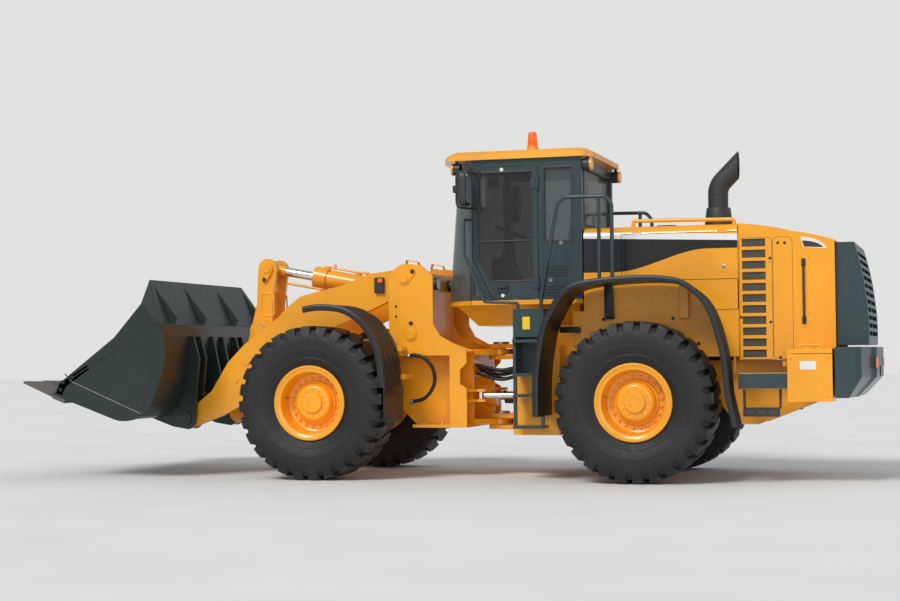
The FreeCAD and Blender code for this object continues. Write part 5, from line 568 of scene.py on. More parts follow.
def piece(name: str, shell: Shell, finish: Finish, body: Optional[str], smooth: float = 40,
          replaces: Sequence[str] = ()) -> bpy.types.Object:
    """Makes an object of a shell.

    Args:
        name: the object's name.
        shell: its surface.
        finish: its material.
        body: the CAD body that it rides on, or None for a piece left unattached.
        smooth: edges sharper than this many degrees stay sharp.
        replaces: CAD nodes that it stands for.
    Returns:
        The object, at the origin, riding on its body.
    """
    mesh = bpy.data.meshes.new(name)
    mesh.from_pydata(shell.points.tolist(), [], [row for block in shell.faces for row in block.tolist()])
    work = bmesh.new()
    work.from_mesh(mesh)
    bmesh.ops.remove_doubles(work, verts=work.verts, dist=1e-5)
    bmesh.ops.dissolve_degenerate(work, edges=work.edges, dist=1e-6)
    bmesh.ops.recalc_face_normals(work, faces=work.faces)
    work.to_mesh(mesh)
    work.free()
    mesh.shade_smooth()
    mesh.set_sharp_from_angle(angle=math.radians(smooth))
    mesh.materials.append(finish.material())
    made = bpy.data.objects.new(name, mesh)
    bpy.context.scene.collection.objects.link(made)
    if body:
        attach(made, body)
    if replaces:
        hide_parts(*replaces)
    return made


def dress(finish: Finish, *nodes: str) -> None:
    """Gives CAD nodes a finish."""
    for name in nodes:
        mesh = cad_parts[name].data
        mesh.materials.clear()
        mesh.materials.append(finish.material())


@dataclass
class Tyre:
    """One tyre with two staggered rows of shoulder lugs, worked out round its section and its axle."""

    end: str
    side: str
    lugs: int = 28
    half: float = 0.298
    crown: tuple = ((0.0, 0.785, 0.747), (0.05, 0.785, 0.747), (0.11, 0.7848, 0.746), (0.17, 0.784, 0.744),
                    (0.225, 0.7825, 0.741), (0.250, 0.775, 0.737), (0.264, 0.752, 0.722), (0.276, 0.722, 0.704),
                    (0.286, 0.694, 0.686), (0.2915, 0.672, 0.670))
    wall: tuple = ((0.2945, 0.655), (0.298, 0.620), (0.2975, 0.590), (0.2955, 0.560), (0.2985, 0.556), (0.2975, 0.548),
                   (0.2905, 0.520), (0.282, 0.492), (0.271, 0.464), (0.2735, 0.458), (0.270, 0.446), (0.256, 0.424),
                   (0.243, 0.402), (0.238, 0.385), (0.238, 0.325))

    def section(self) -> tuple[np.ndarray, np.ndarray, np.ndarray]:
        """Section from one bead to the other: (across, radius) of the lug tops, of the groove floors, and the
        share of a pitch by which the lugs are shifted, which swings by half a pitch over the crown."""
        crown = np.array(self.crown)
        wall = np.array(self.wall)
        wall[:, 0] = np.minimum(wall[:, 0], self.half)
        across = np.concatenate([crown[:, 0], wall[:, 0]])
        top = np.concatenate([crown[:, 1], wall[:, 1]])
        floor_r = np.concatenate([crown[:, 2], wall[:, 1]])
        floor_y = np.concatenate([crown[:, 0] - np.array([0, 0, 0, 0, 0, .006, .008, .006, .003, 0]), wall[:, 0]])
        flip = slice(None, 0, -1)
        tops = np.stack([np.concatenate([-across[flip], across]), np.concatenate([top[flip], top])], 1)
        floors = np.stack([np.concatenate([-floor_y[flip], floor_y]), np.concatenate([floor_r[flip], floor_r])], 1)
        shift = 0.25 * np.tanh(tops[:, 0] / 0.07) * (1 + 0.6 * np.abs(tops[:, 0]))
        return tops, floors, shift

    def build(self) -> None:
        """Radius and reach at each point are the lug's where the angle falls on a lug, and the floor's elsewhere."""
        station = FRONT if self.end == "front" else REAR
        sign = 1 if self.side == "left" else -1
        tops, floors, shift = self.section()
        groove = 0.15 + 0.19 * np.clip(np.abs(tops[:, 0]) / 0.25, 0, 1) ** 1.5
        gap, soft = groove[None, :] / 2, 0.028
        share = np.array([0.0, 0.5, 0.5, 0.5, 0.5, 0.5, 0.5, 0.5])[:, None] + 0 * gap
        share[1], share[2] = gap[0] - soft, gap[0] + soft
        share[3], share[4], share[5] = gap[0] + 0.16, 0.5, 1 - gap[0] - 0.16
        share[6], share[7] = 1 - gap[0] - soft, 1 - gap[0] + soft
        raised = np.array([0, 0, 1, 1, 1, 1, 1, 0])[:, None, None]
        step = (np.arange(self.lugs)[:, None, None] + share[None] + shift[None, None]) * (2 * np.pi / self.lugs)
        section = raised * tops[None] + (1 - raised) * floors[None]
        section = np.broadcast_to(section[None], (self.lugs,) + section.shape).reshape(-1, len(tops), 2)
        angle = step.reshape(-1, len(tops))
        points = np.stack([section[..., 1] * np.cos(angle), sign * section[..., 0],
                           section[..., 1] * np.sin(angle)], -1)
        shell = grid(points + np.array([station, sign * HALF_TRACK, HUB_Z]), ring_u=True, ring_v=True)
        name = f"{self.end}_{self.side}"
        finish = TYRE_FRONT if self.end == "front" else TYRE_REAR
        piece(f"{name}_tread", shell, finish, f"{name}_wheel", 32, [f"{name}_tyre"])


@dataclass
class Rim:
    """Dished wheel with its lock ring, nuts, planetary hub and valve."""

    end: str
    side: str
    nuts: int = 20
    nut_circle: float = 0.247
    profile: tuple = (
        (-0.268, 0.062), (-0.268, 0.200), (-0.262, 0.205), (0.036, 0.205), (0.038, 0.292), (-0.150, 0.306),
        (-0.250, 0.314), (-0.258, 0.330), (-0.264, 0.372), (-0.260, 0.381), (-0.248, 0.381), (-0.238, 0.371),
        (-0.238, 0.322), (0.238, 0.322), (0.238, 0.371), (0.246, 0.381), (0.258, 0.381), (0.264, 0.374),
        (0.264, 0.362), (0.256, 0.354), (0.252, 0.344), (0.247, 0.334), (0.243, 0.319), (0.228, 0.314),
        (0.190, 0.310), (0.120, 0.304), (0.084, 0.299), (0.070, 0.290), (0.064, 0.278), (0.062, 0.268),
        (0.062, 0.228), (0.066, 0.222), (0.084, 0.220), (0.088, 0.216), (0.088, 0.204), (0.098, 0.200),
        (0.126, 0.194), (0.146, 0.178), (0.156, 0.160), (0.158, 0.152), (0.158, 0.110), (0.162, 0.106),
        (0.180, 0.102), (0.184, 0.096), (0.184, 0.060), (0.180, 0.056), (0.180, 0.0))

    def build(self) -> None:
        """Turns the profile and sets the nuts, plugs and valve on it."""
        station = FRONT if self.end == "front" else REAR
        sign = 1 if self.side == "left" else -1
        centre = (station, sign * HALF_TRACK, HUB_Z)
        name = f"{self.end}_{self.side}"
        outline = [(sign * y, r) for y, r in self.profile] + [(sign * 0.148, 0), (sign * 0.148, 0.062)]
        body = lathe(outline, centre, Axis.Y, 96)
        body.faces.append(np.stack([np.arange(96) * len(outline) + len(outline) - 1,
                                    np.roll(np.arange(96), -1) * len(outline) + len(outline) - 1,
                                    np.roll(np.arange(96), -1) * len(outline), np.arange(96) * len(outline)], 1))
        nut = bolt((station, centre[1] + sign * 0.061, HUB_Z + self.nut_circle), Axis.Y, 0.0155, 0.022, sign)
        stud = lathe([(0, 0), (0, 0.008), (sign * 0.032, 0.008), (sign * 0.034, 0)],
                     (station, centre[1] + sign * 0.061, HUB_Z + self.nut_circle), Axis.Y, 10)
        turn = 2 * math.pi / self.nuts
        nuts = joined((nut + stud).turned(Axis.Y, turn * (k + 0.5), centre) for k in range(self.nuts))
        cap = bolt((station, centre[1] + sign * 0.157, HUB_Z + 0.132), Axis.Y, 0.009, 0.010, sign)
        caps = joined(cap.turned(Axis.Y, 2 * math.pi * k / 12, centre) for k in range(12))
        plug = bolt((station + 0.05, centre[1] + sign * 0.179, HUB_Z - 0.02), Axis.Y, 0.013, 0.012, sign)
        piece(f"{name}_wheel_disc", body + nuts + caps + plug, YELLOW, f"{name}_wheel", 30,
              [f"{name}_rim"])
        stem = pipe([(station + 0.286, centre[1] + sign * 0.10, HUB_Z + 0.05),
                     (station + 0.280, centre[1] + sign * 0.15, HUB_Z + 0.05),
                     (station + 0.272, centre[1] + sign * 0.19, HUB_Z + 0.048)], 0.006, (1, 0, 0), 8, 4)
        piece(f"{name}_valve", stem, BLACK, f"{name}_wheel")


@dataclass
class Fenders:
    """Both pairs of fenders: a ribbed strip with a rolled outer lip, its brackets and its mud flap."""

    inner: float = 0.790
    outer: float = 1.372
    flap_x: float = -0.830
    front_path: tuple = ((-0.824, 0.945), (-0.812, 1.040), (-0.800, 1.160), (-0.772, 1.314), (-0.722, 1.440),
                         (-0.645, 1.556), (-0.575, 1.635), (-0.488, 1.698), (-0.400, 1.742), (-0.298, 1.768),
                         (-0.138, 1.779), (-0.040, 1.773), (0.054, 1.757))
    rear_path: tuple = ((-0.950, 0.545), (-0.930, 0.640), (-0.902, 0.760), (-0.878, 0.880), (-0.864, 1.074), (-0.840, 1.250), (-0.800, 1.422), (-0.762, 1.554),
                        (-0.708, 1.678), (-0.648, 1.769), (-0.562, 1.843), (-0.488, 1.892), (-0.400, 1.924),
                        (-0.250, 1.944), (-0.094, 1.949), (0.100, 1.944), (0.296, 1.931), (0.420, 1.918),
                        (0.545, 1.893), (0.630, 1.850), (0.695, 1.780), (0.782, 1.636), (0.846, 1.493),
                        (0.894, 1.250), (0.922, 1.008), (0.926, 0.649))

    def section(self, base: float, lip: Sequence[Point]) -> np.ndarray:
        """Section of (across, out): a flat underside, five long ribs on top and the lip's own line outside."""
        y0, y1 = self.inner, self.outer
        top = [(y0 + 0.004, base)]
        for middle in np.linspace(y0 + 0.10, y1 - 0.13, 5):
            top += [(middle - 0.018, base), (middle - 0.010, base + 0.007), (middle + 0.010, base + 0.007),
                    (middle + 0.018, base)]
        foot = base - 0.022
        return np.array(top + [(y1 + a, b) for a, b in lip] + [(y0 + 0.004, foot), (y0, foot + 0.006),
                                                               (y0, base - 0.006)])

    def strip(self, station: float, path: tuple, base: float, lip: Sequence[Point]) -> Shell:
        """The left fender: its section carried along a smooth line through the arch's points."""
        line = along([(station + x, 0.0, z) for x, z in path], 5)
        return sweep(self.section(base, lip)[::-1], line, (0, 1, 0))

    def build(self) -> None:
        """Replaces the CAD fenders by smooth ones with brackets, flaps and bolts."""
        front = self.strip(FRONT, self.front_path, 0.0, (
            (-0.060, 0.0), (-0.042, 0.003), (-0.028, 0.008), (-0.012, 0.006), (-0.003, -0.006), (0.0, -0.022),
            (-0.002, -0.048), (-0.012, -0.060), (-0.024, -0.058), (-0.031, -0.042), (-0.044, -0.027),
            (-0.062, -0.022)))
        rear = self.strip(REAR, self.rear_path, 0.022, (
            (-0.060, 0.022), (-0.044, 0.028), (-0.036, 0.046), (-0.026, 0.058), (-0.012, 0.059), (-0.002, 0.048),
            (0.0, 0.030), (0.0, 0.012), (-0.006, 0.001), (-0.020, 0.0), (-0.062, 0.0)))
        x = FRONT + self.flap_x
        flap = plate(rounded(self.outer - self.inner, 0.372, 0.03), 0.016, (x, (self.outer + self.inner) / 2, 0.771),
                     Axis.X, 0.003)
        piece("front_fender_shells", (front + flap).both(), RUBBER, "front_body", 38,
              ["front_fenders"])
        arms = joined(plate(rounded(0.056, 0.056, 0.012), self.inner + 0.038 - foot, (FRONT + ax + 0.030, foot, z),
                            Axis.Y, 0.004) for ax, z, foot in ((-0.835, 1.330, 0.672), (-0.870, 1.040, 0.575)))
        piece("front_fender_arms", arms.both(), YELLOW, "front_body", 30)
        hanger, low = self.inner + 0.030, 1.600
        stays = [plate(rounded(0.088, high - low, 0.012), 0.028, (REAR + ax, self.inner + 0.001, (high + low) / 2),
                       Axis.Y, 0.003) for ax, high in ((0.330, 1.930), (-0.420, 1.922))]
        feet = [plate(rounded(0.088, 0.068, 0.010), hanger - 0.740, (REAR + ax, 0.740, low + 0.035), Axis.Y, 0.003)
                for ax in (0.330, -0.420)]
        ahead = plate(rounded(0.200, 0.060, 0.010), hanger - 0.740, (REAR + 0.732, 0.740, 1.500), Axis.Y, 0.003)
        base = plate(rounded(0.205, 0.078, 0.012), -0.034, (REAR + 0.2995, 1.080, 1.986), Axis.Z, 0.003)
        piece("rear_fender_shells", (rear + stays[0] + feet[0] + ahead + base).both(), RUBBER,
              "rear_body", 38, ["rear_fenders"])
        piece("rear_fender_stays", (stays[1] + feet[1]).both(), YELLOW, "rear_body", 30)
        bolts = joined(bolt((x - 0.001, y, 0.905), Axis.X, 0.014, 0.010, -1) for y in (0.90, 1.02, 1.14, 1.26))
        band = plate(rounded(0.56, 0.10, 0.012), -0.008, (x, 1.08, 0.905), Axis.X, 0.002)
        piece("flap_bolts", bolts.both(), BLACK, "front_body")
        piece("flap_strips", band.both(), RUBBER, "front_body")
        foot = joined(bolt((REAR + 0.930, 1.352, z), Axis.X, 0.012, 0.008, 1) for z in (0.70, 0.78))
        piece("rear_fender_bolts", foot.both(), STEEL, "rear_body")


@dataclass
class Keeper:
    """Racetrack keeper plate on a pin's end with the bolt that holds it."""

    pin: tuple
    lock: tuple
    y: float
    body: str
    radius: float = 0.066
    lock_radius: float = 0.034

    def shell(self) -> Shell:
        """Outline round two circles: the convex line about the pin and the lock bolt."""
        t = np.linspace(0, 2 * np.pi, 48, endpoint=False)
        ring = np.stack([np.cos(t), np.sin(t)], 1)
        way = np.array(self.lock) - np.array(self.pin)
        reach = np.linalg.norm(way)
        way = way / reach
        ahead = ring @ way
        lean = (self.radius - self.lock_radius) / reach
        near = ahead < lean
        outline = np.where(near[:, None], np.array(self.pin) + ring * self.radius,
                           np.array(self.lock) + ring * self.lock_radius)
        base = plate(outline, 0.012, (0, self.y, 0), Axis.Y, 0.002)
        cap = lathe([(0.010, 0), (0.010, 0.050), (0.020, 0.050), (0.024, 0.046), (0.024, 0.018), (0.021, 0.014),
                     (0.021, 0)], (self.pin[0], self.y, self.pin[1]), Axis.Y, 32)
        return base + cap

    def bolt_shell(self) -> Shell:
        """Lock bolt."""
        return bolt((self.lock[0], self.y + 0.012, self.lock[1]), Axis.Y, 0.017, 0.014)


@dataclass
class FrontFrame:
    """Tower, keepers, lamps, hoses and brackets of the front half."""

    keepers: tuple = (((-0.809, 2.060), (-0.904, 2.129), 0.671, "front_body"),
                      ((-0.877, 1.474), (-0.885, 1.592), 0.671, "front_body"))

    def build(self) -> None:
        """Dresses the nodes and adds the pieces."""
        dress(YELLOW, "front_frame", "front_axle", "rear_axle")
        dress(PIN, "hitch_pins")
        made = [Keeper((FRONT + p[0], p[1]), (FRONT + q[0], q[1]), y, b) for p, q, y, b in self.keepers]
        piece("tower_keepers", joined(k.shell() for k in made).both(), YELLOW, "front_body", 30)
        piece("tower_keeper_bolts", joined(k.bolt_shell() for k in made).both(), BLACK, "front_body",
              30)
        dots = [(-0.72, 1.77), (-0.72, 1.665)]
        plugs = joined(bolt((FRONT + x, 0.670, z), Axis.Y, 0.010, 0.008) for x, z in dots)
        piece("tower_plugs", plugs.both(), BLACK, "front_body")
        self.lamps()
        self.top_hook()
        self.hoses()
        foot = joined(bolt((FRONT + x, 0.560, 0.543 + 0.001), Axis.Z, 0.020, 0.020) for x in (-0.98, -1.18, -1.38))
        piece("flange_bolts", foot.both(), YELLOW, "front_body")

    def lamps(self) -> None:
        """Lens, reflector rim and bracket of the lamps behind the tower."""
        x, y, z = FRONT - 0.985, 0.330, 2.010
        dress(BLACK, "front_lamps")
        shell = lathe([(0, 0.0), (0, 0.060), (-0.014, 0.064), (-0.022, 0.060), (-0.022, 0.050), (-0.016, 0.040),
                       (-0.020, 0.0)], (x - 0.070, y, z), Axis.X, 40)
        piece("tower_lamp_lens", shell.both(), LENS, "front_body", 40)
        rim = lathe([(0.006, 0.0), (0.006, 0.066), (-0.020, 0.067), (-0.024, 0.062), (-0.018, 0.060), (-0.004, 0.0)],
                    (x - 0.070, y, z), Axis.X, 40)
        piece("tower_lamp_rim", rim.both(), BLACK, "front_body", 40)

    def top_hook(self) -> None:
        """Small bracket on top of each tower: a bent strip with two feet."""
        path = np.array([(FRONT - 0.905, 0.44, 2.196), (FRONT - 0.890, 0.44, 2.236), (FRONT - 0.770, 0.44, 2.262),
                         (FRONT - 0.755, 0.44, 2.200)])
        fine = np.vstack([np.linspace(a, b, 5)[:-1] for a, b in zip(path, path[1:])] + [path[-1:]])
        strip = sweep(rounded(0.07, 0.010, 0.003, 3), fine, (0, 1, 0))
        piece("tower_top_bracket", strip.both(), YELLOW, "front_body", 40)

    def hoses(self) -> None:
        """Hose loop beside the frame and two hose runs that cross the hitch."""
        loop = pipe([(FRONT - 0.86, 0.700, 1.250), (FRONT - 0.93, 0.720, 1.262), (FRONT - 1.04, 0.735, 1.232),
                     (FRONT - 1.13, 0.735, 1.130), (FRONT - 1.155, 0.735, 1.010), (FRONT - 1.120, 0.735, 0.900),
                     (FRONT - 1.03, 0.720, 0.812), (FRONT - 0.90, 0.690, 0.780)], 0.019, (0, 1, 0), 16)
        piece("brake_hose_loop", loop.both(), HOSE, "front_body")
        ends = lathe([(-0.03, 0), (-0.03, 0.026), (0.01, 0.026), (0.012, 0.019), (0.03, 0.019), (0.03, 0)],
                     (FRONT - 0.87, 0.702, 1.251), Axis.X, 12)
        more = lathe([(-0.03, 0), (-0.03, 0.019), (-0.012, 0.019), (-0.01, 0.026), (0.03, 0.026), (0.03, 0)],
                     (FRONT - 0.90, 0.690, 0.780), Axis.X, 12)
        piece("brake_hose_ends", (ends + more).both(), STEEL, "front_body")
        for number, (y, z, sag) in enumerate(((0.300, 1.150, 0.05), (0.230, 1.120, 0.07), (0.300, 1.060, 0.06),
                                              (0.160, 1.090, 0.08), (0.080, 1.130, 0.05))):
            start, end = FRONT - 1.44, REAR + 1.285
            run = [(start, y, z), (start - 0.06, y, z), ((start + end) / 2, y * 0.92, z - sag),
                   (end + 0.06, y, z), (end, y, z)]
            hose = piece(f"hitch_hose_{number}", pipe(run, 0.017), HOSE, None)
            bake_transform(hose)


@dataclass
class Linkage:
    """Lift arm, bell crank, tilt and lift cylinders with their keepers, lines and fittings."""

    tilt_base: tuple = (FRONT - 0.620, 1.934)
    tilt_eye: tuple = (FRONT + 0.930, 2.222)

    def at_tilt(self, run: float, off: float) -> tuple[float, float]:
        """(x, z) at a distance along the tilt cylinder and square above it."""
        a, b = np.array(self.tilt_base), np.array(self.tilt_eye)
        way = (b - a) / np.linalg.norm(b - a)
        spot = a + way * run + np.array([-way[1], way[0]]) * off
        return float(spot[0]), float(spot[1])

    def build(self) -> None:
        """Dresses the nodes and adds the pieces."""
        dress(YELLOW, "lift_arm", "bell_crank", "link", "tilt_barrel", "lift_barrels", "steer_barrel_left",
              "steer_barrel_right")
        dress(CHROME, "tilt_rod", "lift_rods", "steer_rod_left", "steer_rod_right")
        dress(PIN, "bell_pin", "link_pin")
        self.tilt_eye_cover()
        self.tilt_lines()
        self.crank_details()
        self.arm_details()

    def tilt_eye_cover(self) -> None:
        """Painted cast eye over the rod's bare one."""
        x, z = self.tilt_eye
        rings = [lathe([(-0.091, 0.052), (-0.091, 0.084), (-0.084, 0.0865), (0.084, 0.0865), (0.091, 0.084),
                        (0.091, 0.052)], (x, 0, z), Axis.Y, 48)]
        ax, az = self.at_tilt(1.5766 - 0.155, 0)
        bx, bz = self.at_tilt(1.5766 - 0.060, 0)
        neck = sweep(round_section(0.057, 24), np.linspace((ax, 0, az), (bx, 0, bz), 6), (0, 1, 0))
        piece("tilt_rod_end", rings[0] + neck, YELLOW, "tilt_piston", 30)

    def tilt_lines(self) -> None:
        """Steel lines, clamp, hose and the bucket indicator's rod on the tilt cylinder."""
        def spots(rows: Sequence[Point]) -> list[tuple[float, float, float]]:
            """(run, off, y) on the cylinder as points of the frame."""
            return [(self.at_tilt(r, o)[0], y, self.at_tilt(r, o)[1]) for r, o, y in rows]
        lines = joined([
            pipe(spots([(0.26, 0.125, 0.05), (0.50, 0.128, 0.05), (0.80, 0.128, 0.05), (0.905, 0.135, 0.045),
                        (0.935, 0.118, 0.045)]), 0.011),
            pipe(spots([(0.26, 0.125, -0.05), (0.45, 0.128, -0.05), (0.52, 0.140, -0.05), (0.60, 0.118, -0.05)]), 0.011)])
        piece("tilt_steel_lines", lines, YELLOW, "tilt_tube")
        hoses = joined(pipe(spots([(0.30, 0.126, y), (0.20, 0.150, y), (0.06, 0.175, y * 1.3), (-0.06, 0.160, y * 1.6),
                                   (-0.15, 0.09, y * 1.8)]), 0.018) for y in (0.05, -0.05))
        piece("tilt_hoses", hoses, HOSE, "tilt_tube")
        blocks = joined(plate(rounded(0.06, 0.05, 0.008), 0.05, (x, y - 0.025, z), Axis.Y, 0.003)
                        for x, y, z in spots([(0.935, 0.112, 0.045), (0.60, 0.108, -0.05), (0.30, 0.118, 0.05),
                                              (0.30, 0.118, -0.05)]))
        piece("tilt_ports", blocks, YELLOW, "tilt_tube")
        ring = lathe([(-0.012, 0.112), (-0.012, 0.1165), (0.012, 0.1165), (0.012, 0.112)], (0, 0, 0), Axis.X, 48)
        tilt = -math.atan2(self.tilt_eye[1] - self.tilt_base[1], self.tilt_eye[0] - self.tilt_base[0])
        parts = []
        for run in (0.965, 1.055):
            x, z = self.at_tilt(run, 0)
            parts.append(ring.turned(Axis.Y, tilt).moved((x, 0, z)))
        heads = []
        for k in range(8):
            angle = 2 * math.pi * k / 8 + 0.39
            x, z = self.at_tilt(1.0725, 0)
            head = bolt((0.0, 0.088 * math.cos(angle), 0.088 * math.sin(angle)), Axis.X, 0.012, 0.012)
            heads.append(head.turned(Axis.Y, tilt).moved((x, 0, z)))
        piece("tilt_head_rings", joined(parts + heads), YELLOW, "tilt_tube", 30)
        wires = joined(pipe(spots([(0.93, -0.122, y), (1.15, -0.122, y), (1.36, -0.122, y)]), 0.013)
                       for y in (0.075, -0.030))
        piece("bucket_indicator", wires, YELLOW, "tilt_tube")
        fitting = lathe([(0, 0), (0, 0.016), (0.045, 0.016), (0.05, 0.012), (0.062, 0.012), (0.064, 0)],
                        spots([(0.86, 0.112, 0.0)])[0], Axis.Z, 16)
        piece("tilt_port_cap", fitting, AMBER, "tilt_tube")

    def crank_details(self) -> None:
        """Keepers and recess rim on the bell crank."""
        y = 0.160 + 0.025 + 0.014
        top = Keeper((FRONT + 0.930, 2.222), (FRONT + 0.957, 2.102), y, "bell", 0.070, 0.030)
        foot = Keeper((FRONT + 1.290, 0.640), (FRONT + 1.250, 0.750), y, "bell", 0.070, 0.030)
        piece("crank_keepers", (top.shell() + foot.shell()).both(), YELLOW, "bell", 30)
        piece("crank_keeper_bolts", (top.bolt_shell() + foot.bolt_shell()).both(), BLACK, "bell")
        frame_line = rounded(0.150, 0.240, 0.030, 6)
        path = np.stack([FRONT + 0.930 + frame_line[:, 0], np.full(len(frame_line), 0.186),
                         1.830 + frame_line[:, 1]], 1)
        rim = sweep(rounded(0.012, 0.018, 0.004, 3), np.vstack([path, path[:1]]), (0, 1, 0))
        piece("crank_recess_rim", rim.both(), YELLOW, "bell", 40)

    def arm_details(self) -> None:
        """Black box near the arm's root with its marker, a plug, grease points and the pivot plates."""
        y = 0.550 + 0.035
        case = plate(rounded(0.105, 0.165, 0.012), 0.040, (FRONT - 0.515, y, 1.995), Axis.Y, 0.005)
        knob = plate(rounded(0.050, 0.040, 0.008), 0.010, (FRONT - 0.530, y + 0.040, 2.045), Axis.Y, 0.002)
        piece("arm_box", case.both(), BLACK, "boom", 30)
        piece("arm_box_marker", knob.both(), AMBER, "boom", 30)
        piece("arm_plug", bolt((FRONT - 0.630, y, 1.770), Axis.Y, 0.013, 0.010).both(), BLACK, "boom")
        grease = joined(lathe([(0, 0), (0, 0.030), (0.006, 0.030), (0.010, 0.026), (0.010, 0)], (FRONT + x, y, z),
                              Axis.Y, 24) for x, z in ((1.130, 1.010), (1.000, 1.200)))
        piece("arm_plugs", grease.both(), YELLOW, "boom")
        barrel = lathe([(-0.010, 0.0), (-0.010, 0.064), (0.010, 0.064), (0.010, 0)], (FRONT + 1.000, 0.259, 1.544),
                       Axis.Y, 40)
        piece("crank_pivot_plates", barrel.both(), YELLOW, "boom")


@dataclass
class Bucket:
    """Bucket with its seams, wear plates, bolts and corner guards."""

    pin: tuple = (FRONT + 1.693, 0.602)
    roll: float = math.radians(20)

    def turned(self, shell: Shell) -> Shell:
        """A shell drawn level from the hinge pin, rolled back with the bucket."""
        return shell.turned(Axis.Y, -self.roll).moved((self.pin[0], 0, self.pin[1]))

    def seam(self, points: Sequence[Point], radius: float = 0.0045) -> Shell:
        """Weld bead along straight runs."""
        path = np.vstack([np.linspace(a, b, 8)[:-1] for a, b in zip(points, points[1:])] + [np.array(points[-1:])])
        return sweep(round_section(radius, 6), path, (0, 1, 0) if abs(path[0][1] - path[-1][1]) < 0.2 else (0, 0, 1))

    def build(self) -> None:
        """Dresses the nodes and adds the pieces."""
        dress(BUCKET, "bucket", "bucket_pins")
        dress(EDGE, "bucket_edge")
        y = 1.4605
        beads = [self.seam([(0.998, y, 0.070), (1.047, y, 0.080), (0.294, y, 0.976)], 0.0065),
                 self.seam([(0.998, y, 0.070), (0.145, y, 0.030)], 0.0065),
                 self.seam([(1.115, y, 0.123), (0.998, y, 0.070)], 0.0065)]
        ears = sheet([(0.530, 1.455, 1.100), (0.655, 1.180, 1.332), (0.270, 1.448, 0.975)], 0.012)
        piece("bucket_guard_ends", self.turned(ears.both()), BUCKET, "bucket_body", 30)
        piece("bucket_seams", self.turned(joined(beads).both()), BUCKET, "bucket_body")
        plate_line = np.array([(1.145, -0.105), (1.135, 0.010), (0.900, 0.300), (0.860, 0.265), (1.060, 0.000),
                               (1.070, -0.105)])
        side = plate(plate_line[::-1], 0.010, (0, 1.450, 0), Axis.Y, 0.002)
        piece("bucket_side_cutters", self.turned(side.both()), BUCKET, "bucket_body", 30)
        heads = joined(bolt((x, 1.459, z), Axis.Y, 0.014, 0.010) for x, z in ((1.105, -0.05), (1.10, 0.03),
                                                                               (1.02, 0.115)))
        piece("bucket_side_bolts", self.turned(heads.both()), BUCKET, "bucket_body", 30)
        strips = joined(plate(rounded(0.52, 0.09, 0.01), -0.010, (0.760, yy, -0.131), Axis.Z, 0.003)
                        for yy in np.linspace(-1.25, 1.25, 6))
        piece("bucket_wear_strips", self.turned(strips), EDGE, "bucket_body", 30)


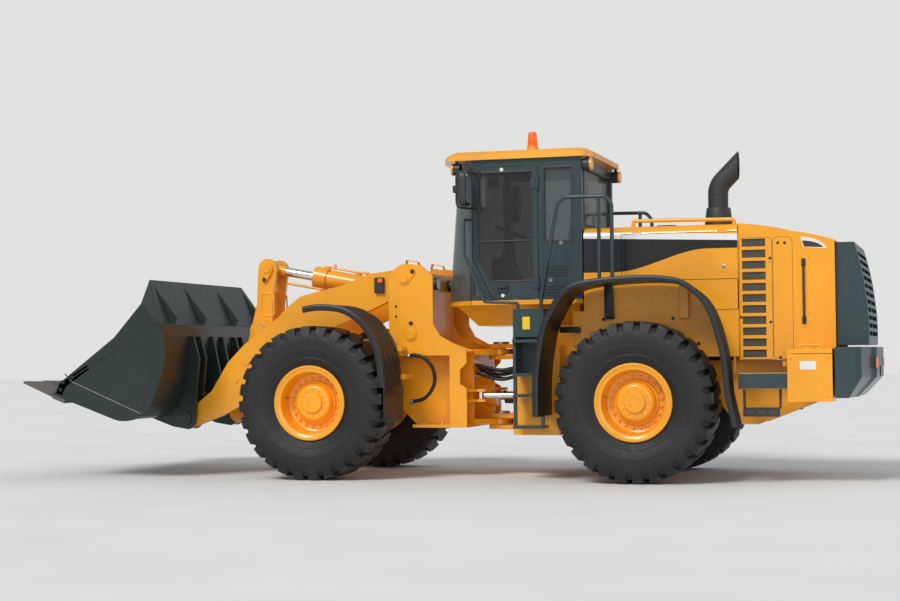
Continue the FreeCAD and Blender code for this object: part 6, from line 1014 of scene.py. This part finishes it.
@dataclass
class Cab:
    """Cab walls, door, panes, gaskets, louvres, roof, lamps and beacon."""

    side: float = 0.760

    def line(self, points: Sequence[Point], y: float, wide: float = 0.022, thick: float = 0.010) -> Shell:
        """Gasket of a rounded section along a closed line of (x, z) at one y."""
        p = np.array([(REAR + x, y, z) for x, z in points])
        loop = np.vstack([p, p[:1]])
        fine = np.vstack([np.linspace(a, b, 9)[:-1] for a, b in zip(loop, loop[1:])] + [loop[:1]])
        return sweep(rounded(thick, wide, 0.004, 3), fine, (0, 1, 0))

    def build(self) -> None:
        """Dresses the nodes and adds the pieces."""
        dress(SLATE, "cab_frame", "cab_door")
        dress(GLASS, "cab_glass")
        dress(DOOR_GLASS, "door_glass")
        dress(YELLOW, "cab_roof", "cab_base")
        dress(CAB_SKIN, "cab_interior")
        self.gaskets()
        self.door()
        self.louvres()
        self.roof()
        self.beacon()
        self.mirrors()
        self.seat()

    def gaskets(self) -> None:
        """Rubber seals round the panes of both sides and the back, and down the windscreen's edges."""
        y = self.side - 0.002
        door = [(1.112, 2.002), (1.560, 2.002), (1.696, 2.248), (1.696, 3.115), (1.112, 3.115)]
        rear = [(0.704, 2.400), (1.000, 2.400), (1.000, 3.146), (0.704, 3.146)]
        quarter = [(1.748, 2.090), (1.748, 1.850), (1.612, 1.850)]
        split = [(1.112, 2.412), (1.696, 2.412)]
        bar = sweep(rounded(0.012, 0.016, 0.004, 3),
                    np.linspace((REAR + split[0][0], y, split[0][1]), (REAR + split[1][0], y, split[1][1]), 12))
        piece("door_seal", self.line(door, y) + bar, BLACK, "door")
        fixed = [self.line(rear, y), self.line(quarter, y)]
        right = joined(fixed + [self.line([(1.056, 1.816), (1.544, 1.816), (1.753, 2.249), (1.753, 3.172),
                                           (1.056, 3.172)], y)]).mirrored()
        piece("side_seals", joined(fixed) + right, BLACK, "rear_body")
        back = np.array([(REAR + 0.603, y_, z) for y_, z in ((0.655, 2.562), (-0.655, 2.562), (-0.655, 3.144),
                                                            (0.655, 3.144), (0.655, 2.562))])
        fine = np.vstack([np.linspace(a, b, 9)[:-1] for a, b in zip(back, back[1:])] + [back[:1]])
        piece("rear_seal", sweep(rounded(0.010, 0.022, 0.004, 3), fine, (1, 0, 0)), BLACK, "rear_body")

    def door(self) -> None:
        """Handle in its box, latch strip, dots and hinges of the left door."""
        y = self.side + 0.026
        tray = plate(rounded(0.098, 0.068, 0.012), 0.004, (REAR + 1.438, y, 1.934), Axis.Y, 0.001)
        grip = pipe([(REAR + 1.40, y + 0.002, 1.942), (REAR + 1.405, y + 0.020, 1.940),
                     (REAR + 1.470, y + 0.020, 1.940), (REAR + 1.476, y + 0.002, 1.942)], 0.009, (0, 0, 1), 12)
        piece("door_handle_tray", tray, BLACK, "door", 30)
        piece("door_grip", grip, BLACK, "door")
        dots = joined(lathe([(0, 0), (0, 0.019), (0.003, 0.019), (0.004, 0.016), (0.004, 0)], (REAR + x, self.side, z),
                            Axis.Y, 24) for x, z in ((1.434, 1.858), (1.436, 3.140)))
        piece("door_dots", dots, WHITE, "door")
        pins = joined(lathe([(-0.07, 0), (-0.07, 0.010), (-0.066, 0.0128), (0.066, 0.0128), (0.07, 0.010), (0.07, 0)],
                            (REAR + 1.059, self.side + 0.0143, z), Axis.Z, 16) for z in (1.982, 2.986))
        piece("door_hinge_pins", pins, BLACK, "door")
        studs = []
        for t in np.linspace(0.06, 0.94, 14):
            studs.append(ball((REAR + 1.700 + (1.520 - 1.700) * t, self.side + 0.001, 2.190 + (1.835 - 2.190) * t),
                              (0.004, 0.003, 0.004), 6))
        piece("door_edge_studs", joined(studs), STEEL, "door")

    def louvres(self) -> None:
        """Two rows of louvre slots with a black strip of painted shadow under each hood, a round lock and the panel's
        seam behind the door, on both sides.
        """
        y = self.side
        slots = []
        for z in (2.146, 2.116, 2.086, 2.056, 1.946, 1.916, 1.886, 1.856):
            hood_ = plate(rounded(0.26, 0.013, 0.006, 4), 0.007, (REAR + 0.885, y - 0.001, z), Axis.Y, 0.003)
            slots.append(hood_)
        piece("side_louvres", joined(slots).both(), SLATE, "rear_body", 30)
        # black strip just under each louvre hood: painted shadow of the hood
        shade = joined(plate(rounded(0.255, 0.012, 0.004, 3), 0.002, (REAR + 0.885, y - 0.001, z - 0.013), Axis.Y, 0.0005)
                       for z in (2.146, 2.116, 2.086, 2.056, 1.946, 1.916, 1.886, 1.856))
        piece("louvre_painted_shadows", shade.both(), BLACK, "rear_body", 30)
        locks = joined(lathe([(0, 0), (0, 0.022), (0.006, 0.022), (0.009, 0.018), (0.009, 0.008), (0.005, 0.006),
                              (0.005, 0)], (REAR + x, y, z), Axis.Y, 24) for x, z in ((0.930, 2.002), (0.822, 2.376)))
        piece("side_locks", locks.both(), STEEL, "rear_body", 30)
        seam = self.line([(0.700, 1.830), (1.045, 1.830), (1.045, 2.386), (0.700, 2.386)], y - 0.0035, 0.005, 0.008)
        piece("side_panel_seam", seam.both(), BLACK, "rear_body")

    def roof(self) -> None:
        """Lenses and rims of the roof's lamps, with the tail lamps' lenses."""
        dress(BLACK, "lamps")
        lenses, rims = [], []
        for x, sign in ((REAR + 1.995 - 0.060 - 0.010 + 0.040, 1), (REAR + 0.505 + 0.040 + 0.010 - 0.040, -1)):
            at = (x, 0.705, 3.244 - 0.062 - 0.016)
            lenses.append(lathe([(0, 0), (0, 0.052), (sign * 0.004, 0.050), (sign * 0.010, 0.030), (sign * 0.012, 0)],
                                at, Axis.X, 32))
            rims.append(lathe([(-sign * 0.010, 0.050), (-sign * 0.010, 0.064), (sign * 0.008, 0.064),
                               (sign * 0.012, 0.060), (sign * 0.010, 0.052), (0, 0.050)], at, Axis.X, 32))
        piece("roof_lamp_lenses", joined(lenses).both(), LENS, "rear_body", 40)
        piece("roof_lamp_rims", joined(rims).both(), YELLOW, "rear_body", 40)
        tail = REAR - 2.239 + 0.006
        red = plate(rounded(0.085, 0.100, 0.010), -0.012, (tail, 0.475, 1.150), Axis.X, 0.003)
        white = plate(rounded(0.045, 0.100, 0.010), -0.012, (tail, 0.545, 1.150), Axis.X, 0.003)
        amber = plate(rounded(0.040, 0.100, 0.010), -0.012, (tail, 0.593, 1.150), Axis.X, 0.003)
        piece("tail_lens_red", red.both(), RED_LENS, "rear_body", 30)
        piece("tail_lens_white", white.both(), LENS, "rear_body", 30)
        piece("tail_lens_amber", amber.both(), AMBER, "rear_body", 30)

    def beacon(self) -> None:
        """Ribbed amber dome on a stepped foot."""
        x, z = REAR + 1.300, 3.336
        foot = [(0, 0), (0, 0.074), (0.010, 0.074), (0.014, 0.066), (0.090, 0.060), (0.112, 0.060), (0.116, 0.056),
                (0.116, 0)]
        piece("beacon_foot", lathe([(a + z, r) for a, r in foot], (x, 0, 0), Axis.Z, 48), YELLOW, "rear_body",
              35, ["beacon"])
        steps = np.linspace(0, 1, 25)
        radius = 0.056 - 0.010 * steps + 0.0022 * np.sign(np.sin(steps * 24 * math.pi))
        radius[-3:] = (0.040, 0.028, 0.0)
        height = 0.116 + 0.160 * steps
        height[-3:] = (0.268, 0.274, 0.276)
        dome = [(z + 0.112, 0.0), (z + 0.112, 0.055)] + [(z + h, r) for h, r in zip(height, radius)]
        piece("beacon_dome", lathe(dome, (x, 0, 0), Axis.Z, 48), AMBER, "rear_body", 60)

    def mirrors(self) -> None:
        """Domed housings with glass behind, each on a bent bar from the front pillar with a joint box."""
        x, z = REAR + 1.762, 2.936
        housing = pillow((x, 1.0, z), (0.052, 0.105, 0.176))
        bar = pipe([(REAR + 1.690, 0.772, 3.100), (REAR + 1.740, 0.850, 3.116), (REAR + 1.820, 0.975, 3.112),
                    (REAR + 1.843, 1.000, 3.060), (REAR + 1.843, 1.000, 2.933), (REAR + 1.843, 1.000, 2.800),
                    (REAR + 1.820, 0.975, 2.752), (REAR + 1.740, 0.850, 2.747), (REAR + 1.690, 0.772, 2.747)], 0.011,
                   (1, -0.4, 0.1))
        joint = plate(rounded(0.072, 0.075, 0.012), 0.060, (REAR + 1.840, 0.970, 2.933), Axis.Y, 0.006)
        feet = joined(plate(rounded(0.060, 0.070, 0.012), 0.016, (REAR + 1.690, 0.760, h), Axis.Y, 0.003)
                      for h in (3.100, 2.747))
        piece("mirror_sets", (housing + bar + joint + feet).both(), BLACK, "rear_body", 40,
              ["mirrors"])
        glass = plate(rounded(0.170, 0.300, 0.03), -0.004, (x - 0.0505, 1.0, z), Axis.X, 0.001)
        piece("mirror_panes", glass.both(), MIRROR, "rear_body", 30)

    def cushion(self, name: str, size: Point, centre: Point, lean: float, cap: float) -> bpy.types.Object:
        """Padded cushion: a rounded block swollen by cloth pressure, smoothed once.

        Args:
            name: piece name.
            size: length, width and height before it swells.
            centre: middle of the block.
            lean: radians that it leans back.
            cap: how far a point may move.
        Returns:
            The finished cushion.
        """
        block = bmesh.new()
        bmesh.ops.create_cube(block, size=1.0)
        bmesh.ops.bevel(block, geom=block.edges[:], offset=0.12, segments=3, affect="EDGES")
        bmesh.ops.triangulate(block, faces=block.faces[:])
        mesh = bpy.data.meshes.new(name)
        block.to_mesh(mesh)
        block.free()
        points = np.empty(len(mesh.vertices) * 3)
        mesh.vertices.foreach_get("co", points)
        shell = Shell(points.reshape(-1, 3) * np.array(size), []).turned(Axis.Y, -lean).moved(centre)
        mesh.vertices.foreach_set("co", shell.points.ravel())
        made = bpy.data.objects.new(name, mesh)
        bpy.context.scene.collection.objects.link(made)
        remesh = made.modifiers.new("even", "REMESH")
        remesh.mode, remesh.voxel_size = "VOXEL", 0.012
        self.bake(made)
        self.swell(made, cap)
        smooth = made.modifiers.new("round", "SUBSURF")
        smooth.levels = smooth.render_levels = 1
        made.data.materials.clear()
        made.data.materials.append(CLOTH.material())
        made.data.shade_smooth()
        return made

    @staticmethod
    def bake(made: bpy.types.Object) -> None:
        """Applies an object's modifiers to its mesh."""
        dg = bpy.context.evaluated_depsgraph_get()
        dg.update()
        mesh = bpy.data.meshes.new_from_object(made.evaluated_get(dg))
        made.modifiers.clear()
        made.data = mesh

    def swell(self, made: bpy.types.Object, cap: float) -> None:
        """Runs cloth under pressure and keeps each point within a cap of its start."""
        start = np.array([v.co for v in made.data.vertices])
        cloth = made.modifiers.new("pad", "CLOTH")
        cloth.settings.use_pressure = True
        cloth.settings.uniform_pressure_force = 4.0
        cloth.settings.effector_weights.gravity = 0.0
        scene = bpy.context.scene
        for number in range(1, 21):
            scene.frame_set(number)
        self.bake(made)
        scene.frame_set(1)
        end = np.array([v.co for v in made.data.vertices])
        if len(end) == len(start):
            way = end - start
            size = np.linalg.norm(way, axis=1)[:, None]
            end = start + way * np.minimum(1, cap / np.maximum(size, 1e-9))
            made.data.vertices.foreach_set("co", end.ravel())

    def seat(self) -> None:
        """Cushion, back and headrest, padded."""
        x, low = REAR + 1.010, 1.764 + 0.046 + 0.380
        parts = [self.cushion("seat_cushion", (0.45, 0.47, 0.085), (x + 0.030, 0, low + 0.055), 0.0, 0.014),
                 self.cushion("seat_backrest", (0.085, 0.45, 0.55), (x - 0.200, 0, low + 0.400), 0.170, 0.014),
                 self.cushion("seat_headrest", (0.070, 0.24, 0.165), (x - 0.255, 0, low + 0.785), 0.0, 0.010)]
        for made in parts:
            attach(made, "rear_body")
        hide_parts("seat")


@dataclass
class Hood:
    """Hood with its stripe, seams, vents, handle, latch, exhaust and grille."""

    side: float = 0.752

    def build(self) -> None:
        """Dresses the nodes and adds the pieces."""
        dress(HOOD, "hood", "hood_cover_left", "hood_cover_right")
        dress(YELLOW, "hood_rear", "side_panels", "side_tanks", "battery_lid_left", "battery_lid_right", "battery_boxes",
              "rear_chassis")
        dress(SLATE, "grille_door", "counterweight", "ladders", "handrails")
        dress(EXHAUST, "exhaust")
        dress(IRON, "engine", "driveline")
        self.vents()
        self.panel()
        self.latches()
        self.exhaust()
        self.grille()
        self.battery()

    def vents(self) -> None:
        """Mesh behind the vent openings, the seams of their frame and its screws."""
        y = self.side - 0.016
        sheet = plate(rounded(0.240, 1.200, 0.01), -0.004, (FRONT - 4.430, y, 1.790), Axis.Y, 0.001)
        piece("vent_screens", sheet.both(), NET, "rear_body", 30)
        seam = [self.frame_line(-4.289, -4.605, 1.190, 2.375), self.frame_line(-4.612, -4.800, 1.190, 2.375)]
        piece("vent_panel_seams", joined(seam).both(), BLACK, "rear_body")
        heads = joined(bolt((FRONT + x, self.side, z), Axis.Y, 0.011, 0.006) for x, z in (
            (-4.663, 2.318), (-4.729, 2.316), (-4.674, 1.206), (-4.585, 2.17), (-4.585, 1.55), (-4.300, 1.60)))
        piece("panel_screws", heads.both(), BLACK, "rear_body")

    def frame_line(self, x0: float, x1: float, z0: float, z1: float) -> Shell:
        """Thin dark line round a panel with one large round corner."""
        width, height = abs(x1 - x0), z1 - z0
        outline = rounded(width, height, 0.045, 8)
        path = np.stack([FRONT + (x0 + x1) / 2 + outline[:, 0], np.full(len(outline), self.side - 0.0025),
                         (z0 + z1) / 2 + outline[:, 1]], 1)
        path = np.vstack([path, path[:1]])
        return sweep(rounded(0.006, 0.005, 0.0015, 3), path, (0, 1, 0))

    def panel(self) -> None:
        """Long upright handle in its recess and the small trim at the rear upper corner."""
        y, x = self.side, FRONT - 4.906
        tray = plate(rounded(0.046, 0.700, 0.022, 6), 0.004, (x, y - 0.001, 1.843), Axis.Y, 0.001)
        piece("panel_handle_tray", tray.both(), YELLOW, "rear_body", 30)
        grip = pipe([(x, y, 2.130), (x, y + 0.022, 2.115), (x, y + 0.028, 2.060), (x, y + 0.028, 1.640),
                     (x, y + 0.022, 1.570), (x, y, 1.555)], 0.011, (1, 0, 0), 12)
        ends = joined(plate(rounded(0.040, 0.085, 0.018), 0.014, (x, y + 0.001, z), Axis.Y, 0.004)
                      for z in (2.120, 1.565))
        piece("panel_handle", (grip + ends).both(), BLACK, "rear_body", 40)
        t = np.linspace(0, 1, 20)
        top = np.stack([-4.880 - 0.250 * t, 2.372 - 0.070 * t ** 1.6 - 0.045 * t ** 6], 1)
        low = np.stack([-5.130 + 0.225 * t, 2.252 + 0.016 * t], 1)
        outer = np.vstack([top, low])
        badge = plate(outer[::-1], 0.003, (FRONT, y - 0.001, 0), Axis.Y, 0.001)
        inner_line = (outer - outer.mean(0)) * np.array([0.80, 0.58]) + outer.mean(0) + np.array([0.012, -0.008])
        piece("rear_corner_trim", badge.both(), WHITE, "rear_body", 30)
        piece("rear_corner_inlay", plate(inner_line[::-1], 0.002, (FRONT, y + 0.001, 0), Axis.Y, 0.0005).both(), BLACK,
              "rear_body", 30)

    def latches(self) -> None:
        """Recessed square latch and its round lock on each side cover."""
        x, z, y = FRONT - 4.128, 2.100, self.side
        for tag, shell_side in (("left", 1), ("right", -1)):
            rim = plate(rounded(0.130, 0.090, 0.006), 0.003, (x, y - 0.001, z), Axis.Y, 0.001)
            well = plate(rounded(0.110, 0.070, 0.004), 0.001, (x, y + 0.0015, z), Axis.Y, 0.0004)
            lock = lathe([(0, 0), (0, 0.018), (0.006, 0.018), (0.008, 0.014), (0.008, 0.006), (0.005, 0.004),
                          (0.005, 0)], (x - 0.012, y + 0.001, z), Axis.Y, 24)
            shells = [s if shell_side > 0 else s.mirrored() for s in (rim + well, lock)]
            piece(f"cover_latch_{tag}", shells[0], YELLOW, f"{tag}_cover", 30)
            piece(f"cover_lock_{tag}", shells[1], STEEL, f"{tag}_cover", 30)

    def exhaust(self) -> None:
        """Stepped cone with a dark skirt under the pipe, a seam ring, and the hood's small top caps."""
        x = REAR - 0.655
        cone = lathe([(2.536, 0), (2.536, 0.150), (2.560, 0.143), (2.630, 0.134), (2.730, 0.123), (2.738, 0.117),
                      (2.738, 0)], (x, 0, 0), Axis.Z, 48)
        ring = lathe([(2.864, 0.100), (2.867, 0.1045), (2.873, 0.1045), (2.876, 0.100)], (x, 0, 0), Axis.Z, 48)
        piece("exhaust_cone", cone + ring, EXHAUST, "rear_body")
        base = lathe([(2.519, 0), (2.519, 0.180), (2.526, 0.180), (2.545, 0.158), (2.552, 0.150), (2.552, 0)],
                     (x, 0, 0), Axis.Z, 48)
        piece("exhaust_skirt", base, BLACK, "rear_body", 30)
        lump = plate(rounded(0.22, 0.20, 0.06), 0.040, (x + 0.50, 0.18, 2.519), Axis.Z, 0.012)
        cap = lathe([(2.519, 0), (2.519, 0.062), (2.566, 0.058), (2.576, 0.045), (2.578, 0)],
                    (x + 0.50, -0.20, 0), Axis.Z, 32)
        piece("hood_top_caps", lump + cap, BLACK, "rear_body", 30)

    def grille(self) -> None:
        """Fine upright wires behind the grille's bars, which follow its bow."""
        wires = []
        z = np.linspace(1.36, 2.28, 14)
        share = (z - 1.322) / 0.99
        bow = REAR - (2.178 + (2.050 - 2.178) * share + 0.055 * np.sin(share * np.pi)) + 0.045
        for y in np.linspace(-0.60, 0.60, 25):
            path = np.stack([bow, np.full(14, y), z], 1)
            wires.append(sweep(round_section(0.003, 5), path, (0, 1, 0)))
        piece("grille_wires", joined(wires), BLACK, "rear_grille")

    def battery(self) -> None:
        """Blank white plate and screws on the battery boxes, the sleeve round their beam and the step under it."""
        y = 1.150
        card = plate(rounded(0.150, 0.080, 0.006), 0.002, (REAR - 1.640, y, 1.130), Axis.Y, 0.0005)
        piece("battery_plate", card.both(), WHITE, "rear_body", 30)
        heads = joined(bolt((REAR + x, y, z), Axis.Y, 0.012, 0.008) for x, z in (
            (-1.48, 0.84), (-1.83, 0.84), (-1.48, 1.20), (-1.83, 1.20)))
        piece("battery_box_screws", heads.both(), YELLOW, "rear_body")
        line = np.linspace((REAR - 1.4485, 0.985, 0.985), (REAR - 0.9835, 0.985, 0.985), 4)
        sleeve = sweep(rounded(0.296, 0.160, 0.014), line, (0, 1, 0))
        piece("beam_sleeves", sleeve.both(), SLATE, "rear_body", 30)
        tread = [plate(rounded(0.349, 0.082, 0.014), 0.008, (REAR - 1.196, 1.092, 0.686), Axis.Y, 0.002),
                 plate(rounded(0.349, 0.170, 0.010), -0.008, (REAR - 1.196, 1.010, 0.727), Axis.Z, 0.002)]
        tread += [plate(rounded(0.160, 0.200, 0.010), 0.008, (REAR + ax, 1.010, 0.826), Axis.X, 0.002)
                  for ax in (-1.370, -1.030)]
        piece("beam_steps", joined(tread).both(), BLACK, "rear_body", 30)
        slots = joined(plate(rounded(0.080, 0.026, 0.012), 0.002, (REAR + ax, 1.0992, 0.686), Axis.Y, 0.0005)
                       for ax in (-1.310, -1.196, -1.082))
        piece("beam_step_slots", slots.both(), NET, "rear_body", 30)


@dataclass
class Access:
    """Ladder treads, plates and rails."""

    def build(self) -> None:
        """Adds grip strips on the treads, the blank plate with its bolts, and bolts on the side panels."""
        front, rear = REAR + 1.262, REAR + 0.950
        teeth = []
        for z in (1.403, 1.067, 0.860, 0.548):
            for x in np.linspace(rear + 0.03, front - 0.03, 12):
                teeth.append(plate(rounded(0.012, 0.20, 0.003, 3), 0.004, (x, 0.950, z - 0.0005), Axis.Z, 0.001))
        piece("tread_grips", joined(teeth).both(), STEEL, "rear_body", 30)
        card = plate(rounded(0.075, 0.125, 0.005), 0.002, ((front + rear) / 2 + 0.02, 1.020, 1.570), Axis.Y, 0.0005)
        piece("ladder_plate", card.both(), LABEL, "rear_body", 30)
        heads = joined(bolt((x, 1.020, z), Axis.Y, 0.010, 0.007) for x in (front - 0.03, rear + 0.03)
                       for z in (1.46, 1.68))
        piece("ladder_bolts", heads.both(), SLATE, "rear_body")
        dots = joined(bolt((REAR + x, 0.7405, z), Axis.Y, 0.014, 0.008) for x, z in (
            (0.40, 1.60), (0.40, 1.42), (-0.30, 1.60), (-0.55, 1.35), (0.62, 1.30)))
        piece("panel_bolts", dots.both(), BLACK, "rear_body")


@dataclass
class Studio:
    """Camera, floor and light."""

    pitch: float = 0.0325
    yaw: float = 0.2974
    roll: float = -0.0092
    spot: tuple = (-6.586 + FRONT, 17.896, 1.235)
    lens: float = 70.0
    pale: tuple = (236, 236, 234)
    haze: tuple = (226, 226, 225)
    sky: float = 0.45

    def camera(self) -> None:
        """Camera whose axes follow from its yaw, pitch and roll."""
        ahead = np.array([math.sin(self.yaw) * math.cos(self.pitch), -math.cos(self.yaw) * math.cos(self.pitch),
                          math.sin(self.pitch)])
        flat = np.array([-math.cos(self.yaw), -math.sin(self.yaw), 0.0])
        lift = np.cross(flat, ahead)
        right = flat * math.cos(self.roll) + lift * math.sin(self.roll)
        up = -flat * math.sin(self.roll) + lift * math.cos(self.roll)
        data = bpy.data.cameras.new("photo_camera")
        data.lens, data.sensor_width = self.lens, 36.0
        data.clip_end = 200.0
        made = bpy.data.objects.new("photo_camera", data)
        bpy.context.scene.collection.objects.link(made)
        turn = np.eye(4)
        turn[:3, 0], turn[:3, 1], turn[:3, 2], turn[:3, 3] = right, up, -ahead, self.spot
        made.matrix_world = Matrix(turn.tolist())
        bpy.context.scene.camera = made

    def floor(self) -> None:
        """Pale plain floor, wide enough for every view, that shows pale in glossy rays too."""
        mesh = bpy.data.meshes.new("floor")
        size = 90.0
        mesh.from_pydata([(-size, -size, 0), (size, -size, 0), (size, size, 0), (-size, size, 0)], [], [(0, 1, 2, 3)])
        made = bpy.data.objects.new("floor", mesh)
        bpy.context.scene.collection.objects.link(made)
        pale = bpy.data.materials.new("floor_pale")
        g = Graph(pale)
        tone = g.mix(g.noise(0.8).rise(0.2, 0.8), linear(self.pale), linear(tuple(c - 6 for c in self.pale)))
        g.node("OutputMaterial", {}, {"Surface": g.node("BsdfPrincipled", {}, {"Base Color": tone, "Roughness": 0.9})})
        mesh.materials.append(pale)

    def lights(self) -> None:
        """Even sky with one broad soft sun from the front left and a weaker fill."""
        world = bpy.data.worlds.new("sky")
        bpy.context.scene.world = world
        g = Graph(world)
        seen = g.node("LightPath", {}, {}, out="Is Camera Ray")
        tone = g.mix(seen, linear((238, 242, 246)), linear(self.haze))
        back = g.node("Background", {}, {"Color": tone, "Strength": seen * (1 - self.sky) + self.sky})
        g.node("OutputWorld", {}, {"Surface": back})
        for name, power, size, spot in (("key", 1.75, 0.35, (3.0, 9.0, 9.0)), ("fill", 0.45, 0.9, (-8.0, -6.0, 8.0)),
                                        ("side", 0.45, 0.6, (-4.0, 12.0, 3.0))):
            data = bpy.data.lights.new(name, "SUN")
            data.energy, data.angle = power, size
            made = bpy.data.objects.new(name, data)
            bpy.context.scene.collection.objects.link(made)
            way = np.array(spot) / np.linalg.norm(spot)
            side = np.cross((0, 0, 1), way)
            side /= np.linalg.norm(side)
            turn = np.eye(4)
            turn[:3, 0], turn[:3, 1], turn[:3, 2] = side, np.cross(way, side), way
            made.matrix_world = Matrix(turn.tolist())

    def build(self) -> None:
        """Makes the stage and sets the plain view transform."""
        self.camera()
        self.floor()
        self.lights()
        bpy.context.scene.view_settings.view_transform = "Standard"


def main() -> None:
    """Builds the stage and each sub-assembly, and reports them."""
    logging.basicConfig(level=logging.INFO, format="%(message)s")
    parts: list[tuple[str, object]] = [("stage", Studio())]
    for end in ("front", "rear"):
        for side in ("left", "right"):
            parts += [(f"{end} {side} tyre", Tyre(end, side)), (f"{end} {side} rim", Rim(end, side))]
    parts += [("fenders", Fenders()), ("front frame", FrontFrame()), ("linkage", Linkage()), ("bucket", Bucket()),
              ("cab", Cab()), ("hood", Hood()), ("ladders", Access())]
    for label, part in parts:
        part.build()
        log.info("built %s", label)


if __name__ == "__main__":
    main()
